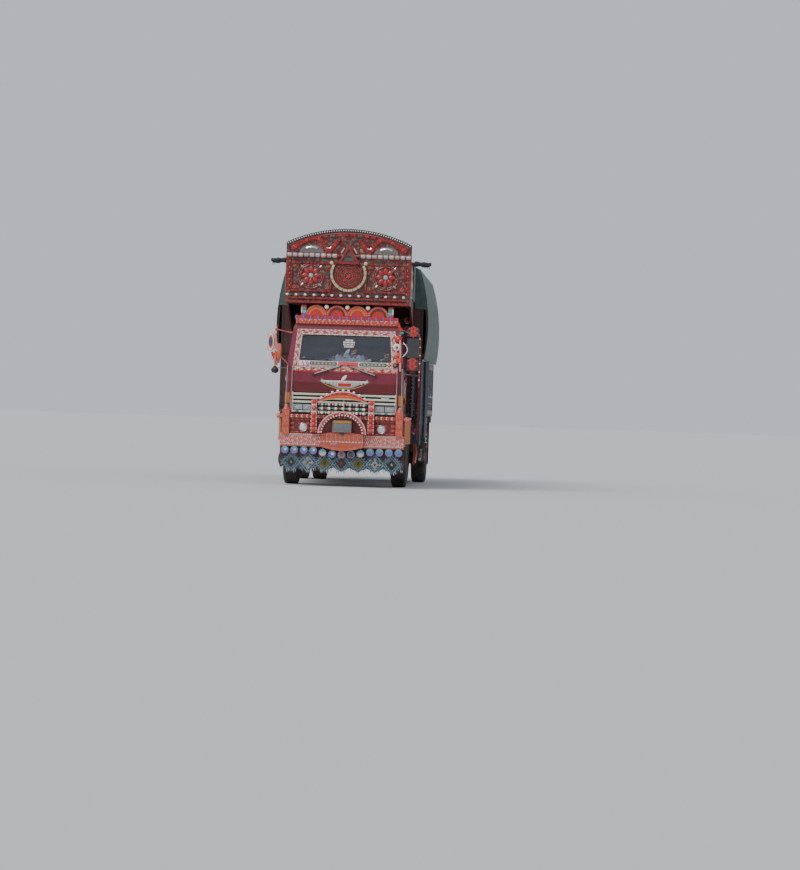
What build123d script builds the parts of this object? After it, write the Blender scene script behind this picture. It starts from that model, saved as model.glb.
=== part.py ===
from build123d import *
import os
from math import cos, pi, radians, sin

os.makedirs("parts", exist_ok=True)

# Decorated two-axle truck, millimetres. +Z is up, the truck faces -Y, +X is its left side.
# The origin lies on the ground under the middle of the whole truck.

# Overall and running gear
overall_length = 8800
wheelbase = 4900
front_overhang = 1540
tyre_radius = 520
tyre_width = 280
rim_radius = 254
front_wheel_x = 915
kingpin_x = 780
rear_inner_x = 745
dual_spacing = 330
rear_outer_x = rear_inner_x + dual_spacing
front_y = -overall_length / 2
axle1_y = front_y + front_overhang
axle2_y = axle1_y + wheelbase
rear_y = overall_length / 2

# Ladder frame
rail_outer_x = 410
rail_flange = 75
rail_web = 8
rail_bottom_z = 780
rail_height = 220
rail_top_z = rail_bottom_z + rail_height
rail_front_y = axle1_y - 1250

# Cab
cab_half_low = 985
cab_half_roof = 885
cab_bottom_z = 1200
cab_waist_z = 1905
cab_top_z = 2700
cab_front_y = axle1_y - 1200
cab_header_y = axle1_y - 1010
cab_back_y = axle1_y + 520
cab_wall = 45
cab_corner = 150
pillar_y = axle1_y - 940
door_rear_y = axle1_y + 90
door_bottom_z = cab_bottom_z + 62
door_top_z = cab_top_z - 110
door_gap = 6
screen_bottom_z = cab_waist_z + 190
screen_top_z = cab_top_z - 175
screen_half_bottom = 770
screen_half_top = 735
glass_thickness = 8
hump_half = 390
hump_top_z = 1500

# Load body
body_half = 1220
body_wall = 40
deck_top_z = 1270
deck_board = 50
board_lip = 12
deck_edge_z = deck_top_z - board_lip
deck_under_z = deck_top_z - deck_board
bearer_height = 120
bearer_low_z = deck_under_z - bearer_height
bearer_width = 80
bearer_pitch = 700
post_size = 90
side_height = 960
side_top_z = deck_top_z + side_height
body_front_y = axle1_y + 600
gate_hinge_radius = 14
gate_hinge_y = rear_y - gate_hinge_radius
gate_hinge_z = deck_top_z - 30
gate_wall = 45
gate_outer_y = gate_hinge_y - 22
body_rear_y = gate_outer_y - gate_wall - door_gap

# Crown over the cab
crown_half = 1050
crown_gap = 350
crown_bottom_z = cab_top_z + crown_gap
crown_side_z = crown_bottom_z + 1015
crown_peak_z = crown_bottom_z + 1260
crown_front_y = axle1_y - 1080
crown_board = 50
crown_skin = 30
crown_moulding_z = crown_bottom_z + 805
crown_top_z = crown_bottom_z + 710

# Tarpaulin on its bows
tarp_half = 1300
tarp_shoulder_half = 1150
tarp_shoulder_z = crown_top_z - 20
tarp_bulge_z = crown_top_z - 780
tarp_top_z = crown_top_z + 220
tarp_hem_z = side_top_z - 60
tarp_hem_half = 1262
tarp_thickness = 12
tarp_front_y = axle1_y - 300
bow_gap = 2
bow_depth = 30
bow_width = 45
pole_half = 1360
pole_radius = 30
pole_z = crown_top_z + pole_radius
pole_y = tarp_front_y - 60

# Bumper and bull bar
bumper_half = 1035
bumper_face_y = axle1_y - 1400
bumper_bottom_z = 655
bumper_band_z = 870
bumper_top_z = 1190
bumper_sheet = 30
post_x = 475
post_width = 105


def block(x0, x1, y0, y1, z0, z1):
    """Box between two corners."""
    centre = ((x0 + x1) / 2, (y0 + y1) / 2, (z0 + z1) / 2)
    return Pos(*centre) * Box(abs(x1 - x0), abs(y1 - y0), abs(z1 - z0))


def rod(start, end, radius):
    """Round bar from one point to another."""
    line = Vector(*end) - Vector(*start)
    plane = Plane(origin=start, z_dir=line)
    return extrude(plane * Circle(radius), amount=line.length)


def front_plane(y):
    """Sketch plane with X to the right and Z up; it extrudes forwards."""
    return Plane(origin=(0, y, 0), x_dir=(1, 0, 0), z_dir=(0, -1, 0))


def side_plane(x):
    """Sketch plane with Y to the right and Z up; it extrudes towards +X."""
    return Plane(origin=(x, 0, 0), x_dir=(0, 1, 0), z_dir=(1, 0, 0))


def outline(*points):
    """Flat face inside straight edges."""
    return make_face(Polyline(*points, close=True))


def plate(face, y, thickness):
    """Front-view face as a plate whose front lies at y."""
    return extrude(front_plane(y + thickness) * face, amount=thickness)


def flip(shape):
    """The same piece on the other side of the truck."""
    return mirror(shape, about=Plane.YZ)


def join(shapes):
    """Fuse a list of shapes that touch or overlap."""
    shapes = list(shapes)
    return shapes[0].fuse(*shapes[1:]) if len(shapes) > 1 else shapes[0]


def solids_of(shape):
    """Flat list of the solids in a shape or a list of shapes."""
    if isinstance(shape, (list, tuple)):
        return [solid for item in shape for solid in solids_of(item)]
    return list(shape.solids())


def save(name, *shapes):
    """Write one node."""
    solids = solids_of(list(shapes))
    export_step(solids[0] if len(solids) == 1 else Compound(children=solids), f"parts/{name}.step")


# Places of the cross bearers under the deck, which the flaps and lockers follow too
def bearer_places():
    """Front edge of each bearer, the first and last flush with the ends of the body."""
    run = body_rear_y - bearer_width - body_front_y
    count = round(run / bearer_pitch)
    return [body_front_y + run * index / count for index in range(count + 1)]


# Ladder frame: two channel rails with their spring hangers and the brackets of the under-run bar
underrun_half = 1150
underrun_z = (560, 700)
underrun_depth = 60
underrun_y = body_rear_y - 180
rail_rear_y = body_rear_y - 60
hanger_half = 35
spring_eye_z = 735
spring_eye_radius = 24
front_spring_half = 640
rear_spring_half = 720


def chassis_frame():
    inner = rail_outer_x - rail_flange
    channel = outline(
        (inner, rail_bottom_z),
        (rail_outer_x, rail_bottom_z),
        (rail_outer_x, rail_top_z),
        (inner, rail_top_z),
        (inner, rail_top_z - rail_web),
        (rail_outer_x - rail_web, rail_top_z - rail_web),
        (rail_outer_x - rail_web, rail_bottom_z + rail_web),
        (inner, rail_bottom_z + rail_web),
    )
    pieces = [plate(channel, rail_front_y, rail_rear_y - rail_front_y)]
    for axle_y, half_span in ((axle1_y, front_spring_half), (axle2_y, rear_spring_half)):
        for y in (axle_y - half_span, axle_y + half_span):
            top = spring_eye_z + spring_eye_radius
            pieces.append(block(inner, rail_outer_x, y - hanger_half, y + hanger_half, top, rail_bottom_z))
    bracket = block(inner, rail_outer_x, underrun_y, underrun_y + underrun_depth, underrun_z[1], rail_bottom_z)
    left = join(pieces + [bracket])
    return [left, flip(left)]


# Cross members: open-backed channels between the webs of the rails, the tow jaw on the last, the under-run bar
member_depth = 70
member_margin = 30
last_member_y = rear_y - 330
jaw_z = (850, 910)
jaw_ear = 20
jaw_half = 45
jaw_pin_y = rear_y - 165
jaw_pin_radius = 20


def cross_members():
    web_x = rail_outer_x - rail_web
    low = rail_bottom_z + member_margin
    high = rail_top_z - member_margin
    shapes = []
    for y in (rail_front_y + 60, axle1_y + 1120, axle1_y + 2000, axle2_y - 900, axle2_y + 800, last_member_y):
        member = block(-web_x, web_x, y, y + member_depth, low, high)
        hollow = block(-web_x, web_x, y + rail_web, y + member_depth, low + rail_web, high - rail_web)
        shapes.append(member - hollow)
    ears = []
    for z in jaw_z:
        ears.append(block(-jaw_half, jaw_half, last_member_y + 2, jaw_pin_y + 38, z, z + jaw_ear))
    pin_hole = rod((0, jaw_pin_y, jaw_z[0] - 5), (0, jaw_pin_y, jaw_z[1] + jaw_ear + 5), jaw_pin_radius)
    shapes[-1] = join([shapes[-1]] + ears) - pin_hole
    bar = block(-underrun_half, underrun_half, underrun_y, underrun_y + underrun_depth, *underrun_z)
    return shapes + [bar]


# Leaf springs: each pack is a stepped stack of curved leaves, thickest at the axle
leaf_thickness = 12
spring_width = 70


def spring_pack(axle_y, half_span, seat_z, leaves):
    """Side view of one pack: parallel arcs that get shorter downwards, with a rolled eye at each end."""
    x = rail_outer_x - rail_flange / 2 - spring_width / 2
    faces = []
    for index in range(leaves):
        half = half_span * (1 - 0.8 * index / leaves)
        top = seat_z + leaf_thickness * (leaves - index)
        rise = (spring_eye_z - seat_z - leaf_thickness * leaves) * (half / half_span) ** 2
        outer = ThreePointArc((axle_y - half, top + rise), (axle_y, top), (axle_y + half, top + rise))
        low = top - leaf_thickness
        inner = ThreePointArc((axle_y + half, low + rise), (axle_y, low), (axle_y - half, low + rise))
        side1 = Line(outer @ 1, inner @ 0)
        side2 = Line(inner @ 1, outer @ 0)
        faces.append(make_face([outer, side1, inner, side2]))
    side = faces[0]
    for face in faces[1:]:
        side = side + face
    for end in (-1, 1):
        side = side + Pos(axle_y + end * half_span, spring_eye_z) * Circle(spring_eye_radius)
    pack = extrude(side_plane(x) * side, amount=spring_width)
    clamp = block(x - 12, x + spring_width + 12, axle_y - 55, axle_y + 55, seat_z, seat_z + leaves * leaf_thickness + 16)
    return pack + clamp


axle1_seat_z = 600
axle2_seat_z = 600


def leaf_springs():
    front = spring_pack(axle1_y, front_spring_half, axle1_seat_z, 6)
    rear = spring_pack(axle2_y, rear_spring_half, axle2_seat_z, 8)
    return [front, flip(front), rear, flip(rear)]


# Front axle: forged I-beam, dropped in the middle, with an eye for each kingpin
eye_radius = 45
eye_half = 45
pin_radius = 20
running_clearance = 0.05
beam_depth = 90


def front_axle():
    z = tyre_radius
    beam = outline(
        (-kingpin_x, z - 40),
        (-kingpin_x + 130, z - 45),
        (-rail_outer_x - 60, z - 90),
        (rail_outer_x + 60, z - 90),
        (kingpin_x - 130, z - 45),
        (kingpin_x, z - 40),
        (kingpin_x, z + 40),
        (kingpin_x - 130, z + 45),
        (rail_outer_x + 60, z + 20),
        (-rail_outer_x - 60, z + 20),
        (-kingpin_x + 130, z + 45),
        (-kingpin_x, z + 40),
    )
    web = outline(
        (-rail_outer_x - 60, z - 68),
        (rail_outer_x + 60, z - 68),
        (rail_outer_x + 60, z - 2),
        (-rail_outer_x - 60, z - 2),
    )
    body = plate(beam, axle1_y - beam_depth / 2, beam_depth)
    body = body - plate(web, axle1_y - beam_depth / 2, beam_depth / 2 - 12)
    body = body - plate(web, axle1_y + 12, beam_depth / 2 - 12)
    seat_x = rail_outer_x - rail_flange / 2
    seat = block(seat_x - 50, seat_x + 50, axle1_y - 60, axle1_y + 60, z + 10, axle1_seat_z)
    body = body + seat + flip(seat)
    eye = rod((kingpin_x, axle1_y, z - eye_half), (kingpin_x, axle1_y, z + eye_half), eye_radius)
    bore = rod((kingpin_x, axle1_y, z - 60), (kingpin_x, axle1_y, z + 60), pin_radius + running_clearance)
    body = body + eye + flip(eye)
    return body - bore - flip(bore)


# Steering knuckle: yoke round the axle eye, kingpin, spindle, backing plate and steering arm
yoke_gap = 0.5
lug_height = 30
spindle_radius = 35
spindle_end_x = front_wheel_x + 85
arm_reach = 160
arm_z = tyre_radius - eye_half - lug_height
ball_radius = 10
ball_height = 34


def knuckle():
    z = tyre_radius
    inner = eye_half + yoke_gap
    pieces = []
    for side in (-1, 1):
        z0 = z + side * inner
        z1 = z + side * (inner + lug_height)
        pieces.append(rod((kingpin_x, axle1_y, min(z0, z1)), (kingpin_x, axle1_y, max(z0, z1)), eye_radius))
        pieces.append(block(kingpin_x, kingpin_x + 80, axle1_y - 40, axle1_y + 40, min(z0, z1), max(z0, z1)))
    top = z + inner + lug_height
    low = z - inner - lug_height
    pieces.append(block(kingpin_x + 52, kingpin_x + 80, axle1_y - 50, axle1_y + 50, low, top))
    pieces.append(rod((kingpin_x, axle1_y, low), (kingpin_x, axle1_y, top), pin_radius))
    pieces.append(rod((kingpin_x + 70, axle1_y, z), (kingpin_x + 82, axle1_y, z), 185))
    pieces.append(rod((kingpin_x + 80, axle1_y, z), (spindle_end_x, axle1_y, z), spindle_radius))
    arm = block(kingpin_x - 18, kingpin_x + 18, axle1_y, axle1_y + arm_reach, low, low + 24)
    tip = rod((kingpin_x, axle1_y + arm_reach, low), (kingpin_x, axle1_y + arm_reach, low + 24), 22)
    ball = rod((kingpin_x, axle1_y + arm_reach, low - ball_height), (kingpin_x, axle1_y + arm_reach, low), ball_radius)
    pieces += [arm, tip, ball]
    return join(pieces)


# Tie rod: tube between the two steering arms, an eye on each end
def tie_rod():
    y = axle1_y + arm_reach
    low = tyre_radius - eye_half - yoke_gap - lug_height
    z0 = low - ball_height + 4
    z1 = low - 6
    middle = (z0 + z1) / 2
    bar = rod((-kingpin_x + 15, y, middle), (kingpin_x - 15, y, middle), 11)
    left_eye = rod((kingpin_x, y, z0), (kingpin_x, y, z1), 20)
    right_eye = rod((-kingpin_x, y, z0), (-kingpin_x, y, z1), 20)
    left_bore = rod((kingpin_x, y, z0 - 5), (kingpin_x, y, z1 + 5), ball_radius + running_clearance)
    right_bore = rod((-kingpin_x, y, z0 - 5), (-kingpin_x, y, z1 + 5), ball_radius + 1)
    return bar + left_eye + right_eye - left_bore - right_bore


# Tyre section in radius and width about its own middle, with a flat tread and round sidewalls
def tyre_face(x):
    half = tyre_width / 2
    bead = rim_radius + 4
    belt = tyre_radius
    shoulder = half - 26
    left = ThreePointArc((x - shoulder, belt - 14), (x - half, (belt + bead) / 2), (x - half + 34, bead))
    right = ThreePointArc((x + half - 34, bead), (x + half, (belt + bead) / 2), (x + shoulder, belt - 14))
    base = Line((x - half + 34, bead), (x + half - 34, bead))
    tread1 = Line((x + shoulder, belt - 14), (x + shoulder - 30, belt))
    tread2 = Line((x + shoulder - 30, belt), (x - shoulder + 30, belt))
    tread3 = Line((x - shoulder + 30, belt), (x - shoulder, belt - 14))
    return make_face([left, base, right, tread1, tread2, tread3])


def turned(face, axle_y):
    """Section drawn as X along the axle and height above it, turned about the axle."""
    plane = Plane(origin=(0, axle_y, tyre_radius), x_dir=(1, 0, 0), z_dir=(0, -1, 0))
    axis = Axis((0, axle_y, tyre_radius), (1, 0, 0))
    return revolve(plane * face, axis=axis, revolution_arc=360)


def ring_face(x0, x1, r0, r1):
    """Rectangle between two places along the axle and two radii."""
    return outline((x0, r0), (x1, r0), (x1, r1), (x0, r1))


def disc_face(start, end, wall):
    """Slanted web of a wheel disc: from one point to another, with a wall along the axle."""
    return outline(start, end, (end[0] + wall, end[1]), (start[0] + wall, start[1]))


stud_count = 8
stud_circle = 142


def studs(x0, x1, axle_y):
    """Wheel nuts on their circle."""
    nuts = []
    for index in range(stud_count):
        turn = 2 * pi * index / stud_count
        y = axle_y + stud_circle * cos(turn)
        z = tyre_radius + stud_circle * sin(turn)
        nuts.append(rod((x0, y, z), (x1, y, z), 14))
    return nuts


# Front wheel: single tyre, rim, dished disc bulging outwards, drum and hub
def front_wheel():
    x = front_wheel_x
    hub_x = x + 62
    bore = spindle_radius + running_clearance
    section = tyre_face(x)
    section = section + ring_face(x - 112, x + 112, rim_radius - 14, rim_radius + 6)
    section = section + disc_face((x + 60, rim_radius - 8), (x + 80, 165), 12)
    section = section + ring_face(x + 80, x + 92, 70, 170)
    section = section + ring_face(hub_x - 85, hub_x + 50, bore, 78)
    section = section + ring_face(spindle_end_x + 4, hub_x + 58, 0, 60)
    section = section + ring_face(kingpin_x + 88, x + 80, 200, 214)
    section = section + ring_face(x + 66, x + 80, 70, 214)
    wheel = turned(section, axle1_y)
    return join([wheel] + studs(x + 88, x + 106, axle1_y))


# Rear axle: banjo housing, half tubes with spindle ends and spring seats, and the propeller shaft
rear_tube_radius = 62
rear_spindle_radius = 50
rear_spindle_x = rear_outer_x + 40
rear_drum_x = 560
banjo_radius = 205
pinion_reach = 285
shaft_radius = 42


def rear_axle():
    z = tyre_radius
    tube = rod((-rear_drum_x, axle2_y, z), (rear_drum_x, axle2_y, z), rear_tube_radius)
    banjo = rod((0, axle2_y - 110, z), (0, axle2_y + 110, z), banjo_radius)
    banjo = chamfer(banjo.edges().filter_by(GeomType.CIRCLE), 35)
    banjo = banjo & block(-banjo_radius, banjo_radius, axle2_y - 110, axle2_y + 110, z - banjo_radius, z + 180)
    nose = Pos(0, axle2_y - pinion_reach + 95, z + 20) * Rot(90, 0, 0) * Cone(110, 65, 190)
    pieces = [tube, banjo, nose]
    for side in (-1, 1):
        seat_x = side * (rail_outer_x - rail_flange / 2)
        pieces.append(rod((side * rear_drum_x, axle2_y, z), (side * rear_spindle_x, axle2_y, z), rear_spindle_radius))
        pieces.append(block(seat_x - 50, seat_x + 50, axle2_y - 60, axle2_y + 60, z + 30, axle2_seat_z))
        pieces.append(rod((side * (rear_drum_x - 12), axle2_y, z), (side * rear_drum_x, axle2_y, z), 195))
    return join(pieces)


gearbox_y = axle1_y + 1050
shaft_front_z = 735


def propeller_shaft():
    z = tyre_radius + 20
    front = (0, gearbox_y - 10, shaft_front_z)
    back = (0, axle2_y - pinion_reach + 10, z)
    room = block(-100, 100, gearbox_y, axle2_y - pinion_reach, 0, rail_top_z)
    tube = rod(front, back, shaft_radius)
    line = (Vector(*back) - Vector(*front)).normalized()
    pieces = [tube]
    for point, way in ((front, 1), (back, -1)):
        start = Vector(*point)
        collar = start + line * (60 * way)
        pieces.append(rod(tuple(start), tuple(collar), 68))
    return join(pieces) & room


# Rear twin wheels: two tyres and rims back to back on one drum and hub
def rear_wheels():
    inner = rear_inner_x
    outer = rear_outer_x
    bore = rear_spindle_radius + running_clearance
    middle = (inner + outer) / 2
    section = tyre_face(inner) + tyre_face(outer)
    for x in (inner, outer):
        section = section + ring_face(x - 112, x + 112, rim_radius - 14, rim_radius + 6)
    section = section + disc_face((inner + 60, rim_radius - 8), (middle - 13, 170), 13)
    section = section + disc_face((outer - 73, rim_radius - 8), (middle, 170), 13)
    section = section + ring_face(middle - 13, middle + 13, 90, 176)
    section = section + ring_face(rear_drum_x + 6, middle, 204, 220)
    section = section + ring_face(middle - 26, middle - 12, 90, 220)
    section = section + ring_face(middle - 120, rear_spindle_x + 12, bore, 95)
    section = section + ring_face(rear_spindle_x + 4, rear_spindle_x + 30, 0, 95)
    wheel = turned(section, axle2_y)
    return join([wheel] + studs(middle + 10, middle + 34, axle2_y))


# Engine and gearbox: one plain block under the cab hump
def engine_block():
    engine = block(-300, 300, axle1_y - 800, axle1_y + 330, 690, 1440)
    gearbox = block(-170, 170, axle1_y + 330, gearbox_y, 700, 1080)
    mount = block(-rail_outer_x + rail_web, rail_outer_x - rail_web, axle1_y - 420, axle1_y - 340, 830, 930)
    return engine + gearbox + mount


# Fuel tank on the left, two air tanks on the right, hung on brackets from the rails
def tanks():
    y0 = axle1_y + 1450
    y1 = y0 + 1000
    tank = block(470, 960, y0, y1, 560, 1000)
    tank = fillet(tank.edges().filter_by(Axis.Y), 90)
    cap = rod((880, y0 + 160, 995), (880, y0 + 160, 1040), 45)
    pieces = [tank, cap]
    for y in (y0 + 180, y1 - 220):
        pieces.append(block(rail_outer_x, 480, y, y + 60, 640, 980))
    left = join(pieces)
    air = []
    for x in (540, 780):
        air.append(rod((-x, y0 + 100, 800), (-x, y0 + 850, 800), 108))
    for y in (y0 + 220, y0 + 660):
        air.append(block(-860, -rail_outer_x, y, y + 50, 780, 960))
    return [left, join(air)]


# Exhaust: down pipe, silencer along the right rail and a tail pipe to the side
def exhaust():
    x = -600
    y0 = axle1_y + 760
    y1 = y0 + 620
    silencer = rod((x, y0, 700), (x, y1, 700), 105)
    silencer = chamfer(silencer.edges().filter_by(GeomType.CIRCLE), 20)
    inlet = rod((-250, axle1_y + 320, 800), (-290, y0 - 60, 700), 32)
    link = rod((-290, y0 - 60, 700), (x, y0 - 60, 700), 32)
    feed = rod((x, y0 - 60, 700), (x, y0 + 20, 700), 32)
    corner1 = Pos(-290, y0 - 60, 700) * Sphere(32)
    corner2 = Pos(x, y0 - 60, 700) * Sphere(32)
    tail = rod((x, y1 - 10, 700), (x, y1 + 60, 700), 32)
    corner3 = Pos(x, y1 + 60, 700) * Sphere(32)
    out = rod((x, y1 + 60, 700), (-1020, y1 + 60, 660), 32)
    hanger = block(x - 15, -rail_outer_x, y0 + 280, y0 + 330, 780, 860)
    return join([silencer, inlet, link, feed, corner1, corner2, tail, corner3, out, hanger]) - engine_part


# Cab body: the space shared by a front view, a side view and a plan view
def cab_volume(inset):
    """Closed volume of the cab, drawn in by a constant distance."""
    front = outline(
        (-cab_half_low + inset, cab_bottom_z + inset),
        (cab_half_low - inset, cab_bottom_z + inset),
        (cab_half_low - inset, cab_waist_z),
        (cab_half_roof - inset, cab_top_z - inset),
        (-cab_half_roof + inset, cab_top_z - inset),
        (-cab_half_low + inset, cab_waist_z),
    )
    high = front.vertices().group_by(Axis.Y)[-1]
    front = fillet(high, 70)
    side = outline(
        (cab_front_y + inset, cab_bottom_z + inset),
        (cab_back_y - inset, cab_bottom_z + inset),
        (cab_back_y - inset, cab_top_z - inset),
        (cab_header_y + inset, cab_top_z - inset),
        (cab_front_y + inset, cab_waist_z),
    )
    plan = outline(
        (-cab_half_low + inset, cab_front_y + inset),
        (cab_half_low - inset, cab_front_y + inset),
        (cab_half_low - inset, cab_back_y - inset),
        (-cab_half_low + inset, cab_back_y - inset),
    )
    fore = plan.vertices().group_by(Axis.Y)[0]
    plan = fillet(fore, cab_corner - inset)
    solid = plate(front, cab_front_y, cab_back_y - cab_front_y)
    solid = solid & extrude(side_plane(-cab_half_low) * side, amount=2 * cab_half_low)
    return solid & extrude(Plane.XY.offset(cab_bottom_z) * plan, amount=cab_top_z - cab_bottom_z)


cab_outer = cab_volume(0)
cab_inner = cab_volume(cab_wall)
cab_skin = cab_outer - cab_inner


def screen_face(margin):
    """Front view of the windscreen opening, drawn in by a margin."""
    face = outline(
        (-screen_half_bottom, screen_bottom_z),
        (screen_half_bottom, screen_bottom_z),
        (screen_half_top, screen_top_z),
        (-screen_half_top, screen_top_z),
    )
    face = fillet(face.vertices(), 60)
    return offset(face, amount=-margin, kind=Kind.INTERSECTION) if margin else face


def door_region(gap):
    """Side view of the door opening on the left side, drawn in by a gap."""
    return block(
        hump_half + 200,
        cab_half_low + 60,
        pillar_y + gap,
        door_rear_y - gap,
        door_bottom_z + gap,
        door_top_z - gap,
    )


def door_window(inset):
    """Window hole of the left door, seen from the side."""
    y0 = pillar_y + 75 + inset
    y1 = door_rear_y - 75 - inset
    z0 = cab_waist_z + 40 + inset
    z1 = door_top_z - 75 - inset
    face = outline((y0, z0), (y1, z0), (y1, z1), (y0 + 60, z1))
    face = fillet(face.vertices(), 35)
    return extrude(side_plane(hump_half + 200) * face, amount=cab_half_low)


grille_half = 870
grille_bottom_z = 1212
grille_top_z = 1562
hinge_radius = 13
hinge_pin_radius = 6
door_hinge_x = cab_half_low + hinge_radius + 4
door_hinge_y = pillar_y
door_hinges_z = (1420, 1800)
hinge_barrel = 70


def door_hinge_fixed(z):
    """Lugs on the pillar above and below the barrel, with the pin through them."""
    pieces = []
    for z0 in (z - 26, z + hinge_barrel + 2):
        lug = rod((door_hinge_x, door_hinge_y, z0), (door_hinge_x, door_hinge_y, z0 + 24), hinge_radius)
        leaf = block(cab_half_low - 8, door_hinge_x, door_hinge_y - 70, door_hinge_y - 4, z0, z0 + 24)
        pieces += [lug, leaf]
    pin = rod((door_hinge_x, door_hinge_y, z - 20), (door_hinge_x, door_hinge_y, z + hinge_barrel + 20), hinge_pin_radius)
    return join(pieces + [pin])


def door_hinge_moving(z):
    """Barrel and leaf on the door."""
    barrel = rod((door_hinge_x, door_hinge_y, z), (door_hinge_x, door_hinge_y, z + hinge_barrel), hinge_radius)
    leaf = block(cab_half_low - 8, door_hinge_x, door_hinge_y + 4, door_hinge_y + 80, z, z + hinge_barrel)
    return barrel + leaf


def door_hinge_bore(z):
    """Pin hole through the barrel."""
    radius = hinge_pin_radius + running_clearance
    return rod((door_hinge_x, door_hinge_y, z - 5), (door_hinge_x, door_hinge_y, z + hinge_barrel + 5), radius)


def cab_front():
    """Front panel with the pillars, the windscreen opening and the grille opening."""
    keep = block(-1100, 1100, cab_front_y - 10, pillar_y, cab_bottom_z - 10, cab_top_z + 10)
    panel = cab_skin & keep
    panel = panel - plate(screen_face(0), cab_front_y - 20, 400)
    slot = outline(
        (-grille_half, grille_bottom_z),
        (grille_half, grille_bottom_z),
        (grille_half, grille_top_z),
        (-grille_half, grille_top_z),
    )
    panel = panel - plate(slot, cab_front_y - 20, 200)
    hinges = join([door_hinge_fixed(z) for z in door_hinges_z])
    return panel + hinges + flip(hinges)


def cab_shell():
    """Roof, back wall, sill and rear corners behind the pillars."""
    keep = block(-1100, 1100, pillar_y, cab_back_y + 10, cab_bottom_z + cab_wall, cab_top_z + 10)
    opening = door_region(0)
    return (cab_skin & keep) - opening - flip(opening)


def cab_floor():
    """Floor plate with the hump over the engine and the step wells' edge."""
    floor = cab_outer & block(-1100, 1100, pillar_y, cab_back_y, cab_bottom_z, cab_bottom_z + cab_wall)
    hump_y0 = axle1_y - 860
    hump_y1 = axle1_y + 400
    hump = block(-hump_half, hump_half, hump_y0, hump_y1, cab_bottom_z, hump_top_z)
    hump = chamfer(hump.edges().group_by(Axis.Z)[-1], 40)
    well = block(-hump_half + 40, hump_half - 40, hump_y0 + 40, hump_y1 - 40, cab_bottom_z - 10, hump_top_z - 40)
    return floor + hump - well


def door():
    """Left door cut from the cab side, with its window hole and its hinge barrels."""
    panel = cab_skin & door_region(door_gap)
    panel = panel - door_window(0)
    for z in door_hinges_z:
        panel = panel + door_hinge_moving(z) - door_hinge_bore(z)
    lock_y = door_rear_y - 90
    handle = block(cab_half_low - 5, cab_half_low + 30, lock_y - 150, lock_y, 1780, 1805)
    handle = handle - block(cab_half_low, cab_half_low + 18, lock_y - 130, lock_y - 20, 1770, 1810)
    return panel + handle


def door_glass():
    """Pane of the left door, held inside the door's thickness."""
    outer = cab_volume(18)
    inner = cab_volume(18 + glass_thickness)
    return (outer - inner) & door_window(0)


def windscreen():
    """One flat pane that follows the slope of the cab front."""
    outer = cab_volume(15)
    inner = cab_volume(15 + glass_thickness)
    return (outer - inner) & plate(screen_face(0), cab_front_y - 20, 400)


# Dashboard, steering column and wheel
wheel_x = -430
wheel_ring = 225


def dashboard():
    y0 = cab_front_y + cab_wall
    face = outline(
        (y0, 1640),
        (y0 + 210, 1660),
        (y0 + 290, 1760),
        (y0 + 270, 1900),
        (y0 + 120, 1960),
        (y0, 1960),
    )
    half = cab_half_low - cab_wall - 45
    dash = extrude(side_plane(-half) * face, amount=2 * half)
    dash = dash & cab_inner
    centre = Vector(wheel_x, axle1_y - 590, 1960)
    tilt = radians(32)
    axis = Vector(0, sin(tilt), cos(tilt))
    foot = centre - axis * 700
    column = rod(tuple(foot), tuple(centre), 24)
    plane = Plane(origin=tuple(centre), z_dir=tuple(axis), x_dir=(1, 0, 0))
    ring = plane * Torus(wheel_ring, 16)
    hub = extrude(plane * Circle(50), amount=22, both=True)
    spoke = plane * Box(2 * wheel_ring, 34, 12)
    bracket = block(wheel_x - 30, wheel_x + 30, y0 + 250, y0 + 420, 1770, 1800)
    return join([dash, column, ring, hub, spoke, bracket])


# Seats: a driver seat and a two-place bench, each a cushion and a backrest on a low base
seat_columns = ((-650, 245), (645, 250))
seat_front_y = axle1_y - 330
seat_depth = 480
cushion_z = (1470, 1620)


def seats():
    floor_z = cab_bottom_z + cab_wall
    shapes = []
    for x, half in seat_columns:
        base = block(x - half + 40, x + half - 40, seat_front_y + 50, seat_front_y + seat_depth, floor_z, cushion_z[0])
        cushion = block(x - half, x + half, seat_front_y, seat_front_y + seat_depth + 60, *cushion_z)
        cushion = fillet(cushion.edges().filter_by(Axis.X), 40)
        back_face = outline(
            (seat_front_y + seat_depth - 60, cushion_z[1] - 30),
            (seat_front_y + seat_depth + 60, cushion_z[1] - 30),
            (seat_front_y + seat_depth + 160, 2180),
            (seat_front_y + seat_depth + 70, 2190),
        )
        back_face = fillet(back_face.vertices().group_by(Axis.Y)[-1], 35)
        back = extrude(side_plane(x - half) * back_face, amount=2 * half)
        shapes.append(join([base, cushion, back]))
    return shapes


# Grille: pressed slats in a frame, with a dark back plate
slat_rows = (1400, 1465, 1530)
slat_height = 34
trim_z = 1240


def grille():
    y = cab_front_y
    back = block(-grille_half, grille_half, y + 45, y + 57, grille_bottom_z, grille_top_z)
    pieces = [back]
    for z in slat_rows:
        face = outline((y - 16, z - slat_height / 2), (y + 50, z - 6), (y + 50, z + 6), (y - 16, z + slat_height / 2))
        pieces.append(extrude(side_plane(-grille_half) * face, amount=2 * grille_half))
    pieces.append(block(-grille_half, grille_half, y - 14, y + 50, trim_z - 16, trim_z + 16))
    for x in (-grille_half, -10, grille_half - 20):
        pieces.append(block(x, x + 20, y + 4, y + 50, grille_bottom_z, grille_top_z))
    return join(pieces)


# Lamps: paired headlamps, corner lamps, bumper lamps and tail lamps
headlamp_x = (600, 765)
headlamp_z = grille_bottom_z + 100
headlamp_half = 75
headlamp_half_height = 44
fog_x = 650
fog_z = 975
fog_radius = 68
corner_lamp_z = (1375, 1550)


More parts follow.
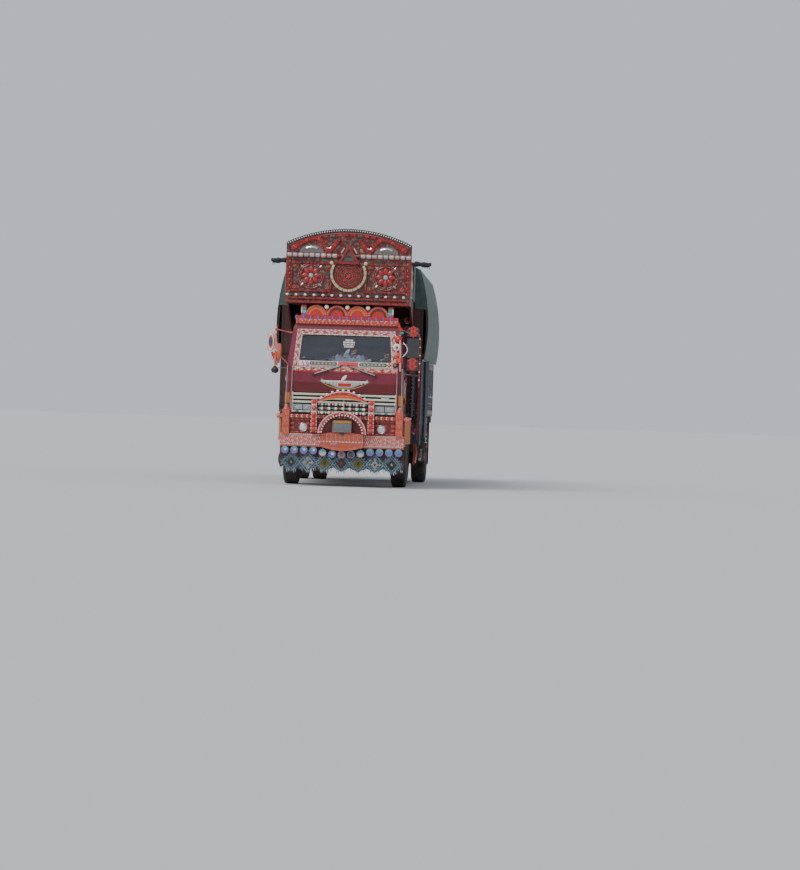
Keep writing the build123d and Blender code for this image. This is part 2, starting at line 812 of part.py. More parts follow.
def lamps():
    y = cab_front_y
    shapes = []
    for x in headlamp_x:
        low = headlamp_z - headlamp_half_height
        high = headlamp_z + headlamp_half_height
        lamp = block(x - headlamp_half, x + headlamp_half, y - 12, y + 45, low, high)
        lamp = fillet(lamp.edges().filter_by(Axis.Y), 14)
        shapes += [lamp, flip(lamp)]
    fog = rod((fog_x, bumper_face_y + 10, fog_z), (fog_x, recess_y, fog_z), fog_radius)
    shapes += [fog, flip(fog)]
    corner = block(cab_half_low - 95, cab_half_low + 4, y + 20, y + 120, *corner_lamp_z)
    corner = corner - cab_outer
    shapes += [corner, flip(corner)]
    tail = block(960, 1150, tail_lamp_y, tail_lamp_y + 46, lamp_bar_z + 5, lamp_bar_z + 85)
    shapes += [tail, flip(tail)]
    return shapes


# Sun visor with a row of fanned arches and round lamps standing on the cab roof
visor_half = 855
visor_z = (cab_top_z + 12, cab_top_z + 146)
visor_y = axle1_y - 1060
arch_pitch = 347
arch_radius = 178
arch_top_z = cab_top_z + 330
visor_lamp_radius = 36
visor_box_x = 730


def sun_visor():
    y0 = visor_y
    face = outline(
        (y0, visor_z[0]),
        (y0 + 30, visor_z[0] - 12),
        (y0 + 140, cab_top_z),
        (y0 + 190, cab_top_z),
        (y0 + 60, visor_z[1]),
        (y0 + 10, visor_z[1]),
    )
    board = extrude(side_plane(-visor_half) * face, amount=2 * visor_half)
    pieces = [board]
    for index in range(4):
        x = (index - 1.5) * arch_pitch
        arch = Pos(x, arch_top_z - arch_radius) * Circle(arch_radius)
        arch = arch & (Pos(x, visor_z[1] + 90) * Rectangle(2 * arch_radius, 200))
        pieces.append(plate(arch, y0 + 18, 26))
        fan = Pos(x, visor_z[1]) * Circle(105)
        fan = fan & (Pos(x, visor_z[1] + 60) * Rectangle(240, 120))
        pieces.append(plate(fan, y0 + 6, 14))
    for index in range(3):
        x = (index - 1) * arch_pitch
        pieces.append(rod((x, y0 - 6, arch_top_z - 32), (x, y0 + 30, arch_top_z - 32), visor_lamp_radius))
        pieces.append(block(x - 14, x + 14, y0 + 18, y0 + 44, visor_z[1] - 10, arch_top_z - 32))
    for x in (-visor_box_x, visor_box_x):
        pieces.append(block(x - 45, x + 45, y0 + 8, y0 + 60, visor_z[1] - 10, arch_top_z - 10))
    return join(pieces)


# Wipers: arms and blades that lie on the lower edge of the glass
def wipers():
    slope = (cab_header_y - cab_front_y) / (cab_top_z - cab_waist_z)
    shapes = []
    for side in (-1, 1):
        pivot_z = cab_waist_z - 55
        pivot = (side * 520, cab_front_y, pivot_z)
        tip_z = cab_waist_z + 105
        tip = (side * 70, cab_front_y + slope * (tip_z - cab_waist_z) - 22, tip_z)
        boss = rod((pivot[0], cab_front_y, pivot_z), (pivot[0], cab_front_y - 26, pivot_z), 16)
        arm = rod((pivot[0], cab_front_y - 20, pivot_z), tip, 7)
        blade_y = tip[1] + 8
        blade = rod((side * 330, blade_y - 12, cab_waist_z + 25), (tip[0] - side * 30, blade_y, tip_z + 20), 6)
        shapes.append(join([boss, arm, blade]))
    return shapes


# Front bumper: sheet box with corner pillars, recessed panels, a lower band and a middle bulge
recess_y = bumper_face_y + 60
pillar_half_width = 58
bumper_side_y = axle1_y - 720
bulge_half = 360
bulge_y = bumper_face_y - 70


def front_bumper():
    y = bumper_face_y
    s = bumper_sheet
    band = block(-bumper_half, bumper_half, y, y + 90, bumper_bottom_z, bumper_band_z)
    back = block(-bumper_half, bumper_half, recess_y, recess_y + s, bumper_bottom_z, bumper_top_z)
    shelf = block(-bumper_half, bumper_half, y + 10, recess_y + s, 1130, bumper_top_z)
    pieces = [band, back, shelf]
    for side in (-1, 1):
        x0 = side * bumper_half
        x1 = side * (bumper_half - s)
        pieces.append(block(x0, x1, recess_y, bumper_side_y, bumper_bottom_z + 40, bumper_top_z))
        px = side * (bumper_half - pillar_half_width - 30)
        pillar = block(px - pillar_half_width, px + pillar_half_width, y - 24, recess_y, bumper_band_z - 30, 1270)
        cap = Pos(px, y + 18, 1270) * Cone(50, 12, 70, align=(Align.CENTER, Align.CENTER, Align.MIN))
        pieces += [pillar, cap]
    bulge = make_face(
        [
            Line((-bulge_half, bumper_band_z), (-bulge_half, bumper_bottom_z + 15)),
            ThreePointArc((-bulge_half, bumper_bottom_z + 15), (0, 600), (bulge_half, bumper_bottom_z + 15)),
            Line((bulge_half, bumper_bottom_z + 15), (bulge_half, bumper_band_z)),
            ThreePointArc((bulge_half, bumper_band_z), (0, bumper_band_z + 40), (-bulge_half, bumper_band_z)),
        ]
    )
    pieces.append(plate(bulge, bulge_y, 70))
    bracket = block(rail_outer_x - rail_flange, rail_outer_x, recess_y + s, rail_front_y, rail_bottom_z, rail_top_z)
    pieces += [bracket, flip(bracket)]
    return join(pieces)


# Bull bar: two posts, three cross bars, an upper crescent, a lower arch and the blank plate
bull_bar_rows = (1225, 1298, 1371)
bar_radius = 17


def bull_bar():
    y = bumper_face_y
    front = front_y
    pieces = []
    post = block(post_x - post_width / 2, post_x + post_width / 2, front + 60, recess_y, bumper_band_z, 1450)
    pieces += [post, flip(post)]
    for z in bull_bar_rows:
        pieces.append(rod((-post_x, y - 40, z), (post_x, y - 40, z), bar_radius))
    crescent = make_face(
        [
            ThreePointArc((-post_x + 40, 1400), (0, 1590), (post_x - 40, 1400)),
            ThreePointArc((post_x - 40, 1400), (0, 1460), (-post_x + 40, 1400)),
        ]
    )
    pieces.append(plate(crescent, front + 30, 60))
    arch_half = 415
    outer = Pos(0, 905) * Circle(arch_half)
    inner = Pos(0, 880) * Circle(arch_half - 75)
    half_plane = Pos(0, 905 + 173) * Rectangle(2 * arch_half, 346)
    squeeze = (outer - inner) & half_plane
    pieces.append(plate(squeeze, front, 90))
    sign = block(-155, 155, front + 40, front + 60, 910, 1125)
    stay = block(-40, 40, front + 55, bulge_y + 5, 880, 930)
    pieces += [sign, stay]
    return join(pieces) - front_bumper_part


# Row of round reflectors under the bumper, each hanging on its own short strap
disc_radius = 64
disc_pitch = 158
disc_count = 13


def reflector_discs():
    shapes = []
    for index in range(disc_count):
        x = (index - (disc_count - 1) / 2) * disc_pitch
        near = max(0.0, 1 - (x / 480) ** 2)
        z = 590 - 55 * near
        disc = rod((x, bumper_face_y + 6, z), (x, bumper_face_y + 34, z), disc_radius)
        strap = block(x - 12, x + 12, bumper_face_y + 20, bumper_face_y + 34, z, bumper_bottom_z)
        shapes.append(disc + strap)
    return shapes


# Bead net under the bumper and the chain fringes under the side skirts
net_bottom_z = 235
net_top_z = 512
net_thickness = 20
fringe_pitch = 150


def fringes():
    y = bumper_face_y + 60
    bay = 2 * bumper_half / 13
    points = [(-bumper_half, net_top_z + 150), (bumper_half, net_top_z + 150)]
    edge = []
    for index in range(13):
        x = bumper_half - bay * index
        edge.append((x, net_bottom_z + 75))
        edge.append((x - bay / 2, net_bottom_z))
    edge.append((-bumper_half, net_bottom_z + 75))
    net = plate(outline(*points, *edge), y, net_thickness)
    net = net - front_bumper_part
    shapes = [net]
    count = 20
    for side in (-1, 1):
        for index in range(count):
            fy = skirt_front_y + 100 + index * fringe_pitch
            if fy > skirt_rear_y - 40:
                continue
            x = side * (skirt_x - 12)
            shapes.append(block(x - 9, x + 9, fy - 9, fy + 9, 470, skirt_bottom_z))
            shapes.append(Pos(x, fy, 455) * Sphere(24))
    return join(shapes)


# Front mudguards: arch over each front wheel with a step panel in front, fixed to the cab floor
guard_radius = 645
guard_sheet = 14
guard_inner_x = 690
guard_outer_x = 1030


def front_mudguards():
    z = tyre_radius
    ring = Circle(guard_radius + guard_sheet) - Circle(guard_radius)
    upper = Pos(0, 440) * Rectangle(1400, 700)
    face = Pos(axle1_y, z) * (ring & upper)
    guard = extrude(side_plane(guard_inner_x) * face, amount=guard_outer_x - guard_inner_x)
    roof_z = z + guard_radius + guard_sheet
    stay = block(rail_outer_x, guard_inner_x + 20, axle1_y + 300, axle1_y + 350, 1060, 1100)
    limit = block(guard_inner_x - 5, guard_outer_x + 5, axle1_y - 700, axle1_y + 700, 0, cab_bottom_z)
    hang = block(guard_inner_x + 60, guard_outer_x - 60, axle1_y - 60, axle1_y + 60, roof_z - 12, cab_bottom_z)
    left = join([guard & limit, stay, hang])
    return [left, flip(left)]


# Mirrors on their arms, hung with streamers and tassels
mirror_y = axle1_y - 1085
mirror_top_z = cab_top_z - 160
mirror_low_z = cab_waist_z + 100
left_post_x = 1180
right_post_x = 1120


def mirrors():
    y = mirror_y
    shapes = []
    frame_y = pillar_y - 40
    x = -left_post_x
    head = Pos(x - 82, y, mirror_top_z - 155) * Box(110, 60, 300)
    head = fillet(head.edges().filter_by(Axis.Y), 50)
    parts = [
        head,
        rod((x, y, mirror_low_z + 185), (x, y, mirror_top_z + 130), 18),
        rod((x, y, mirror_top_z + 60), (-cab_half_roof - 5, frame_y, mirror_top_z), 9),
        rod((x, y, mirror_low_z + 225), (-cab_half_low + 20, frame_y, mirror_low_z + 15), 9),
        block(x - 35, x + 5, y - 12, y + 12, mirror_top_z - 210, mirror_top_z - 100),
        block(x - 20, x + 20, y - 14, y + 14, mirror_low_z - 45, mirror_low_z + 195),
        Pos(x, y, mirror_low_z - 90) * Sphere(55),
    ]
    shapes.append(join(parts) - cab_outer)
    x = right_post_x
    head = Pos(x, y, mirror_top_z - 190) * Box(200, 60, 330)
    head = fillet(head.edges().filter_by(Axis.Y), 30)
    parts = [
        head,
        rod((x, y, mirror_low_z - 25), (x, y, mirror_top_z + 150), 14),
        rod((x, y, mirror_top_z + 60), (cab_half_roof + 5, frame_y, mirror_top_z), 9),
        rod((x, y, mirror_low_z + 75), (cab_half_low - 20, frame_y, mirror_low_z - 15), 9),
        Pos(x, y, mirror_top_z + 80) * Box(190, 40, 150),
        Pos(x, y, mirror_low_z + 65) * Box(190, 40, 190),
    ]
    shapes.append(join(parts) - cab_outer)
    return shapes


# Thin taut rods at the cab corners between bumper and windscreen, with a tuft at the foot
stay_head_z = cab_waist_z + 85


def stay_rods():
    shapes = []
    for side in (-1, 1):
        for x in (cab_half_low - 100, cab_half_low - 15):
            foot = (side * x, recess_y + 15, bumper_top_z + 0.6)
            head = (side * (x - 12), cab_front_y - 16, stay_head_z)
            bar = rod(foot, head, 6)
            lug = block(
                side * (x - 22),
                side * (x - 2),
                cab_front_y - 22,
                cab_front_y + 90,
                stay_head_z - 10,
                stay_head_z + 8,
            )
            shapes.append(join([bar, lug - cab_outer]))
    return shapes


# Crown: arched front board with its relief, box behind it over the cab, and two brackets
ring_z = crown_bottom_z + 510
ring_radius = 300
flower_x = 625
flower_z = crown_bottom_z + 465
panel_x = (275, 975)
panel_z = (crown_bottom_z + 195, crown_bottom_z + 695)
panel_frame = 35
gable_z = crown_bottom_z + 672
gable_half = 185
gable_rise = 323
bead_z = crown_bottom_z + 140
bead_pitch = 150
bead_radius = 24


def arc_top(half, side_z, peak_z, bottom_z):
    """Board outline with straight sides and one arc on top."""
    return make_face(
        [
            Line((-half, bottom_z), (half, bottom_z)),
            Line((half, bottom_z), (half, side_z)),
            ThreePointArc((half, side_z), (0, peak_z), (-half, side_z)),
            Line((-half, side_z), (-half, bottom_z)),
        ]
    )


def crown():
    y = crown_front_y
    board = plate(arc_top(crown_half, crown_side_z, crown_peak_z, crown_bottom_z), y, crown_board)
    pieces = [board]
    rim = arc_top(crown_half, crown_side_z, crown_peak_z, crown_moulding_z)
    rim = rim - arc_top(crown_half - 55, crown_side_z - 50, crown_peak_z - 55, crown_moulding_z - 20)
    pieces.append(plate(rim, y - 22, 30))
    moulding = rod((-crown_half, y - 8, crown_moulding_z), (crown_half, y - 8, crown_moulding_z), 34)
    pieces.append(moulding)
    for side in (-1, 1):
        x0 = side * panel_x[0]
        x1 = side * panel_x[1]
        f = panel_frame
        hole = block(x0 + side * f, x1 - side * f, y - 30, y + 10, panel_z[0] + f, panel_z[1] - f)
        pieces.append(block(x0, x1, y - 18, y + 5, *panel_z) - hole)
        pieces.append(block(side * crown_half, side * (crown_half - 60), y - 26, y + 5, crown_bottom_z, crown_side_z - 200))
        petals = [Pos(side * flower_x, flower_z) * Circle(60)]
        for index in range(8):
            turn = index * 45
            petals.append(Pos(side * flower_x, flower_z) * Rot(0, 0, turn) * Pos(110, 0) * Ellipse(68, 34))
        flower = petals[0]
        for petal in petals[1:]:
            flower = flower + petal
        pieces.append(plate(flower, y - 24, 30))
    ring = Pos(0, ring_z) * (Circle(ring_radius) - Circle(ring_radius - 42))
    ring = ring & (Pos(0, (panel_z[0] + panel_z[1]) / 2) * Rectangle(700, panel_z[1] - panel_z[0] - 4))
    pieces.append(plate(ring, y - 30, 35))
    outer = outline((-gable_half, gable_z), (gable_half, gable_z), (0, gable_z + gable_rise))
    inner = outline(
        (-0.64 * gable_half, gable_z + 40),
        (0.64 * gable_half, gable_z + 40),
        (0, gable_z + 0.76 * gable_rise),
    )
    pieces.append(plate(outer, y - 46, 56) - plate(inner, y - 46, 16))
    for low, high, proud in ((70, 110, 22), (0, 45, 30)):
        pieces.append(block(-crown_half, crown_half, y - proud, y + 5, crown_bottom_z + low, crown_bottom_z + high))
    count = int((2 * crown_half - 60) // bead_pitch)
    for index in range(count + 1):
        x = (index - count / 2) * bead_pitch
        pieces.append(rod((x, y - 26, bead_z), (x, y + 4, bead_z), bead_radius))
    for side in (-1, 1):
        x0 = side * crown_half
        x1 = side * (crown_half - crown_skin)
        pieces.append(block(x0, x1, y + 5, body_front_y, crown_bottom_z, crown_top_z))
        arm = outline(
            (body_front_y, crown_bottom_z - 420),
            (body_front_y, crown_bottom_z),
            (body_front_y - 1100, crown_bottom_z),
            (body_front_y - 1100, crown_bottom_z - 60),
        )
        pieces.append(extrude(side_plane(min(x0, x1)) * arm, amount=crown_skin))
    inside = crown_half - crown_skin + 5
    pieces.append(block(-inside, inside, y + 5, body_front_y, crown_bottom_z, crown_bottom_z + crown_skin))
    pieces.append(block(-inside, inside, y + 5, tarp_front_y + 120, crown_top_z - crown_skin, crown_top_z))
    return join(pieces)


# Load body front wall: boarded wall with corner posts that carry the first bow
wall_disc_x = 950
wall_disc_radius = 55
wall_discs_z = (crown_bottom_z - 346, crown_bottom_z - 194)
wall_rail = 70


def body_front_wall():
    y = body_front_y
    wall = block(-body_half, body_half, y, y + body_wall, deck_edge_z, crown_bottom_z)
    pieces = [wall]
    for x in (-body_half, body_half - post_size):
        pieces.append(block(x, x + post_size, y, y + post_size, deck_edge_z, side_top_z))
    for z in (deck_top_z + 40, side_top_z):
        pieces.append(block(-body_half, body_half, y - 22, y + 5, z, z + wall_rail))
    for z in wall_discs_z:
        for side in (-1, 1):
            pieces.append(rod((side * wall_disc_x, y - 30, z), (side * wall_disc_x, y + 5, z), wall_disc_radius))
    return join(pieces)


# Side walls: boarded panels between proud posts, with arched heads, and a rail on top
post_pitch = 620
post_proud = 22
side_skin = 34
side_rail = 60
side_post_half = 32
side_belt_z = deck_top_z + 310
arch_rise = 260


def side_wall():
    x = body_half
    y0 = body_front_y + post_size + 2
    y1 = body_rear_y - post_size - 2
    skin = block(x - post_proud - side_skin, x - post_proud, y0, y1, deck_edge_z, side_top_z)
    pieces = [skin]
    pieces.append(block(x - 70, x, y0, y1, side_top_z - side_rail, side_top_z))
    pieces.append(block(x - post_proud - 5, x, y0, y1, deck_edge_z, deck_top_z + side_rail))
    pieces.append(block(x - post_proud - 5, x - 6, y0, y1, side_belt_z - 20, side_belt_z + 20))
    bays = round((y1 - y0) / post_pitch)
    bay = (y1 - y0) / bays
    for index in range(bays + 1):
        y = y0 + index * bay
        left = max(y0, y - side_post_half)
        right = min(y1, y + side_post_half)
        pieces.append(block(x - post_proud - 5, x, left, right, deck_edge_z, side_top_z))
    for index in range(bays):
        y = y0 + (index + 0.5) * bay
        half = bay / 2 - side_post_half
        spandrel = Pos(y, side_top_z - side_rail - arch_rise / 2) * Rectangle(2 * half, arch_rise)
        arch = Pos(y, side_top_z - side_rail - arch_rise) * Circle(half - 16)
        pieces.append(extrude(side_plane(x - post_proud - 2) * (spandrel - arch), amount=post_proud - 6))
    return join(pieces)


# Deck: floor boards proud of the edge that carries the walls, rear posts, and a sill along each rail
floor_half = body_half - post_size - 5
floor_margin = post_size + 5
lamp_bar_z = 1010
lamp_bar_half = 1160
tail_lamp_y = body_rear_y - 20


def load_deck():
    y0 = body_front_y
    y1 = body_rear_y
    pieces = [block(-body_half, body_half, y0, y1, deck_under_z, deck_edge_z)]
    pieces.append(block(-floor_half, floor_half, y0 + floor_margin, y1 - floor_margin, deck_edge_z, deck_top_z))
    for side in (-1, 1):
        x0 = side * body_half
        x1 = side * (body_half - post_size)
        pieces.append(block(x0, x1, y1 - post_size, y1, deck_edge_z, side_top_z))
    sill = block(rail_outer_x - rail_flange, rail_outer_x, y0, y1 - bearer_width, rail_top_z, bearer_low_z)
    return [join(pieces + gate_hinges_fixed()), sill, flip(sill)]


# Cross bearers between the sills and the floor, the last with the bar that carries the tail lamps
def deck_bearers():
    half = body_half - 20
    shapes = []
    for y in bearer_places():
        shapes.append(block(-half, half, y, y + bearer_width, bearer_low_z, deck_under_z))
    y1 = body_rear_y
    lamp_bar = block(-lamp_bar_half, lamp_bar_half, y1 - bearer_width, y1 - 20, lamp_bar_z, bearer_low_z)
    shapes[-1] = shapes[-1] + lamp_bar
    return shapes


# Tailgate: framed board hinged along its lower edge
gate_half = body_half - post_size - door_gap
gate_bottom_z = deck_top_z + door_gap
gate_hinge_x = (-900, 0, 900)
gate_barrel = 120
gate_lug = 30
gate_pin_radius = 7
gate_rail = 70
gate_recess = 18


def gate_hinges_fixed():
    """Lugs on the rear edge of the deck with their pins."""
    pieces = []
    y = gate_hinge_y
    z = gate_hinge_z
    for x in gate_hinge_x:
        for x0 in (x - gate_barrel / 2 - 2 - gate_lug, x + gate_barrel / 2 + 2):
            pieces.append(rod((x0, y, z), (x0 + gate_lug, y, z), gate_hinge_radius))
            pieces.append(block(x0, x0 + gate_lug, body_rear_y - 5, y, z - gate_hinge_radius, z + 8))
        pin_half = gate_barrel / 2 + 20
        pieces.append(rod((x - pin_half, y, z), (x + pin_half, y, z), gate_pin_radius))
    return pieces


def tailgate():
    y1 = gate_outer_y
    y0 = y1 - gate_wall
    top = side_top_z - 4
    pieces = [block(-gate_half, gate_half, y0 + gate_recess, y1, gate_bottom_z, top)]
    for z in (gate_bottom_z, (gate_bottom_z + top - gate_rail) / 2, top - gate_rail):
        pieces.append(block(-gate_half, gate_half, y0, y1, z, z + gate_rail))
    for share in (-1, -1 / 3, 1 / 3, 1):
        x = share * (gate_half - gate_rail / 2)
        pieces.append(block(x - gate_rail / 2, x + gate_rail / 2, y0, y1, gate_bottom_z, top))
    z = gate_hinge_z
    for x in gate_hinge_x:
        x0 = x - gate_barrel / 2
        pieces.append(rod((x0, gate_hinge_y, z), (x0 + gate_barrel, gate_hinge_y, z), gate_hinge_radius))
        strap = outline(
            (gate_hinge_y + gate_hinge_radius, z),
            (gate_hinge_y + gate_hinge_radius, z + 30),
            (y1 + 2, gate_bottom_z + 40),
            (y1 + 2, gate_bottom_z + 220),
            (y1 - 4, gate_bottom_z + 220),
            (y1 - 4, gate_bottom_z),
            (gate_hinge_y - 4, z + 4),
        )
        pieces.append(extrude(side_plane(x0) * strap, amount=gate_barrel))
    gate = join(pieces)
    bore = gate_pin_radius + running_clearance
    for x in gate_hinge_x:
        gate = gate - rod((x - gate_barrel, gate_hinge_y, z), (x + gate_barrel, gate_hinge_y, z), bore)
    return gate


# Bows that carry the tarpaulin, and the pole across the front with its ends standing out
def tarp_section(inset, hem_z):
    """Half-closed front view of the cover: bulging sides, round shoulders, low roof."""
    hem = tarp_hem_half - inset
    bulge = tarp_half - inset
    shoulder = tarp_shoulder_half - inset
    top = tarp_top_z - inset
    right = ThreePointArc((hem, hem_z), (bulge, tarp_bulge_z), (shoulder, tarp_shoulder_z - inset / 2))
    roof = ThreePointArc((shoulder, tarp_shoulder_z - inset / 2), (0, top), (-shoulder, tarp_shoulder_z - inset / 2))
    left = ThreePointArc((-shoulder, tarp_shoulder_z - inset / 2), (-bulge, tarp_bulge_z), (-hem, hem_z))
    return make_face([right, roof, left, Line((-hem, hem_z), (hem, hem_z))])


bow_foot_z = side_top_z
bow_count = 8
bow_front_y = body_front_y + body_wall + bow_width / 2 + 1
bow_rear_y = body_rear_y - 70
ridge_half = 25
ridge_depth = 30


def tarp_bows():
    outer_inset = tarp_thickness + bow_gap
    band = tarp_section(outer_inset, tarp_hem_z) - tarp_section(outer_inset + bow_depth, tarp_hem_z - 60)
    above = Pos(0, bow_foot_z + 1000) * Rectangle(2 * tarp_half, 2000)
    band = band & above
    foot_x = tarp_hem_half - outer_inset - bow_depth + 30
    bows = []
    for index in range(bow_count):
        y = bow_front_y + (bow_rear_y - bow_front_y) * index / (bow_count - 1)
        bow = plate(band, y - bow_width / 2, bow_width)
        foot = block(body_half - 60, foot_x, y - bow_width / 2, y + bow_width / 2, bow_foot_z, bow_foot_z + 60)
        bows.append(join([bow, foot, flip(foot)]))
    return bows


# Poles: a ridge under the bows, and a cross pole on the crown's box whose ends stand out
def tarp_poles():
    ridge_top = tarp_top_z - tarp_thickness - bow_gap - bow_depth
    ridge = block(-ridge_half, ridge_half, bow_front_y, bow_rear_y, ridge_top - ridge_depth, ridge_top)
    pole = rod((-pole_half, pole_y, pole_z), (pole_half, pole_y, pole_z), pole_radius)
    return [ridge - join(bow_parts), pole - crown_part]


# Tarpaulin: closed cover over the bows with a narrower hood over the crown box
hood_ease = 22


def tarpaulin():
    y_mid = body_front_y
    y_end = body_rear_y + 4
    outer = plate(tarp_section(0, tarp_hem_z), y_mid, y_end - y_mid)
    inner = plate(tarp_section(tarp_thickness, tarp_hem_z), y_mid + tarp_thickness, y_end - y_mid - 2 * tarp_thickness)
    inner_low = block(-body_half - 30, body_half + 30, y_mid - 5, y_end + 5, tarp_hem_z - 5, side_top_z + 4)
    wall_room = block(-body_half - 1, body_half + 1, y_mid - 5, y_mid + 100, tarp_hem_z - 5, crown_bottom_z + 2)
    shell = outer - inner - inner_low - wall_room
    y_hood = tarp_front_y
    front = plate(hood_section(0), y_hood, y_mid - y_hood)
    front = front - plate(hood_section(tarp_thickness), y_hood - 5, y_mid + 10 - y_hood)
    passage = plate(hood_section(tarp_thickness), y_mid - 5, 30)
    return (shell - passage) + front


def hood_section(inset):
    """Front view of the hood that covers the crown box behind its front board."""
    half = crown_half + hood_ease - inset
    low = crown_bottom_z + 120
    shoulder_z = crown_top_z + 30 - inset / 2
    top = tarp_top_z - 8 - inset
    return make_face(
        [
            Line((-half, low), (half, low)),
            Line((half, low), (half, shoulder_z)),
            ThreePointArc((half, shoulder_z), (0, top), (-half, shoulder_z)),
            Line((-half, shoulder_z), (-half, low)),
        ]
    )


# Rear mudguards: a board before and a flap behind each twin wheel, hung from the bearers that clear the tyres
flap_gap = 60
flap_sheet = 14
flap_inner_x = 590
flap_arm_z = (880, 960)


def flap_places():
    """Bearers nearest to the rear tyres that still clear them: one before, one behind."""
    room = tyre_radius + flap_gap
    ahead = [y for y in bearer_places() if y + bearer_width < axle2_y - room]
    behind = [y for y in bearer_places() if y > axle2_y + room]
    return ahead[-1], behind[0]


def rear_mudguards():
    shapes = []
    for place, low in zip(flap_places(), (560, 330)):
        y = place + (bearer_width - flap_sheet) / 2
        flap = block(flap_inner_x, body_half, y, y + flap_sheet, low, bearer_low_z)
        arm = block(rail_outer_x, flap_inner_x, y, y + flap_sheet, *flap_arm_z)
        shapes += [flap + arm, flip(flap + arm)]
    return shapes


# Side skirts: shallow lockers under the bearers with arched fronts between the axles
skirt_x = body_half - 10
skirt_depth = 150
skirt_wall = 20
skirt_bottom_z = 730
skirt_front_y = axle1_y + 780
skirt_rear_y = flap_places()[0] - 40
skirt_bays = 5
skirt_arch_radius = 175
skirt_frame_proud = 10


def side_lockers():
    x1 = skirt_x
    x0 = skirt_x - skirt_depth
    w = skirt_wall
    box = block(x0, x1, skirt_front_y, skirt_rear_y, skirt_bottom_z, bearer_low_z)
    box = box - block(x0 + w, x1 - w, skirt_front_y + w, skirt_rear_y - w, skirt_bottom_z + w, bearer_low_z - w)
    fascia = block(body_half - 20, x1, skirt_front_y, skirt_rear_y, bearer_low_z, deck_under_z)
    pieces = [box, fascia]
    bay = (skirt_rear_y - skirt_front_y) / skirt_bays
    height = deck_under_z - skirt_bottom_z
    for index in range(skirt_bays):
        y = skirt_front_y + (index + 0.5) * bay
        face = Rectangle(bay - 40, height - 60) - Circle(skirt_arch_radius)
        face = Pos(y, skirt_bottom_z + height / 2) * face
        pieces.append(extrude(side_plane(x1 - 2) * face, amount=skirt_frame_proud + 2))
    left = join(pieces)
    return [left, flip(left)]


engine_part = engine_block()
front_bumper_part = front_bumper()
crown_part = crown()

bow_parts = tarp_bows()

save("chassis_frame", chassis_frame())
save("cross_members", cross_members())
save("leaf_springs", leaf_springs())
save("front_axle", front_axle())
knuckle_part = knuckle()
save("knuckle_left", knuckle_part)
save("knuckle_right", flip(knuckle_part))
save("tie_rod", tie_rod())
wheel_part = front_wheel()
save("front_wheel_left", wheel_part)
save("front_wheel_right", flip(wheel_part))
save("rear_axle", rear_axle())
save("propeller_shaft", propeller_shaft())
twin_part = rear_wheels()
save("rear_wheels_left", twin_part)
save("rear_wheels_right", flip(twin_part))
save("engine_block", engine_part)
save("tanks", tanks())
save("exhaust", exhaust())
save("cab_floor", cab_floor())
save("cab_front", cab_front())
save("cab_shell", cab_shell())
door_part = door()
save("door_left", door_part)
save("door_right", flip(door_part))
pane = door_glass()
save("door_glass_left", pane)
save("door_glass_right", flip(pane))
save("windscreen", windscreen())
save("dashboard", dashboard())
save("seats", seats())
save("grille", grille())
save("lamps", lamps())
save("sun_visor", sun_visor())
save("wipers", wipers())
save("front_bumper", front_bumper_part)
save("bull_bar", bull_bar())
save("reflector_discs", reflector_discs())
save("fringes", fringes())
save("front_mudguards", front_mudguards())
save("mirrors", mirrors())
save("stay_rods", stay_rods())
save("crown", crown_part)
save("body_front_wall", body_front_wall())
wall_part = side_wall()
save("side_wall_left", wall_part)
save("side_wall_right", flip(wall_part))
save("load_deck", load_deck())
save("deck_bearers", deck_bearers())
save("tailgate", tailgate())
save("tarp_bows", bow_parts)
save("tarp_poles", tarp_poles())
save("tarpaulin", tarpaulin())
save("rear_mudguards", rear_mudguards())
save("side_lockers", side_lockers())
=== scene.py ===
from math import cos, pi, radians, sin

import bmesh
import bpy
import numpy as np
from mathutils import Matrix, Vector


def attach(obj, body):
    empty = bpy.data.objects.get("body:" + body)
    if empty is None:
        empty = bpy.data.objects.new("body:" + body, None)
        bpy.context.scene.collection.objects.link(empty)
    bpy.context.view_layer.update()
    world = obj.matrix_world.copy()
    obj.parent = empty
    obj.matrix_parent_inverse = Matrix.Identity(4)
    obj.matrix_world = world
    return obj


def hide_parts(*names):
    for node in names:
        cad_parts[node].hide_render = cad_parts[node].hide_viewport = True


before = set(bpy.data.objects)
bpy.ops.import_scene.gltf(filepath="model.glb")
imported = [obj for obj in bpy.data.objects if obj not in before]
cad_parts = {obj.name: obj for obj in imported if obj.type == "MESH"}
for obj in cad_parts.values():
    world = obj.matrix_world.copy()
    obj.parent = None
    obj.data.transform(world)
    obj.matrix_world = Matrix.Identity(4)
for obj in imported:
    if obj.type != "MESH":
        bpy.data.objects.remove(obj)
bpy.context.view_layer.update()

# The camera stands on the road 59 m ahead of the front axle, a little to the truck's left, at waist height.
# A long lens looks slightly down, and the picture is rolled so that the truck's left side sits lower.
axle_front = -2.86
axle_rear = 2.04
camera_distance = 59
camera_height = 1.25
camera_bearing = 3.2
camera_aside = 0.8814
focal_pixels = 3460
picture_pixels = 870
sensor = 36.0
camera_data = bpy.data.cameras.new("camera")
camera_data.sensor_width = sensor
camera_data.lens = focal_pixels / picture_pixels * sensor
camera_data.clip_end = 1000
camera = bpy.data.objects.new("camera", camera_data)
bpy.context.scene.collection.objects.link(camera)
bearing = radians(camera_bearing)
camera_place = Vector(
    (camera_distance * sin(bearing), axle_front - camera_distance * cos(bearing), camera_height)
)
heading = radians(90 + camera_bearing - camera_aside)
dip = radians(0.352)
tip = radians(1.9)
ahead = Vector((cos(dip) * cos(heading), cos(dip) * sin(heading), -sin(dip)))
flat_side = Vector((sin(heading), -cos(heading), 0))
flat_up = flat_side.cross(ahead)
across = cos(tip) * flat_side + sin(tip) * flat_up
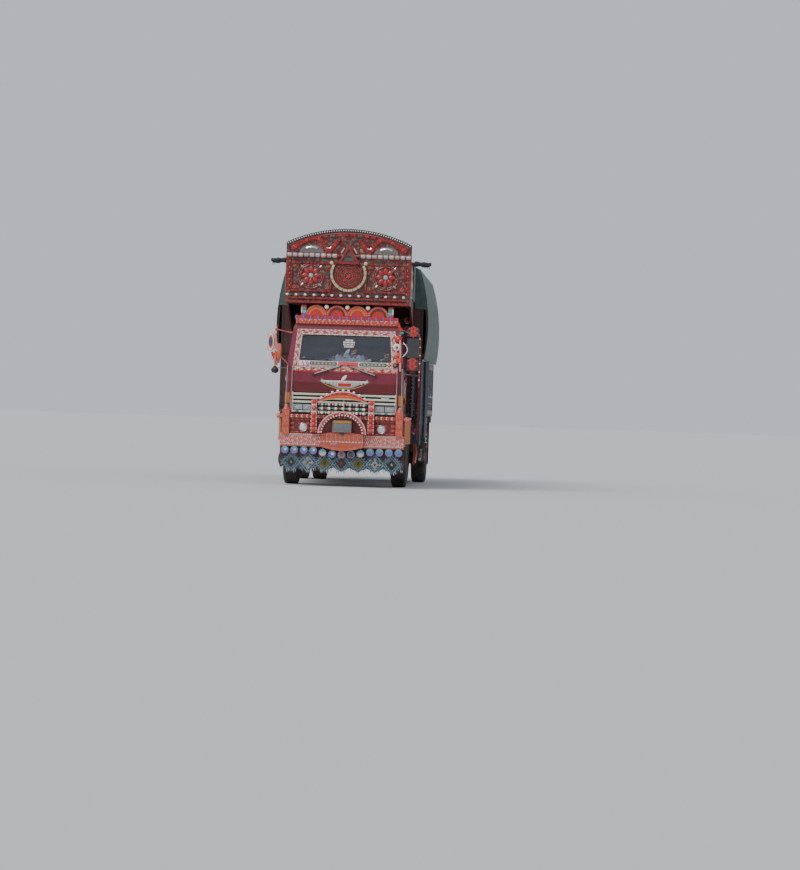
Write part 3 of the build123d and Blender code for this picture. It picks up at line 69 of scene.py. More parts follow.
above = cos(tip) * flat_up - sin(tip) * flat_side
turn = Matrix((across, above, -ahead)).transposed()
camera.matrix_world = Matrix.Translation(camera_place) @ turn.to_4x4()
bpy.context.scene.camera = camera


# Studio: a pale floor that runs out of sight, one wide soft light from above the truck's right front
# corner, and an even sky. None of it belongs to the truck.
def add(tree, kind, inputs=None, **settings):
    """One shader node: its settings first, then each input as a plain value or as another node's socket."""
    made = tree.nodes.new(kind)
    for key, value in settings.items():
        setattr(made, key, value)
    for key, value in (inputs or {}).items():
        if isinstance(value, bpy.types.NodeSocket):
            tree.links.new(value, made.inputs[key])
        else:
            made.inputs[key].default_value = value
    return made


def finish(name, plain):
    """A new material and its Principled shader, with plain values on the shader's own sockets."""
    made = bpy.data.materials.new(name)
    made.use_nodes = True
    shader = made.node_tree.nodes["Principled BSDF"]
    for key, value in plain.items():
        shader.inputs[key].default_value = value
    return made, made.node_tree, shader


def feed(tree, shader, **links):
    """Joins sockets to the shader's inputs, whose names have spaces where the words here have _."""
    for key, socket in links.items():
        tree.links.new(socket, shader.inputs[key.replace("_", " ").title()])


def ranged(tree, value, low, high, start=0.0, end=1.0):
    """Map Range output: value between low and high becomes start to end, held at both ends."""
    inputs = {0: value, 1: low, 2: high, 3: start, 4: end}
    return add(tree, "ShaderNodeMapRange", inputs).outputs[0]


def blended(tree, share, first, second, mode="MIX"):
    """Colour mix of two colours by a share from 0 to 1."""
    inputs = {0: share, 6: first, 7: second}
    return add(tree, "ShaderNodeMix", inputs, data_type="RGBA", blend_type=mode).outputs[2]


floor_reach = 400.0
floor_sides = 64
floor_mesh = bpy.data.meshes.new("studio_floor")
floor_turns = np.linspace(0, 2 * pi, floor_sides, endpoint=False)
floor_points = floor_reach * np.stack((np.cos(floor_turns), np.sin(floor_turns), 0 * floor_turns), axis=1)
floor_mesh.from_pydata(floor_points.tolist(), [], [list(range(floor_sides))])
studio_floor = bpy.data.objects.new("studio_floor", floor_mesh)
bpy.context.scene.collection.objects.link(studio_floor)
pale, pale_tree, pale_shader = finish("pale_floor", {"Roughness": 0.85, "Specular IOR Level": 0.2})
pale_noise = add(pale_tree, "ShaderNodeTexNoise", {"Scale": 0.15, "Detail": 3.0})
pale_colour = blended(pale_tree, pale_noise.outputs[0], (0.55, 0.55, 0.56, 1), (0.6, 0.6, 0.6, 1))
feed(pale_tree, pale_shader, base_color=pale_colour)
floor_mesh.materials.append(pale)

sky = bpy.data.worlds.new("studio_sky")
sky.use_nodes = True
sky.node_tree.nodes["Background"].inputs[0].default_value = (0.72, 0.76, 0.82, 1)
sky.node_tree.nodes["Background"].inputs[1].default_value = 0.85
bpy.context.scene.world = sky
soft_sun = bpy.data.lights.new("soft_sun", "SUN")
soft_sun.energy = 2.4
soft_sun.angle = radians(35)
sun_object = bpy.data.objects.new("soft_sun", soft_sun)
sun_object.rotation_euler = (radians(42), radians(-14), radians(-24))
bpy.context.scene.collection.objects.link(sun_object)


# Chassis: two pressed rails with riveted members, springs, axles and propeller shaft, in black paint
# that road dust has turned brown near the ground. Bolt heads are pressed onto the rails' outer webs.
def new_group(name, inputs, outputs):
    """Shader node group with named sockets; returns it with its incoming and outgoing sockets."""
    group = bpy.data.node_groups.new(name, "ShaderNodeTree")
    for label, kind, value in inputs:
        group.interface.new_socket(label, in_out="INPUT", socket_type=kind).default_value = value
    for label, kind in outputs:
        group.interface.new_socket(label, in_out="OUTPUT", socket_type=kind)
    return group, group.nodes.new("NodeGroupInput").outputs, group.nodes.new("NodeGroupOutput").inputs


def grouped(tree, group, inputs):
    """Outputs of a shared group placed in a material; each input is a value or another node's socket."""
    return add(tree, "ShaderNodeGroup", inputs, node_tree=group).outputs


def maths(tree, operation, first, second=0.0):
    """Math node output for one or two values."""
    return add(tree, "ShaderNodeMath", {0: first, 1: second}, operation=operation).outputs[0]


def object_place(tree):
    """Place of each shaded point, in the truck's own metres."""
    return add(tree, "ShaderNodeTexCoord").outputs["Object"]


def place_parts(tree):
    """X, Y and Z of each shaded point."""
    return add(tree, "ShaderNodeSeparateXYZ", {0: object_place(tree)}).outputs


def cloudy(tree, scale, detail, roughness=0.5):
    """Noise value at the shaded point, mostly between 0.3 and 0.7."""
    inputs = {"Vector": object_place(tree), "Scale": scale, "Detail": detail, "Roughness": roughness}
    return add(tree, "ShaderNodeTexNoise", inputs).outputs[0]


def relief(tree, height, strength, distance):
    """Normal of a bump that follows the height."""
    inputs = {"Strength": strength, "Distance": distance, "Height": height}
    return add(tree, "ShaderNodeBump", inputs).outputs[0]


def tint_of(tree):
    """Each piece's own tint."""
    return add(tree, "ShaderNodeAttribute", attribute_name="tint").outputs["Color"]


def varied(tree, value, low, high, incoming, outgoing):
    """Sends out Colour times a grey from 1 - Spread to 1 + Spread, as the value goes from low to high."""
    dull = maths(tree, "SUBTRACT", 1.0, incoming["Spread"])
    bright = maths(tree, "ADD", 1.0, incoming["Spread"])
    shade = ranged(tree, value, low, high, dull, bright)
    grey = add(tree, "ShaderNodeCombineColor", {0: shade, 1: shade, 2: shade}).outputs[0]
    tree.links.new(blended(tree, 1.0, incoming["Colour"], grey, "MULTIPLY"), outgoing["Colour"])


colour_kind = "NodeSocketColor"
number_kind = "NodeSocketFloat"

# Road dust: thick at the ground, thinning out up to Reach, and broken up by cloudy noise
dust, dust_in, dust_out = new_group(
    "road_dust",
    (
        ("Colour", colour_kind, (0.1, 0.1, 0.1, 1)), ("Dust", colour_kind, (0.23, 0.185, 0.14, 1)),
        ("Reach", number_kind, 1.4), ("Amount", number_kind, 0.7),
    ),
    (("Colour", colour_kind), ("Mask", number_kind)),
)
dust_low = ranged(dust, place_parts(dust)[2], 0.0, dust_in["Reach"], 1.0, 0.12)
dust_patch = ranged(dust, cloudy(dust, 3.5, 6.0, 0.7), 0.36, 0.68)
dust_share = maths(dust, "MULTIPLY", maths(dust, "MULTIPLY", dust_low, dust_patch), dust_in["Amount"])
dust.links.new(blended(dust, dust_share, dust_in["Colour"], dust_in["Dust"]), dust_out["Colour"])
dust.links.new(dust_share, dust_out["Mask"])

# Mottle: a colour lightened and darkened by fine and broad noise together, and a height for the bump
mottle, mottle_in, mottle_out = new_group(
    "mottle",
    (("Colour", colour_kind, (0.1, 0.1, 0.1, 1)), ("Scale", number_kind, 20.0), ("Spread", number_kind, 0.3)),
    (("Colour", colour_kind), ("Height", number_kind)),
)
mottle_noise = cloudy(mottle, mottle_in["Scale"], 8.0, 0.62)
varied(mottle, mottle_noise, 0.3, 0.7, mottle_in, mottle_out)
mottle.links.new(mottle_noise, mottle_out["Height"])

# Chips: small ragged spots where paint has gone, as a mask
chips, chips_in, chips_out = new_group(
    "chips", (("Scale", number_kind, 14.0), ("Amount", number_kind, 0.3)), (("Mask", number_kind),)
)
chips_edge = ranged(chips, chips_in["Amount"], 0.0, 1.0, 0.78, 0.5)
chips_top = maths(chips, "ADD", chips_edge, 0.03)
chips.links.new(
    ranged(chips, cloudy(chips, chips_in["Scale"], 10.0, 0.75), chips_edge, chips_top), chips_out["Mask"]
)


def painted(
    name, colour, rough=0.45, metal=0.0, coat=0.0, reach=1.4, dirt=0.6, grain=22.0, spread=0.16, chip=0.25,
    under=(0.09, 0.05, 0.035, 1), bump=0.12, tinted=False, colour_map=None
):
    """Paint: mottled colour, chips down to rust, dust towards the ground, and roughness that follows it.

    With tinted the colour comes from each piece's own tint, and colour_map may work a colour out of the tree.
    """
    made, tree, shader = finish(name, {"Metallic": metal, "Coat Weight": coat, "Coat Roughness": 0.15})
    if colour_map:
        colour = colour_map(tree)
    elif tinted:
        colour = tint_of(tree)
    mixed = grouped(tree, mottle, {"Colour": colour, "Scale": grain, "Spread": spread})
    chipped = blended(tree, grouped(tree, chips, {"Amount": chip})["Mask"], mixed["Colour"], under)
    dusted = grouped(tree, dust, {"Colour": chipped, "Reach": reach, "Amount": dirt})
    gloss = ranged(tree, dusted["Mask"], 0.0, 0.6, rough, 0.92)
    uneven = relief(tree, mixed["Height"], bump, 0.002)
    feed(tree, shader, base_color=dusted["Colour"], roughness=gloss, normal=uneven)
    return made


def dress(material, *names):
    """Puts the material in every slot of the named CAD nodes."""
    for name in names:
        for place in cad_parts[name].material_slots:
            place.material = material


chassis_black = painted("chassis_black", (0.022, 0.021, 0.022, 1), rough=0.5, reach=1.5, dirt=0.8, chip=0.4)
axle_black = painted("axle_black", (0.03, 0.027, 0.025, 1), rough=0.6, reach=1.6, dirt=0.95, chip=0.5)
oily_iron = painted(
    "oily_iron", (0.05, 0.046, 0.042, 1), rough=0.55, metal=0.5, reach=1.8, dirt=0.7, grain=45.0
)
tank_grey = painted("tank_grey", (0.12, 0.13, 0.14, 1), rough=0.45, reach=1.5, dirt=0.75)
hot_steel = painted(
    "hot_steel", (0.16, 0.09, 0.055, 1), rough=0.75, metal=0.4, reach=1.5, dirt=0.7, grain=60.0
)
dress(chassis_black, "chassis_frame", "cross_members", "deck_bearers")
dress(
    axle_black, "leaf_springs", "front_axle", "rear_axle", "propeller_shaft", "knuckle_left", "knuckle_right",
    "tie_rod"
)
dress(oily_iron, "engine_block")
dress(tank_grey, "tanks")
dress(hot_steel, "exhaust")


# Shapes are tuples of points, four-cornered faces and three-cornered faces. A part adds one tint a point.
def quads(rows, columns, wrap_rows=False, wrap_columns=False):
    """Faces of a grid of points: (r, c) joins point r * columns + c, the next in its row and two above."""
    r = np.arange(rows if wrap_rows else rows - 1)
    c = np.arange(columns if wrap_columns else columns - 1)
    r, c = np.meshgrid(r, c, indexing="ij")
    r2 = (r + 1) % rows
    c2 = (c + 1) % columns
    corners = (r * columns + c, r * columns + c2, r2 * columns + c2, r2 * columns + c)
    return np.stack(corners, axis=-1).reshape(-1, 4)


no_triangles = np.zeros((0, 3), dtype=int)


def tinted(shape, colour):
    """A part: the shape with one colour on all its points."""
    points, four, three = shape
    return points, four, three, np.broadcast_to(np.asarray(colour, dtype=float)[:3], (len(points), 3))


def copies(shape, places, colours):
    """A part made of one shape at each place: every point times the place's matrix, one colour a copy."""
    points, four, three = shape
    count = len(places)
    moved = np.einsum("kij,nj->kni", places[:, :3, :3], points) + places[:, None, :3, 3]
    shift = (np.arange(count) * len(points))[:, None, None]
    wanted = np.resize(np.asarray(colours, dtype=float)[..., :3].reshape(-1, 3), (count, 3))
    faces4 = (four[None] + shift).reshape(-1, 4)
    faces3 = (three[None] + shift).reshape(-1, 3)
    return moved.reshape(-1, 3), faces4, faces3, np.repeat(wanted, len(points), axis=0)


def other_side(part):
    """The part on the truck's other side: X changes sign and the faces are listed the other way round."""
    points, four, three, colours = part
    return points * np.array((-1.0, 1.0, 1.0)), four[:, ::-1], three[:, ::-1], colours


def both_sides(parts):
    """The parts and their mirror images."""
    return parts + [other_side(part) for part in parts]


def piece(name, parts, material, body="chassis", hides=(), weld=False, closed=True):
    """One object from many parts: points are stacked, and each part's faces move up by the count before."""
    starts = np.cumsum([0] + [len(part[0]) for part in parts])
    points = np.concatenate([part[0] for part in parts])
    four = np.concatenate([part[1] + start for part, start in zip(parts, starts)])
    three = np.concatenate([part[2] + start for part, start in zip(parts, starts)])
    colours = np.concatenate([part[3] for part in parts])
    corners = np.concatenate((four.ravel(), three.ravel())).astype(np.int32)
    first = np.concatenate(
        (np.arange(len(four)) * 4, len(four) * 4 + np.arange(len(three)) * 3)
    ).astype(np.int32)
    mesh = bpy.data.meshes.new(name)
    mesh.vertices.add(len(points))
    mesh.vertices.foreach_set("co", points.ravel())
    mesh.loops.add(len(corners))
    mesh.loops.foreach_set("vertex_index", corners)
    mesh.polygons.add(len(first))
    mesh.polygons.foreach_set("loop_start", first)
    mesh.update(calc_edges=True)
    mesh.validate()
    tint = mesh.color_attributes.new("tint", "FLOAT_COLOR", "POINT")
    tint.data.foreach_set("color", np.column_stack((colours, np.ones(len(colours)))).ravel())
    if weld or closed:
        work = bmesh.new()
        work.from_mesh(mesh)
        if weld:
            bmesh.ops.remove_doubles(work, verts=work.verts, dist=1e-6)
        if closed:
            bmesh.ops.recalc_face_normals(work, faces=work.faces)
        work.to_mesh(mesh)
        work.free()
    mesh.shade_smooth()
    mesh.set_sharp_from_angle(angle=radians(38))
    mesh.materials.append(material)
    made = bpy.data.objects.new(name, mesh)
    bpy.context.scene.collection.objects.link(made)
    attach(made, body)
    if hides:
        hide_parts(*hides)
    return made


def spots(centres, sizes, right, up, roll=0.0):
    """Places as 4 by 4 matrices: columns are right, up and their cross product times the three sizes, then
    the centre. Roll turns right towards up."""
    centres = np.atleast_2d(np.asarray(centres, dtype=float))
    count = len(centres)
    sizes = np.broadcast_to(np.asarray(sizes, dtype=float), (count, 3))
    roll = np.broadcast_to(np.asarray(roll, dtype=float), (count,))[:, None]
    right = np.broadcast_to(np.asarray(right, dtype=float), (count, 3))
    up = np.broadcast_to(np.asarray(up, dtype=float), (count, 3))
    out = np.cross(right, up)
    turned_right = right * np.cos(roll) + up * np.sin(roll)
    turned_up = up * np.cos(roll) - right * np.sin(roll)
    places = np.zeros((count, 4, 4))
    places[:, :3, 0] = turned_right * sizes[:, :1]
    places[:, :3, 1] = turned_up * sizes[:, 1:2]
    places[:, :3, 2] = out * sizes[:, 2:3]
    places[:, :3, 3] = centres
    places[:, 3, 3] = 1.0
    return places


def along(path, pitch, size, out, roll=0.0):
    """Places at even steps near the pitch along a path of points, right along the path, facing out."""
    path = np.asarray(path, dtype=float)
    steps = np.linalg.norm(np.diff(path, axis=0), axis=1)
    reached = np.concatenate(([0.0], np.cumsum(steps)))
    count = max(1, int(round(reached[-1] / pitch)))
    wanted = (np.arange(count) + 0.5) * reached[-1] / count
    before, centres, after = (
        np.stack(
            [np.interp(wanted + shift, reached, path[:, k]) for k in range(3)], axis=1
        ) for shift in (-0.002, 0.0, 0.002)
    )
    right = after - before
    right = right / np.linalg.norm(right, axis=1, keepdims=True)
    out = np.broadcast_to(np.asarray(out, dtype=float), right.shape)
    up = np.cross(out, right)
    up = up / np.linalg.norm(up, axis=1, keepdims=True)
    return spots(centres, size, right, up, roll)


def dome(sides, rings, flat=0.0):
    """Half ball on a unit circle: rings at height sin a and radius cos a from rim to top, closed below."""
    angle = np.linspace(0, pi / 2, rings + 1)[:-1]
    radius = 0.5 * (flat + (1 - flat) * np.cos(angle))
    radius[0] = 0.5
    turns = np.linspace(0, 2 * pi, sides, endpoint=False)
    x = radius[:, None] * np.cos(turns)
    y = radius[:, None] * np.sin(turns)
    z = np.broadcast_to(np.sin(angle)[:, None], x.shape)
    points = np.stack((x, y, z), axis=-1).reshape(-1, 3)
    points = np.concatenate((points, ((0, 0, 0), (0, 0, 1.0))))
    around = np.arange(sides)
    after = (around + 1) % sides
    base = np.stack((np.full(sides, rings * sides), after, around), axis=1)
    last = (rings - 1) * sides
    top = np.stack((np.full(sides, rings * sides + 1), last + around, last + after), axis=1)
    return points, quads(rings, sides, wrap_columns=True), np.concatenate((base, top))


hex_bolt = dome(6, 2, flat=0.8)
rail_web_x = 0.410
bolt_rows = []
for bolt_z in (0.82, 0.96):
    for side in (-1, 1):
        for start, end in ((-4.05, -0.3), (-0.2, 4.2)):
            line = ((side * rail_web_x, start, bolt_z), (side * rail_web_x, end, bolt_z))
            bolts = along(line, 0.21, (0.026, 0.026, 0.009), (side, 0, 0))
            bolt_rows.append(copies(hex_bolt, bolts, (0.02, 0.02, 0.02)))
piece("rail_bolts", bolt_rows, chassis_black)


# Wheels: cross-ply lorry tyres with zigzag ribs and cut shoulders on pressed steel discs, held by eight
# nuts. The tyre's section and the disc follow the CAD wheel, which the tyre's piece replaces.
hub_z = 0.52
tread_steps = 240
disc_steps = 96
nut_count = 8
stud_radius = 0.142
front_wheel_x = 0.915
twin_wheel_x = (0.745, 1.075)
tread_columns = (
    (-0.112, 0.508, 0.0), (-0.098, 0.5135, 0.2), (-0.082, 0.520, 0.4), (-0.066, 0.520, 1.0),
    (-0.063, 0.508, 1.0), (-0.053, 0.508, 1.0), (-0.050, 0.520, 1.0), (-0.024, 0.520, 1.0),
    (-0.021, 0.508, 1.0), (-0.011, 0.508, 1.0), (-0.008, 0.520, 1.0), (0.018, 0.520, 1.0),
    (0.021, 0.508, 1.0), (0.031, 0.508, 1.0), (0.034, 0.520, 1.0), (0.052, 0.520, 1.0), (0.055, 0.508, 1.0),
    (0.065, 0.508, 1.0), (0.068, 0.520, 1.0), (0.082, 0.520, 0.4), (0.098, 0.5135, 0.2), (0.112, 0.508, 0.0),
)


def lathe(profile, steps, axle_y, side):
    """Profile of (distance along the axle, radius) turned round a wheel's axle: at angle t the point lies
    radius * cos t along Y and radius * sin t up."""
    turns = np.linspace(0, 2 * pi, steps, endpoint=False)[:, None]
    offset = np.asarray(profile, dtype=float)
    x = side * np.broadcast_to(offset[:, 0], (steps, len(offset)))
    y = axle_y + offset[:, 1] * np.cos(turns)
    z = hub_z + offset[:, 1] * np.sin(turns)
    points = np.stack((x, y, z), axis=-1).reshape(-1, 3)
    return points, quads(steps, len(offset), wrap_rows=True), no_triangles


def sidewall(side):
    """Sidewall from shoulder to bead: a circular bulge with two raised rings."""
    share = np.linspace(0, 1, 11)[1:]
    radius = 0.506 - share * (0.506 - 0.258)
    width = 0.114 + 0.026 * np.sin(pi * share) ** 0.8 - 0.008 * share
    width = width + 0.0022 * ((np.abs(radius - 0.470) < 0.008) | (np.abs(radius - 0.300) < 0.012))
    return np.stack((side * width, radius), axis=1)


def tyre(middle, axle_y, side):
    """Tyre as rows round the axle: tread columns shift sideways by a triangle wave for the zigzag ribs, and
    every fourth row of the shoulders is cut in. Sidewalls and the bead close the section."""
    columns = np.array(tread_columns)
    turn = np.arange(tread_steps)
    wave = np.abs((turn % 8) - 4) / 4 - 0.5
    cut = (turn % 4 == 0)[:, None] & (np.abs(columns[:, 0]) > 0.085)[None, :]
    x = columns[None, :, 0] + 0.011 * wave[:, None] * columns[None, :, 2]
    radius = np.broadcast_to(columns[:, 1], x.shape) - 0.008 * cut
    right = np.broadcast_to(sidewall(1), (tread_steps, 10, 2))
    left = np.broadcast_to(sidewall(-1)[::-1], (tread_steps, 10, 2))
    x = np.concatenate((left[..., 0], x, right[..., 0]), axis=1)
    radius = np.concatenate((left[..., 1], radius, right[..., 1]), axis=1)
    turns = (2 * pi * turn / tread_steps)[:, None]
    y = axle_y + radius * np.cos(turns)
    z = hub_z + radius * np.sin(turns)
    points = np.stack((side * (middle + x), y, z), axis=-1).reshape(-1, 3)
    return tinted((points, quads(tread_steps, x.shape[1], True, True), no_triangles), (0.02, 0.02, 0.02))


front_disc = (
    (0.122, 0.0), (0.122, 0.046), (0.116, 0.058), (0.112, 0.060), (0.112, 0.078), (0.092, 0.080),
    (0.092, 0.162), (0.088, 0.172), (0.076, 0.184), (0.060, 0.228), (0.064, 0.238), (0.098, 0.240),
    (0.110, 0.246), (0.1125, 0.262), (0.106, 0.264), (0.100, 0.256), (-0.100, 0.256), (-0.106, 0.264),
    (-0.1125, 0.262), (-0.110, 0.246), (-0.098, 0.240), (0.040, 0.238), (0.046, 0.226), (0.062, 0.180),
    (0.064, 0.214), (-0.045, 0.214), (-0.045, 0.200), (0.060, 0.198), (0.064, 0.166), (0.064, 0.078),
    (-0.022, 0.078), (-0.022, 0.032), (0.06, 0.0315), (0.06, 0.0),
)
rear_disc = (
    (0.235, 0.0), (0.235, 0.088), (0.229, 0.095), (0.178, 0.096), (0.178, 0.170), (0.186, 0.178),
    (0.252, 0.230), (0.262, 0.239), (0.428, 0.240), (0.440, 0.246), (0.4425, 0.262), (0.436, 0.264),
    (0.430, 0.256), (0.230, 0.256), (0.224, 0.264), (0.219, 0.262), (0.219, 0.246), (0.224, 0.240),
    (0.238, 0.239), (0.230, 0.230), (0.164, 0.180), (0.158, 0.178), (0.075, 0.230), (0.088, 0.239),
    (0.100, 0.240), (0.110, 0.246), (0.1125, 0.262), (0.106, 0.264), (0.100, 0.256), (-0.100, 0.256),
    (-0.106, 0.264), (-0.1125, 0.262), (-0.110, 0.246), (-0.098, 0.240), (0.058, 0.238), (0.066, 0.228),
    (0.136, 0.180), (0.150, 0.220), (-0.176, 0.220), (-0.176, 0.206), (0.134, 0.204), (0.140, 0.176),
    (0.140, 0.095), (0.046, 0.095), (0.046, 0.053), (0.2, 0.053), (0.2, 0.0),
)
rim_cream = (0.52, 0.44, 0.27)
rim_red = (0.30, 0.012, 0.01)
nut_steel = (0.36, 0.34, 0.31)
rubber = painted(
    "tyre_rubber", (0.016, 0.016, 0.017, 1), rough=0.82, reach=1.2, dirt=0.5, grain=40.0, chip=0.0, bump=0.3
)
rim_paint = painted("rim_paint", (0.5, 0.4, 0.3, 1), rough=0.4, reach=1.3, dirt=0.75, chip=0.45, tinted=True)


def wheel_centre(profile, offset, axle_y, side, face_x):
    """Disc, drum and hub turned from their section, red on the hub and cream outside it, and eight nuts."""
    moved = [(offset + x, radius) for x, radius in profile]
    points, four, three = lathe(moved, disc_steps, axle_y, side)
    radius = np.hypot(points[:, 1] - axle_y, points[:, 2] - hub_z)
    colours = np.where((radius < 0.098)[:, None], np.array(rim_red), np.array(rim_cream))
    turns = np.arange(nut_count) * 2 * pi / nut_count
    right = np.stack((0 * turns, -side * np.sin(turns), side * np.cos(turns)), axis=1)
    up = np.stack((0 * turns, -np.cos(turns), -np.sin(turns)), axis=1)
    nuts = spots((side * face_x, axle_y, hub_z) - stud_radius * up, (0.034, 0.034, 0.026), right, up)
    return [(points, four, three, colours), copies(dome(6, 3, flat=0.7), nuts, nut_steel)]


for side, word in ((1, "left"), (-1, "right")):
    front_tyre = [tyre(front_wheel_x, axle_front, side)]
    piece(
        "front_tyre_" + word, front_tyre, rubber, "front_wheel_" + word,
        hides=("front_wheel_" + word,)
    )
    front_rim = wheel_centre(front_disc, front_wheel_x, axle_front, side, 1.006)
    piece("front_rim_" + word, front_rim, rim_paint, "front_wheel_" + word, weld=True)
    twin_tyres = [tyre(x, axle_rear, side) for x in twin_wheel_x]
    piece(
        "rear_tyres_" + word, twin_tyres, rubber, "rear_wheels_" + word,
        hides=("rear_wheels_" + word,)
    )
    twin_rims = wheel_centre(rear_disc, twin_wheel_x[0], axle_rear, side, 0.922)
    piece("rear_rims_" + word, twin_rims, rim_paint, "rear_wheels_" + word, weld=True)


# Cab: a steel shell in maroon with a pressed line across it. The sloping part above the line is painted
# lighter, a painted reflection of the sky, and below it is the paint's own dark red. The doors carry the same
# paint with a painted panel, and the roof is paler still.
def slab(line_a, line_b, depth, crown=1.3):
    """Raised band between two lines of (x, z) points: its section rises at both lines to the depth and swells
    to crown times the depth in the middle. Lines may meet at their ends."""
    a = np.asarray(line_a, dtype=float)
    b = np.asarray(line_b, dtype=float)
    share = np.array((0.0, 0.0, 0.5, 1.0, 1.0))
    height = depth * np.array((0.0, 1.0, crown, 1.0, 0.0))
    flat = a[:, None, :] * (1 - share)[None, :, None] + b[:, None, :] * share[None, :, None]
    points = np.concatenate((flat, np.broadcast_to(height[None, :, None], flat.shape[:2] + (1,))), axis=2)
    count = len(a)
    last = (count - 1) * 5
    ends = np.array(((0, 4, 3), (0, 3, 1), (1, 3, 2), (0, 3, 4), (0, 1, 3), (1, 2, 3)))
    ends[3:] += last
    return points.reshape(-1, 3), quads(count, 5, wrap_columns=True), ends


def on_front(shape, y, colour):
    """The shape's (x, z, height) laid on a plane facing the road ahead: height grows towards -Y from y."""
    points, four, three = shape
    moved = np.stack((points[:, 0], y - points[:, 2], points[:, 1]), axis=1)
    return tinted((moved, four, three), colour)


def on_left(shape, x, colour):
    """The shape's (y, z, height) laid on a plane facing the truck's left: height grows towards +X from x."""
    points, four, three = shape
    moved = np.stack((x + points[:, 2], points[:, 0], points[:, 1]), axis=1)
    return tinted((moved, four, three), colour)


def on_rear(shape, y, colour):
    """The shape's (x, z, height) laid on a plane facing backwards: height grows towards +Y from y."""
    points, four, three = shape
    moved = np.stack((-points[:, 0], y + points[:, 2], points[:, 1]), axis=1)
    return tinted((moved, four, three), colour)


def arc(centre, radius, start, end, count):
    """Points on a circle from one angle to another, in degrees; its two radii may differ."""
    turns = np.radians(np.linspace(start, end, count))
    radii = np.broadcast_to(np.asarray(radius, dtype=float), (2,))
    return np.stack((centre[0] + radii[0] * np.cos(turns), centre[1] + radii[1] * np.sin(turns)), axis=1)


def leaf():
    """Petal on a unit length and width: half width sin(pi s) to the power 0.7, raised along its middle."""
    s = np.linspace(0, 1, 7)
    half = 0.5 * np.sin(pi * s) ** 0.7
    across = np.array((-1.0, -0.55, 0.0, 0.55, 1.0))
    height = np.array((0.0, 0.75, 1.0, 0.75, 0.0))
    x = half[:, None] * across
    y = np.broadcast_to(s[:, None], x.shape)
    z = np.sin(pi * s)[:, None] ** 0.4 * height
    top = np.stack((x, y, z), axis=-1).reshape(-1, 3)
    return top, quads(7, 5), no_triangles


def tile():
    """Cut piece of tape on a unit square with a bevelled edge."""
    low = np.array(((-0.5, -0.5, 0), (0.5, -0.5, 0), (0.5, 0.5, 0), (-0.5, 0.5, 0)))
    high = low * np.array((0.88, 0.88, 1)) + np.array((0, 0, 1.0))
    faces = np.concatenate((quads(2, 4, wrap_columns=True), ((3, 2, 1, 0), (4, 5, 6, 7))))
    return np.concatenate((low, high)), faces, no_triangles


def bead(sides=6, rings=4):
    """Round bead of unit diameter, closed at both poles."""
    lat = np.linspace(-pi / 2, pi / 2, rings + 1)[1:-1]
    turns = np.linspace(0, 2 * pi, sides, endpoint=False)
    x = 0.5 * np.cos(lat)[:, None] * np.cos(turns)
    y = 0.5 * np.cos(lat)[:, None] * np.sin(turns)
    z = np.broadcast_to(0.5 * np.sin(lat)[:, None], x.shape)
    body = np.stack((x, y, z), axis=-1).reshape(-1, 3)
    points = np.concatenate((body, ((0, 0, -0.5), (0, 0, 0.5))))
    around = np.arange(sides)
    after = (around + 1) % sides
    count = len(body)
    low = np.stack((np.full(sides, count), after, around), axis=1)
    high = np.stack((np.full(sides, count + 1), count - sides + around, count - sides + after), axis=1)
    return points, quads(rings - 1, sides, wrap_columns=True), np.concatenate((low, high))


def pipe(path, radius, sides=8):
    """Round bar along a path: each ring stands square to the path, and both ends are closed by a fan."""
    path = np.asarray(path, dtype=float)
    count = len(path)
    way = np.gradient(path, axis=0)
    way = way / np.linalg.norm(way, axis=1, keepdims=True)
    guide = np.eye(3)[np.argmin(np.abs(way).mean(axis=0))]
    first_side = np.cross(way, guide)
    first_side = first_side / np.linalg.norm(first_side, axis=1, keepdims=True)
    second_side = np.cross(way, first_side)
    turns = np.linspace(0, 2 * pi, sides, endpoint=False)
    size = np.broadcast_to(np.asarray(radius, dtype=float), (count,))[:, None, None]
    ring = first_side[:, None, :] * np.cos(turns)[:, None] + second_side[:, None, :] * np.sin(turns)[:, None]
    body = (path[:, None, :] + size * ring).reshape(-1, 3)
    points = np.concatenate((body, path[:1], path[-1:]))
    around = np.arange(sides)
    after = (around + 1) % sides
    first = np.stack((np.full(sides, len(body)), around, after), axis=1)
    last = np.stack(
        (np.full(sides, len(body) + 1), len(body) - sides + after, len(body) - sides + around), axis=1
    )
    return points, quads(count, sides, wrap_columns=True), np.concatenate((first, last))


# Upper tone: the maroon lightened by a painted reflection of the sky on the sloping front. Lower tone: the
# paint.
maroon_painted_reflection = (0.17, 0.011, 0.030, 1)
maroon_low = (0.115, 0.003, 0.006, 1)
maroon_line_z = 1.73


def cab_tones_with_reflection(tree):
    """The paint's own dark red up to the pressed line, lighter above it as a painted sky reflection, paler on
    the roof.
    """
    height = place_parts(tree)[2]
    tone = blended(
        tree, ranged(tree, height, maroon_line_z - 0.004, maroon_line_z + 0.004), maroon_low, maroon_painted_reflection
    )
    return blended(tree, ranged(tree, height, 2.60, 2.70, 0.0, 0.55), tone, (0.26, 0.07, 0.08, 1))


cab_maroon = painted(
    "cab_maroon", maroon_painted_reflection, rough=0.34, coat=0.2, reach=1.7, dirt=0.14, chip=0.12, colour_map=cab_tones_with_reflection,
    bump=0.05
)
dress(cab_maroon, "cab_front", "cab_shell", "door_left", "door_right")
dress(painted("cab_inside", (0.09, 0.075, 0.07, 1), rough=0.8, reach=2.2, dirt=0.5), "cab_floor")

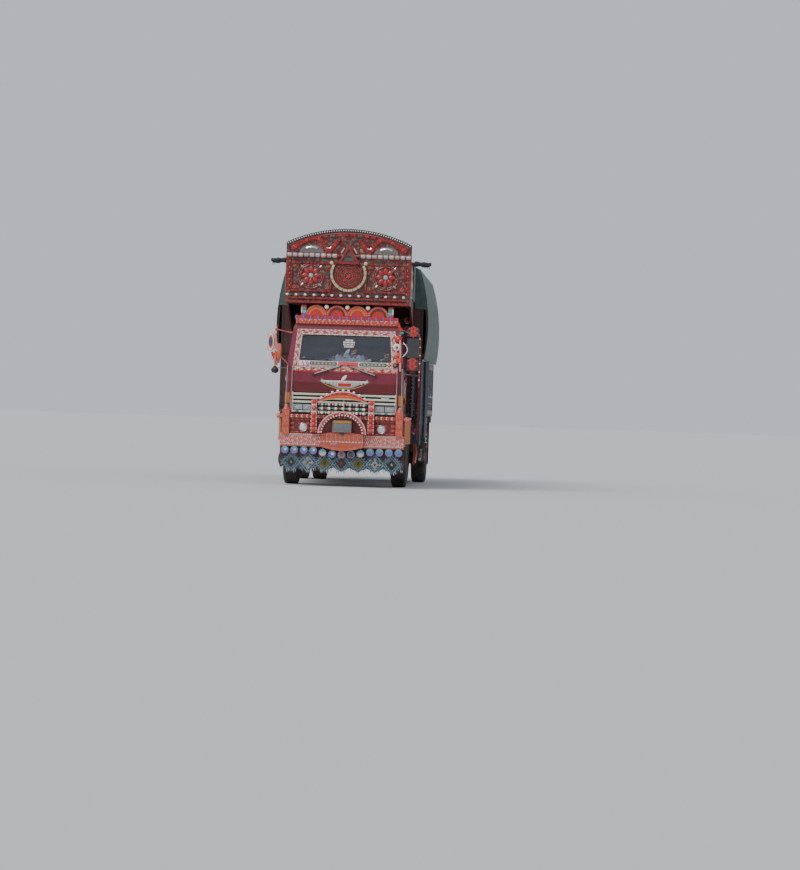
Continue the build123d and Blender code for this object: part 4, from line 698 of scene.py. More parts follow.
coral = (0.56, 0.085, 0.045)
deep_red = (0.26, 0.009, 0.009)
bright_red = (0.50, 0.02, 0.014)
pink = (0.72, 0.28, 0.27)
pale_pink = (0.78, 0.50, 0.46)
white = (0.78, 0.77, 0.74)
cream = (0.62, 0.54, 0.38)
peach = (0.66, 0.30, 0.18)
teal = (0.035, 0.27, 0.23)
blue = (0.05, 0.10, 0.42)
orange = (0.66, 0.15, 0.03)
gold = (0.42, 0.24, 0.05)
olive = (0.17, 0.15, 0.02)
dark = (0.02, 0.018, 0.02)
green = (0.03, 0.16, 0.06)

# Tape glitter: each cell of the reflective sheeting is brighter or darker than the next
glitter, glitter_in, glitter_out = new_group(
    "tape_glitter",
    (
        ("Colour", colour_kind, (0.5, 0.1, 0.1, 1)), ("Scale", number_kind, 160.0),
        ("Spread", number_kind, 0.35)
    ),
    (("Colour", colour_kind), ("Height", number_kind)),
)
glitter_cell = add(
    glitter, "ShaderNodeTexVoronoi", {"Vector": object_place(glitter), "Scale": glitter_in["Scale"]}
)
glitter_value = add(glitter, "ShaderNodeSeparateColor", {0: glitter_cell.outputs["Color"]}).outputs[0]
varied(glitter, glitter_value, 0.0, 1.0, glitter_in, glitter_out)
glitter.links.new(glitter_cell.outputs["Distance"], glitter_out["Height"])


def taped(name, rough=0.28, scale=160.0, spread=0.35, dirt=0.3, colour_map=None):
    """Reflective tape: the piece's tint in bright and dull cells, under a clear face with a little dust."""
    made, tree, shader = finish(name, {"Metallic": 0.15, "Coat Weight": 0.4, "Coat Roughness": 0.12})
    base = colour_map(tree) if colour_map else tint_of(tree)
    cells = grouped(tree, glitter, {"Colour": base, "Scale": scale, "Spread": spread})
    dusted = grouped(tree, dust, {"Colour": cells["Colour"], "Reach": 1.6, "Amount": dirt})
    gloss = ranged(tree, dusted["Mask"], 0.0, 0.6, rough, 0.9)
    uneven = relief(tree, cells["Height"], 0.15, 0.001)
    feed(tree, shader, base_color=dusted["Colour"], roughness=gloss, normal=uneven)
    return made


tape = taped("reflective_tape")
enamel = painted(
    "ornament_enamel", (0.5, 0.1, 0.1, 1), rough=0.32, coat=0.25, dirt=0.35, tinted=True, chip=0.08, bump=0.05
)
bright_metal = painted(
    "bright_metal", (0.6, 0.6, 0.6, 1), rough=0.2, metal=0.95, dirt=0.25, tinted=True, chip=0.1, grain=60.0
)

# Painted door panels: a lens-shaped medallion of petals inside a double frame, low on each door. They are
# enamel in low relief and open with the doors.
door_face_x = 0.986
door_middle = np.array((-3.29, 1.63))
door_panel_half = np.array((0.37, 0.21))


def rectangle(centre, half):
    """Closed line round a rectangle, from its lower left corner against the clock."""
    return np.array(((-1, -1), (1, -1), (1, 1), (-1, 1), (-1, -1))) * half + np.asarray(centre)


door_parts = []
for outer_gap, inner_gap, tone in ((0.0, 0.016, cream), (0.020, 0.036, coral)):
    outer = rectangle(door_middle, door_panel_half - outer_gap)
    inner = rectangle(door_middle, door_panel_half - inner_gap)
    door_parts.append(on_left(slab(outer, inner, 0.0025), door_face_x - 0.0012, tone))
facing = {"front": ((1, 0, 0), (0, 0, 1)), "left": ((0, 1, 0), (0, 0, 1)), "rear": ((-1, 0, 0), (0, 0, 1))}


def rosette(centre, out_side, rings, lift=0.004):
    """Flower of petals in rings: each ring has a count, a start radius, a length, a width and a colour, and a
    domed button in the middle. The flower faces the road ahead, the left side or the rear."""
    right, up = (np.array(way, dtype=float) for way in facing[out_side])
    centre = np.asarray(centre, dtype=float)
    parts = []
    for count, start, length, width, tone in rings:
        turns = np.arange(count) * 2 * pi / count
        petal_up = np.cos(turns)[:, None] * up + np.sin(turns)[:, None] * right
        petal_right = np.cos(turns)[:, None] * right - np.sin(turns)[:, None] * up
        places = spots(centre + petal_up * start, (width, length, lift), petal_right, petal_up)
        parts.append(copies(leaf(), places, tone))
    return parts


def button(centre, size, out_side, colour, height=0.4, sides=16):
    """Domed disc of a given diameter facing one side, its height a share of the diameter."""
    right, up = facing[out_side]
    return copies(dome(sides, 4), spots(centre, (size, size, size * height), right, up), colour)


def one(shape, centre, size, tone, right=(1, 0, 0), up=(0, 0, 1), roll=0.0):
    """A part: a shape at one or more centres, with three sizes, right and up directions and a turn."""
    return copies(shape, spots(centre, size, right, up, roll), tone)


def run(path, size, tones, out=(0, -1, 0), pitch=None, roll=0.0, shape=None, skip=1, start=0):
    """Chips at even steps along a path, each with a length, a height and a relief; colours come in turn."""
    places = along(path, pitch or size[0] * 1.1, size, out, roll=roll)
    picks = (np.arange(len(places)) * skip + start) % len(tones)
    return copies(shape or tile(), places, np.array(tones)[picks])


def level(x0, x1, y, z):
    """Straight path across the truck at one depth and height."""
    return (x0, y, z), (x1, y, z)


medallion = arc(door_middle - (0, 0.20), 0.36, 28, 152, 25) - door_middle
medallion_low = medallion * (1, -1)
for tone, grow in ((gold, 1.0), (teal, 0.93)):
    lens_shape = slab(medallion_low * grow + door_middle, medallion * grow + door_middle, 0.0022 * (2 - grow))
    door_parts.append(on_left(lens_shape, door_face_x - 0.0012, tone))
door_flower = (door_face_x + 0.002, *door_middle)
door_parts += rosette(door_flower, "left", ((10, 0.03, 0.09, 0.045, pink), (10, 0.02, 0.05, 0.03, white)))
door_parts.append(button(door_flower, 0.05, "left", bright_red, 0.25))
for corner_y in (-3.58, -3.00):
    for corner_z in (1.49, 1.77):
        door_parts += rosette((door_face_x, corner_y, corner_z), "left", ((6, 0.008, 0.036, 0.022, orange),))
        door_parts.append(button((door_face_x, corner_y, corner_z), 0.022, "left", white, 0.25))
piece("door_panel_left", door_parts, enamel, "door_left", closed=False)
piece("door_panel_right", [other_side(part) for part in door_parts], enamel, "door_right", closed=False)


# Windscreen: one flat pane in a broad surround of reflective tape, four rings of small chips cut by hand.
# Below the pane a white strip carries two plain dark ovals and a plain red block over four more rows.
screen_foot = np.array((-4.06, 1.905))
screen_head = np.array((-3.87, 2.70))
screen_slope = (screen_head[0] - screen_foot[0]) / (screen_head[1] - screen_foot[1])
screen_out = np.array((0.0, -1.0, screen_slope))
screen_out = screen_out / np.linalg.norm(screen_out)
screen_up = np.array((0.0, screen_slope, 1.0)) / np.hypot(1.0, screen_slope)


def on_screen(x, z, lift=0.001):
    """Point of the sloping cab front at a height, moved out from it by lift."""
    y = screen_foot[0] + screen_slope * (z - screen_foot[1])
    return np.array((x, y, z)) + screen_out * lift


def screen_chip(shape, x, z, size, tone, lift=0.001, roll=0.0):
    """One shape lying on the sloping front."""
    return one(shape, on_screen(x, z, lift), size, tone, up=screen_up, roll=roll)


chip = (0.021, 0.021, 0.004)
chip_pitch = 0.0235
pane_gap = 0.014
pane_foot_z = 1.935
pane_head_z = 2.525
pane_half_foot = 0.783
pane_half_head = 0.770
pillar_lean = 0.0814
pillar_straight_z = 2.095
ring_tones = (
    (cream, white, peach, cream, pale_pink, white),
    (coral, pale_pink, bright_red, white, pink, coral, pale_pink),
    (pink, coral, white, coral, pale_pink),
    (coral, pink, bright_red, pink, coral, white),
)
surround_parts = []
for ring_index, tones in enumerate(ring_tones):
    margin = pane_gap + chip_pitch * ring_index
    head_z = pane_head_z + margin
    half_foot = pane_half_foot + margin
    half_head = pane_half_head + margin - pillar_lean * (head_z - pillar_straight_z)
    outline = ((-half_foot, pane_foot_z), (-half_head, head_z), (half_head, head_z), (half_foot, pane_foot_z))
    corners = [on_screen(x, z) for x, z in outline]
    for start, end in zip(corners[:-1], corners[1:]):
        surround_parts.append(run(
            (start, end), chip, tones, screen_out, chip_pitch, skip=ring_index + 1, start=ring_index
        ))
for row, tones in enumerate(ring_tones):
    ends = (on_screen(-0.885, 1.987 - chip_pitch * row), on_screen(0.885, 1.987 - chip_pitch * row))
    surround_parts.append(run(ends, chip, tones, screen_out, chip_pitch, skip=2))
piece("screen_surround", surround_parts, tape)

clear_glass, glass_tree, glass_shader = finish(
    "cab_glass",
    {"Roughness": 0.03, "Transmission Weight": 0.97, "IOR": 1.45, "Base Color": (0.66, 0.74, 0.84, 1)}
)
glass_smear = add(glass_tree, "ShaderNodeTexNoise", {"Scale": 3.0, "Detail": 5.0})
feed(
    glass_tree, glass_shader, roughness=ranged(glass_tree, glass_smear.outputs[0], 0.45, 0.75, 0.02, 0.12),
    base_color=blended(
        glass_tree, ranged(glass_tree, glass_smear.outputs[0], 0.35, 0.65), (0.58, 0.66, 0.78, 1),
        (0.72, 0.80, 0.90, 1)
    ),
)
dress(clear_glass, "windscreen", "door_glass_left", "door_glass_right")

banner_z = 2.047
oval_high = 0.032
lilac = (0.62, 0.60, 0.70)
banner_parts = [screen_chip(tile(), 0.0, banner_z, (1.545, 0.084, 0.003), (0.70, 0.71, 0.76))]
stadium_x = np.sin(np.linspace(-pi / 2, pi / 2, 41))
for oval_x, oval_half in ((-0.365, 0.232), (0.466, 0.236)):
    round_end = np.clip((np.abs(stadium_x) * oval_half - oval_half + oval_high) / oval_high, 0, 1)
    edge = oval_high * np.sqrt(1 - round_end ** 2) + 1e-4
    for share, rise, tone in ((1.0, 0.004, (0.055, 0.062, 0.05)), (0.84, 0.0052, (0.10, 0.105, 0.07))):
        upper = np.stack((stadium_x * oval_half * (0.5 + 0.5 * share), edge * share), axis=1)
        places = spots(on_screen(oval_x, banner_z, 0.003), (1, 1, 1), (1, 0, 0), screen_up)
        banner_parts.append(copies(slab(upper, upper * (1, -1), rise, 1.0), places, tone))
    for mark in range(13):
        x = oval_x + (mark - 6) * 0.0315
        banner_parts.append(screen_chip(
            leaf(), x, 2.033, (0.017, 0.032, 0.003), (0.42, 0.42, 0.25), 0.008, 0.5 * (-1) ** mark
        ))
banner_parts.append(screen_chip(tile(), 0.048, 2.046, (0.345, 0.076, 0.005), (0.56, 0.035, 0.04), 0.003))
banner_parts.append(screen_chip(tile(), 0.048, 2.046, (0.29, 0.008, 0.003), (0.62, 0.16, 0.14), 0.008))
for stripe, tone in enumerate((bright_red, white, blue, coral)):
    banner_parts.append(screen_chip(
        tile(), -0.705 + 0.028 * stripe, banner_z, (0.018, 0.088, 0.003), tone, 0.004, 0.45
    ))
for size, tone, lift in ((0.066, orange, 0.004), (0.042, dark, 0.006), (0.020, cream, 0.008)):
    banner_parts.append(screen_chip(tile(), 0.735, 2.050, (size, size, 0.003), tone, lift, pi / 4))
for row, (count, tone, other) in enumerate(
    ((4, white, pale_pink), (6, lilac, white), (6, pink, white), (5, white, lilac))
):
    for column in range(count):
        x = 0.048 + (column - (count - 1) / 2) * 0.033
        shade = tone if column % 2 else other
        banner_parts.append(screen_chip(
            tile(), x, 2.453 - 0.036 * row, (0.027, 0.027, 0.002), shade, -0.0115
        ))
piece("screen_banner", banner_parts, enamel, closed=False)

# Inside the cab: a padded dash with its scalloped trim, a white ornament on it, and two buttoned seats
# in red woven covers over foam.
dash_dark = painted(
    "dash_plastic", (0.055, 0.05, 0.048, 1), rough=0.6, reach=2.6, dirt=0.35, grain=220.0, bump=0.3, chip=0.0
)
dress(dash_dark, "dashboard")
trim_parts = []
scallop_count = 22
scallop = arc((0, 0), (0.034, 0.045), 180, 360, 9)
for index in range(scallop_count):
    line = scallop + np.array((-0.735 + 0.07 * index, 2.005))
    shape = slab(line, np.stack((line[:, 0], np.full(len(line), 2.007)), axis=1), 0.004)
    trim_parts.append(on_front(shape, -4.005, (white, blue, coral, white, teal)[index % 5]))
mound_x = np.linspace(-0.30, 0.44, 33)
mound_top = 2.085 + 0.105 * np.clip(np.minimum(mound_x + 0.30, 0.44 - mound_x) / 0.16, 0, 1) ** 0.6
mound = slab(
    np.stack((mound_x, mound_top), axis=1), np.stack((mound_x, np.full(33, 2.02)), axis=1), 0.008, 1.6
)
trim_parts.append(on_front(mound, -3.925, (0.72, 0.72, 0.70)))
for index in range(12):
    x = -0.26 + 0.06 * index
    top = float(np.interp(x, mound_x, mound_top))
    tone = ((0.08, 0.14, 0.50), coral, white, (0.30, 0.50, 0.52), bright_red, white)[index % 6]
    trim_parts.append(one(dome(12, 3), (x, -3.936, top - 0.012), (0.058, 0.058, 0.012), tone))
for x, z, width, length, lean, tone in (
    (-0.045, 2.150, 0.060, 0.190, 0.62, (0.80, 0.80, 0.82)), (0.000, 2.165, 0.045, 0.150, 0.40, white),
    (0.075, 2.225, 0.045, 0.130, 1.02, orange), (0.085, 2.215, 0.030, 0.090, 1.25, cream),
    (-0.030, 2.170, 0.05, 0.08, -0.7, coral),
):
    trim_parts.append(one(leaf(), (x, -3.945, z), (width, length, 0.012), tone, roll=-lean))
for petal in range(7):
    turn = petal * 2 * pi / 6
    reach = 0.0 if petal == 6 else 0.030
    centre = (0.690 + reach * cos(turn), -3.93, 2.205 + reach * sin(turn))
    trim_parts.append(one(
        bead(8, 6), centre, (0.040, 0.030, 0.040), (0.30, 0.06, 0.02) if petal == 6 else (0.78, 0.42, 0.03)
    ))
for x, z, tone in (
    (0.60, 2.13, white), (0.64, 2.15, (0.20, 0.30, 0.12)), (0.735, 2.14, bright_red),
    (-0.70, 2.14, (0.62, 0.60, 0.60))
):
    trim_parts.append(one(bead(8, 6), (x, -3.93, z), (0.050, 0.040, 0.060), tone))
piece("dash_ornament", trim_parts, enamel, closed=False)

# Weave: two crossed waves over an object, as a height
weave, weave_in, weave_out = new_group("weave", (("Scale", number_kind, 200.0),), (("Height", number_kind),))
weave_waves = [
    add(
        weave, "ShaderNodeTexWave", {"Vector": object_place(weave), "Scale": weave_in["Scale"]},
        bands_direction=way
    ) for way in ("Z", "DIAGONAL")
]
weave.links.new(
    maths(weave, "MULTIPLY", weave_waves[0].outputs[0], weave_waves[1].outputs[0]), weave_out["Height"]
)


def cloth(
    name, colour, second, scale, rough=0.9, sheen=0.2, patch=3.0, spread=0.25, dirt=0.4, reach=2.0,
    tinted=False
):
    """Woven cloth: the piece's tint, or two tones in broad patches, with a woven bump and dust below."""
    made, tree, shader = finish(name, {"Roughness": rough, "Sheen Weight": sheen, "Sheen Roughness": 0.5})
    if tinted:
        base = tint_of(tree)
    else:
        base = blended(tree, ranged(tree, cloudy(tree, patch, 7.0, 0.6), 0.35, 0.68), colour, second)
    mixed = grouped(tree, mottle, {"Colour": base, "Scale": patch * 12, "Spread": spread})
    dusted = grouped(tree, dust, {"Colour": mixed["Colour"], "Reach": reach, "Amount": dirt})
    threads = grouped(tree, weave, {"Scale": scale})
    feed(tree, shader, base_color=dusted["Colour"], normal=relief(tree, threads["Height"], 0.35, 0.0015))
    return made


seat_cloth = cloth("seat_cloth", (0.22, 0.03, 0.025, 1), (0.30, 0.06, 0.045, 1), 90.0, sheen=0.4, dirt=0.2)
cushion_steps = 28


def cushion(middle, half, thick, lean, channels):
    """Closed pad: top and bottom swell by ((1 - u^4) (1 - v^4)) to the power 0.35, with sewn channels pressed
    across it and sides that draw in between the corners."""
    steps = np.linspace(-1, 1, cushion_steps)
    u, v = np.meshgrid(steps, steps, indexing="xy")
    swell = ((1 - u ** 4) * (1 - v ** 4)).clip(0, 1) ** 0.35
    groove = np.exp(-((np.abs(((u + 1) * channels / 2) % 1 - 0.5) - 0.5) / 0.07) ** 2) * (np.abs(u) < 0.97)
    draw = 1 - 0.035 * (1 - v ** 2)
    draw_v = 1 - 0.035 * (1 - u ** 2)
    height = swell * (1 - 0.16 * groove)
    top = np.stack((u * draw * half[0], v * draw_v * half[1], height * thick / 2), axis=-1).reshape(-1, 3)
    low = top * np.array((1, 1, -0.8))
    points = np.concatenate((top, low))
    count = len(top)
    upper = quads(cushion_steps, cushion_steps)
    lower = upper[:, ::-1] + count
    tilt = np.array(((1, 0, 0), (0, cos(lean), -sin(lean)), (0, sin(lean), cos(lean))))
    return points @ tilt.T + np.asarray(middle), np.concatenate((upper, lower)), no_triangles


for seat_x, seat_half, seat_word in ((-0.65, 0.243, "driver"), (0.645, 0.248, "mate")):
    seat_parts = [
        tinted(cushion((seat_x, -2.918, 1.548), (seat_half, 0.262), 0.146, 0.0, 5), (0.3, 0.05, 0.04)),
        tinted(cushion((seat_x, -2.648, 1.90), (seat_half, 0.278), 0.105, radians(79), 5), (0.3, 0.05, 0.04)),
    ]
    seat = piece(
        "seat_pad_" + seat_word, seat_parts, seat_cloth, hides=("seats",), weld=True
    )
    base_parts = [copies(
        tile(), spots((seat_x, -2.905, 1.245), (2 * seat_half - 0.09, 0.42, 0.225), (1, 0, 0), (0, 1, 0)),
        dark
    )]
    piece("seat_base_" + seat_word, base_parts, dash_dark)


# Grille and lamps: cream pressed slats before a near black back plate, the dark mesh and painted shade of the
# recess behind them, paired rectangular headlamps in chrome bezels, amber corner lamps, a trim bar of white
# and turquoise chips, round lamps in the bumper, red tail lamps.
def grille_tones_and_shade(tree):
    """Cream on the slats and the frame; near black on the back plate behind them, the dark mesh and painted
    shade.
    """
    depth = place_parts(tree)[1]
    return blended(tree, ranged(tree, depth, -4.035, -4.022), (0.62, 0.56, 0.42, 1), (0.012, 0.012, 0.013, 1))


dress(
    painted("grille_cream", (0.6, 0.5, 0.4, 1), rough=0.35, coat=0.3, dirt=0.35, colour_map=grille_tones_and_shade),
    "grille"
)


def lamp_tones(tree):
    """Chrome grey ahead, amber on the corners of the cab, red behind."""
    x, y = place_parts(tree)[:2]
    side = maths(tree, "ABSOLUTE", x)
    front = blended(tree, ranged(tree, side, 0.884, 0.886), (0.5, 0.5, 0.5, 1), (0.55, 0.16, 0.02, 1))
    return blended(tree, ranged(tree, y, 0.0, 0.1), front, (0.35, 0.008, 0.008, 1))


dress(
    painted(
        "lamp_cases", (0.5, 0.5, 0.5, 1), rough=0.18, metal=0.35, coat=0.5, dirt=0.3, chip=0.0,
        colour_map=lamp_tones
    ),
    "lamps"
)

lens, lens_tree, lens_shader = finish(
    "lamp_lens", {"Roughness": 0.12, "Coat Weight": 0.8, "Coat Roughness": 0.05, "Metallic": 0.25}
)
lens_rib = add(
    lens_tree, "ShaderNodeTexWave", {"Vector": object_place(lens_tree), "Scale": 28.0}, bands_direction="X"
)
lens_share = ranged(lens_tree, cloudy(lens_tree, 12.0, 3.0), 0.42, 0.62, 0.0, 0.45)
lens_colour = blended(lens_tree, lens_share, tint_of(lens_tree), (0.16, 0.18, 0.2, 1))
feed(
    lens_tree, lens_shader, base_color=lens_colour, normal=relief(lens_tree, lens_rib.outputs[0], 0.4, 0.002)
)

ribbed, ribbed_tree, ribbed_shader = finish(
    "ribbed_glass", {"Transmission Weight": 0.82, "IOR": 1.45, "Base Color": (0.80, 0.90, 0.92, 1)}
)
ribbed_inputs = {"Vector": object_place(ribbed_tree), "Scale": 24.0}
ribbed_wave = add(ribbed_tree, "ShaderNodeTexWave", ribbed_inputs, bands_direction="X").outputs[0]
ribbed_gloss = ranged(ribbed_tree, ribbed_wave, 0.0, 1.0, 0.05, 0.16)
feed(ribbed_tree, ribbed_shader, normal=relief(ribbed_tree, ribbed_wave, 0.5, 0.002), roughness=ribbed_gloss)

lamp_z = 1.312
fog_z = 0.975
lens_parts = []
bezel_parts = []
clear_parts = []
clear = (0.72, 0.76, 0.80)
chrome_grey = (0.6, 0.6, 0.6)
for lamp_x in (0.600, 0.765):
    clear_parts.append(one(tile(), (lamp_x, -4.0735, lamp_z), (0.126, 0.066, 0.007), clear))
    outer = rectangle((lamp_x, lamp_z), (0.075, 0.044))
    inner = rectangle((lamp_x, lamp_z), (0.0645, 0.03432))
    bezel_parts.append(on_front(slab(outer, inner, 0.006), -4.072, chrome_grey))
    for size, tone, y in ((0.062, (0.80, 0.82, 0.84), -4.0715), (0.034, (0.25, 0.30, 0.34), -4.0735)):
        bezel_parts.append(one(dome(20, 3), (lamp_x, y, 1.309), (size * 1.6, size, 0.003), tone))
    bezel_parts.append(one(bead(8, 6), (lamp_x, -4.076, 1.311), (0.020, 0.006, 0.020), (0.95, 0.93, 0.85)))
clear_parts = both_sides(clear_parts)
bezel_parts = both_sides(bezel_parts)
for fog_x in (-0.650, 0.650):
    lens_parts.append(button((fog_x, -4.2505, fog_z), 0.116, "front", clear, 0.16, 24))
    ring = arc((fog_x, fog_z), 0.070, 0, 360, 33)
    ring_in = (ring - (fog_x, fog_z)) * 0.86 + (fog_x, fog_z)
    bezel_parts.append(on_front(slab(ring, ring_in, 0.012), -4.248, chrome_grey))
amber = (0.62, 0.17, 0.02)
tail_red = (0.42, 0.012, 0.01)
for side in (-1, 1):
    for slot_index, tone in enumerate((tail_red, amber, tail_red)):
        centre = (side * (0.992 + 0.063 * slot_index), 4.339, 1.055)
        lens_parts.append(one(tile(), centre, (0.056, 0.070, 0.010), tone, (-1, 0, 0)))
    repeater = (side * 0.9855, -3.93, 1.775)
    lens_parts.append(one(dome(12, 3), repeater, (0.045, 0.105, 0.016), (0.75, 0.25, 0.06), (0, side, 0)))
piece("lamp_lenses", lens_parts, lens)
piece("headlamp_glass", clear_parts, ribbed)
piece("lamp_bezels", bezel_parts, bright_metal, closed=False)

slat_parts = [run(
    level(-0.868, 0.868, -4.0745, 1.240), (0.056, 0.026, 0.006), (white, teal, white, (0.30, 0.52, 0.50))
)]
for slat_z in (1.400, 1.465, 1.530):
    line = np.array(((-0.866, slat_z - 0.015), (0.866, slat_z - 0.015)))
    slat_parts.append(on_front(slab(line, line + (0, 0.030), 0.003), -4.0758, (0.70, 0.66, 0.54)))
slat_parts.append(one(tile(), (0.69, -4.0795, 1.475), (0.13, 0.055, 0.004), (0.50, 0.55, 0.60)))
piece("grille_trim", slat_parts, enamel)

# Wipers: black arms with bright blades parked as a low peak in the middle. Below them a painted lens with
# a gold edge holds a pale band, a grey-green panel, a red bar, two wings of feathers and a white leaf.
dress(painted("wiper_steel", (0.03, 0.03, 0.03, 1), rough=0.35, metal=0.6, dirt=0.2, chip=0.2), "wipers")
wiper_parts = []
for side in (-1, 1):
    start = on_screen(side * 0.505, 1.865, 0.030)
    end = on_screen(side * 0.085, 2.005, 0.036)
    line = (start, (start + end) / 2 + np.array((0, -0.008, 0)), end)
    wiper_parts.append(tinted(pipe(line, (0.011, 0.012, 0.007), 6), chrome_grey))
piece("wiper_blades", wiper_parts, bright_metal)
nose_y = -4.0595
emblem_half = 0.49
emblem_t = np.linspace(-1, 1, 41)


def emblem_arc(drop):
    """Lower edge of the painted lens: a parabola hanging by the drop between the two tips."""
    return np.stack((emblem_half * emblem_t, 1.806 - drop * (1 - emblem_t ** 2)), axis=1)


emblem_top = np.stack((0.385 * emblem_t, np.full(41, 1.756)), axis=1)
emblem_parts = [
    on_front(slab(emblem_top, emblem_arc(0.168) * (0.80, 1), 0.002, 1.0), nose_y, (0.30, 0.33, 0.30)),
    on_front(slab(emblem_arc(0.190), emblem_arc(0.172), 0.004), nose_y, (0.40, 0.27, 0.09)),
    on_front(
        slab(emblem_top * (1.04, 1) + (0, 0.012), emblem_top * (1.0, 1) - (0, 0.010), 0.004), nose_y,
        (0.74, 0.74, 0.72)
    ),
    one(tile(), (0.0, nose_y, 1.700), (0.255, 0.072, 0.005), pale_pink),
    one(tile(), (0.0, -4.0605, 1.700), (0.240, 0.058, 0.006), bright_red),
]
for side in (-1, 1):
    for wing in range(4):
        x = 0.155 + 0.062 * wing
        long = 0.075 - 0.014 * wing
        feather = one(
            leaf(), (side * x, -4.0612, 1.752), (0.050, long, 0.003), (0.46, 0.49, 0.46), (-1, 0, 0),
            (0, 0, -1)
        )
        emblem_parts.append(feather)
for x, width, length, lean, tone in (
    (-0.055, 0.052, 0.135, 0.75, (0.80, 0.80, 0.80)), (-0.035, 0.034, 0.110, 0.45, (0.60, 0.62, 0.66))
):
    emblem_parts.append(one(leaf(), (x, -4.0615, 1.765), (width, length, 0.005), tone, roll=-lean))
piece("front_emblem", emblem_parts, enamel, closed=False)

# Visor: a folded sheet over the windscreen with a check row above a coral band, and four fanned arches in
# red and pink enamel standing on it, with round white lamps between them and a lamp box at each end.
def upright(line, y):
    """Line of (x, z) points as a path at one depth."""
    return np.stack((line[:, 0], np.full(len(line), y), line[:, 1]), axis=1)


def visor_tones(tree):
    """Coral on the board, dark red behind it."""
    y, z = place_parts(tree)[1:]
    base = blended(tree, ranged(tree, z, 2.846, 2.85), (*coral, 1), (*bright_red, 1))
    return blended(tree, ranged(tree, y, -3.88, -3.86), base, (0.12, 0.01, 0.012, 1))


dress(taped("visor_tape", colour_map=visor_tones, rough=0.35), "sun_visor")
visor_y = -3.9205
arch_foot_z = 2.852
arch_pitch = 0.347
visor_parts = [
    run(
        level(-0.85, 0.85, visor_y, 2.818), (0.090, 0.056, 0.006), (bright_red, (0.42, 0.015, 0.04)),
        pitch=0.125
    ),
    run(
        level(-0.913, 0.7875, visor_y, 2.818), (0.030, 0.056, 0.007),
        ((0.10, 0.10, 0.46), (0.20, 0.12, 0.42)), pitch=0.125
    ),
    run(level(-0.85, 0.85, visor_y, 2.782), (0.024, 0.010, 0.005), (pale_pink, coral, white)),
    run(level(-0.85, 0.85, visor_y, 2.757), (0.026, 0.030, 0.005), (coral, (0.60, 0.10, 0.04), coral, pink)),
    run(level(-0.85, 0.85, visor_y, 2.725), (0.019, 0.016, 0.005), (pink, bright_red, coral)),
]
fan_brown = (0.085, 0.022, 0.012)
for arch_index in range(4):
    centre_x = (arch_index - 1.5) * arch_pitch
    middle = (centre_x, arch_foot_z)
    outer_tone, inner_tone = ((orange, gold), (fan_brown, (0.28, 0.10, 0.03)))[arch_index % 2]
    bands = (
        (0.172, 0.140, -3.9015, 0.012, coral), (0.134, 0.098, -3.9015, 0.006, outer_tone),
        (0.097, 0.066, -3.9015, 0.007, inner_tone)
    )
    for high_r, low_r, y, depth, tone in bands:
        visor_parts.append(on_front(
            slab(arc(middle, high_r, 2, 178, 29), arc(middle, low_r, 2, 178, 29), depth), y, tone
        ))
    rim_path = upright(arc(middle, 0.156, 4, 176, 41), -3.915)
    visor_parts.append(run(
        rim_path, (0.012, 0.012, 0.006), (pale_pink, bright_red), pitch=0.020, shape=dome(6, 2)
    ))
    for ray in range(9):
        turn = radians(20 * ray + 10)
        lean_up = (cos(turn), 0, sin(turn))
        lean_right = (sin(turn), 0, -cos(turn))
        visor_parts.append(one(
            leaf(), (centre_x, -3.9085, arch_foot_z), (0.026, 0.100, 0.006), (outer_tone, gold)[ray % 2],
            lean_right, lean_up
        ))
    visor_parts.append(on_front(
        slab(arc(middle, 0.062, 2, 178, 21), arc(middle, 0.004, 2, 178, 21), 0.006, 1.2), -3.9095, bright_red
    ))
for post_x in (-arch_pitch, 0.0, arch_pitch):
    visor_parts.append(button((post_x, -3.9265, 2.998), 0.074, "front", (0.80, 0.76, 0.66), 0.30, 20))
for side in (-1, 1):
    box_x = side * 0.73
    for row, tone in enumerate((teal, (0.10, 0.40, 0.38), (0.16, 0.07, 0.30))):
        visor_parts.append(one(
            tile(), (box_x - side * 0.012, -3.912, 2.965 - 0.055 * row), (0.064, 0.05, 0.008), tone
        ))
    visor_parts.append(one(tile(), (box_x + side * 0.034, -3.912, 2.94), (0.018, 0.10, 0.010), white))
flag = np.array(((0.862, 2.80), (0.905, 2.70), (0.965, 2.635)))
flag_inner = np.array(((0.862, 2.79), (0.862, 2.66), (0.885, 2.632)))
visor_parts.append(on_front(slab(flag, flag_inner, 0.004), -3.925, bright_red))
visor_parts.append(one(tile(), (0.925, -3.925, 2.600), (0.070, 0.040, 0.008), teal))
piece("visor_ornament", visor_parts, enamel, closed=False)


# Bumper: sheet steel box in coral tape, with corner pillars, dark red recesses, two rope-like rows along
# the top and a band of pink mosaic below. Side sheets flare out behind it, and a painted ball is at each end.
def bumper_tones(tree):
    """Dark red in the recess, orange brown on the side sheets, coral elsewhere."""
    x, y = place_parts(tree)[:2]
    side = maths(tree, "ABSOLUTE", x)
    recess = blended(tree, ranged(tree, y, -4.212, -4.206), (*coral, 1), (0.20, 0.012, 0.012, 1))
    return blended(tree, ranged(tree, side, 1.031, 1.034), recess, (0.42, 0.14, 0.035, 1))


dress(
    taped("bumper_tape", colour_map=bumper_tones, scale=95.0, spread=0.4, rough=0.35, dirt=0.45),
    "front_bumper"
)
mosaic = 0.0165
mosaic_pitch = 0.0185
band_y = -4.2605
bulge_y = -4.3305
beam_y = -4.2505
recess_y = -4.2005
knob_x = 1.062
knob_z = 1.150
recess_red = (0.12, 0.01, 0.01)
bumper_parts = []
sheet_parts = []
pink_tones = (coral, pink, pale_pink, (0.62, 0.12, 0.09), pink, white, coral, (0.60, 0.20, 0.20))
brick_tones = (coral, (0.60, 0.11, 0.06), (0.50, 0.12, 0.07), pink)


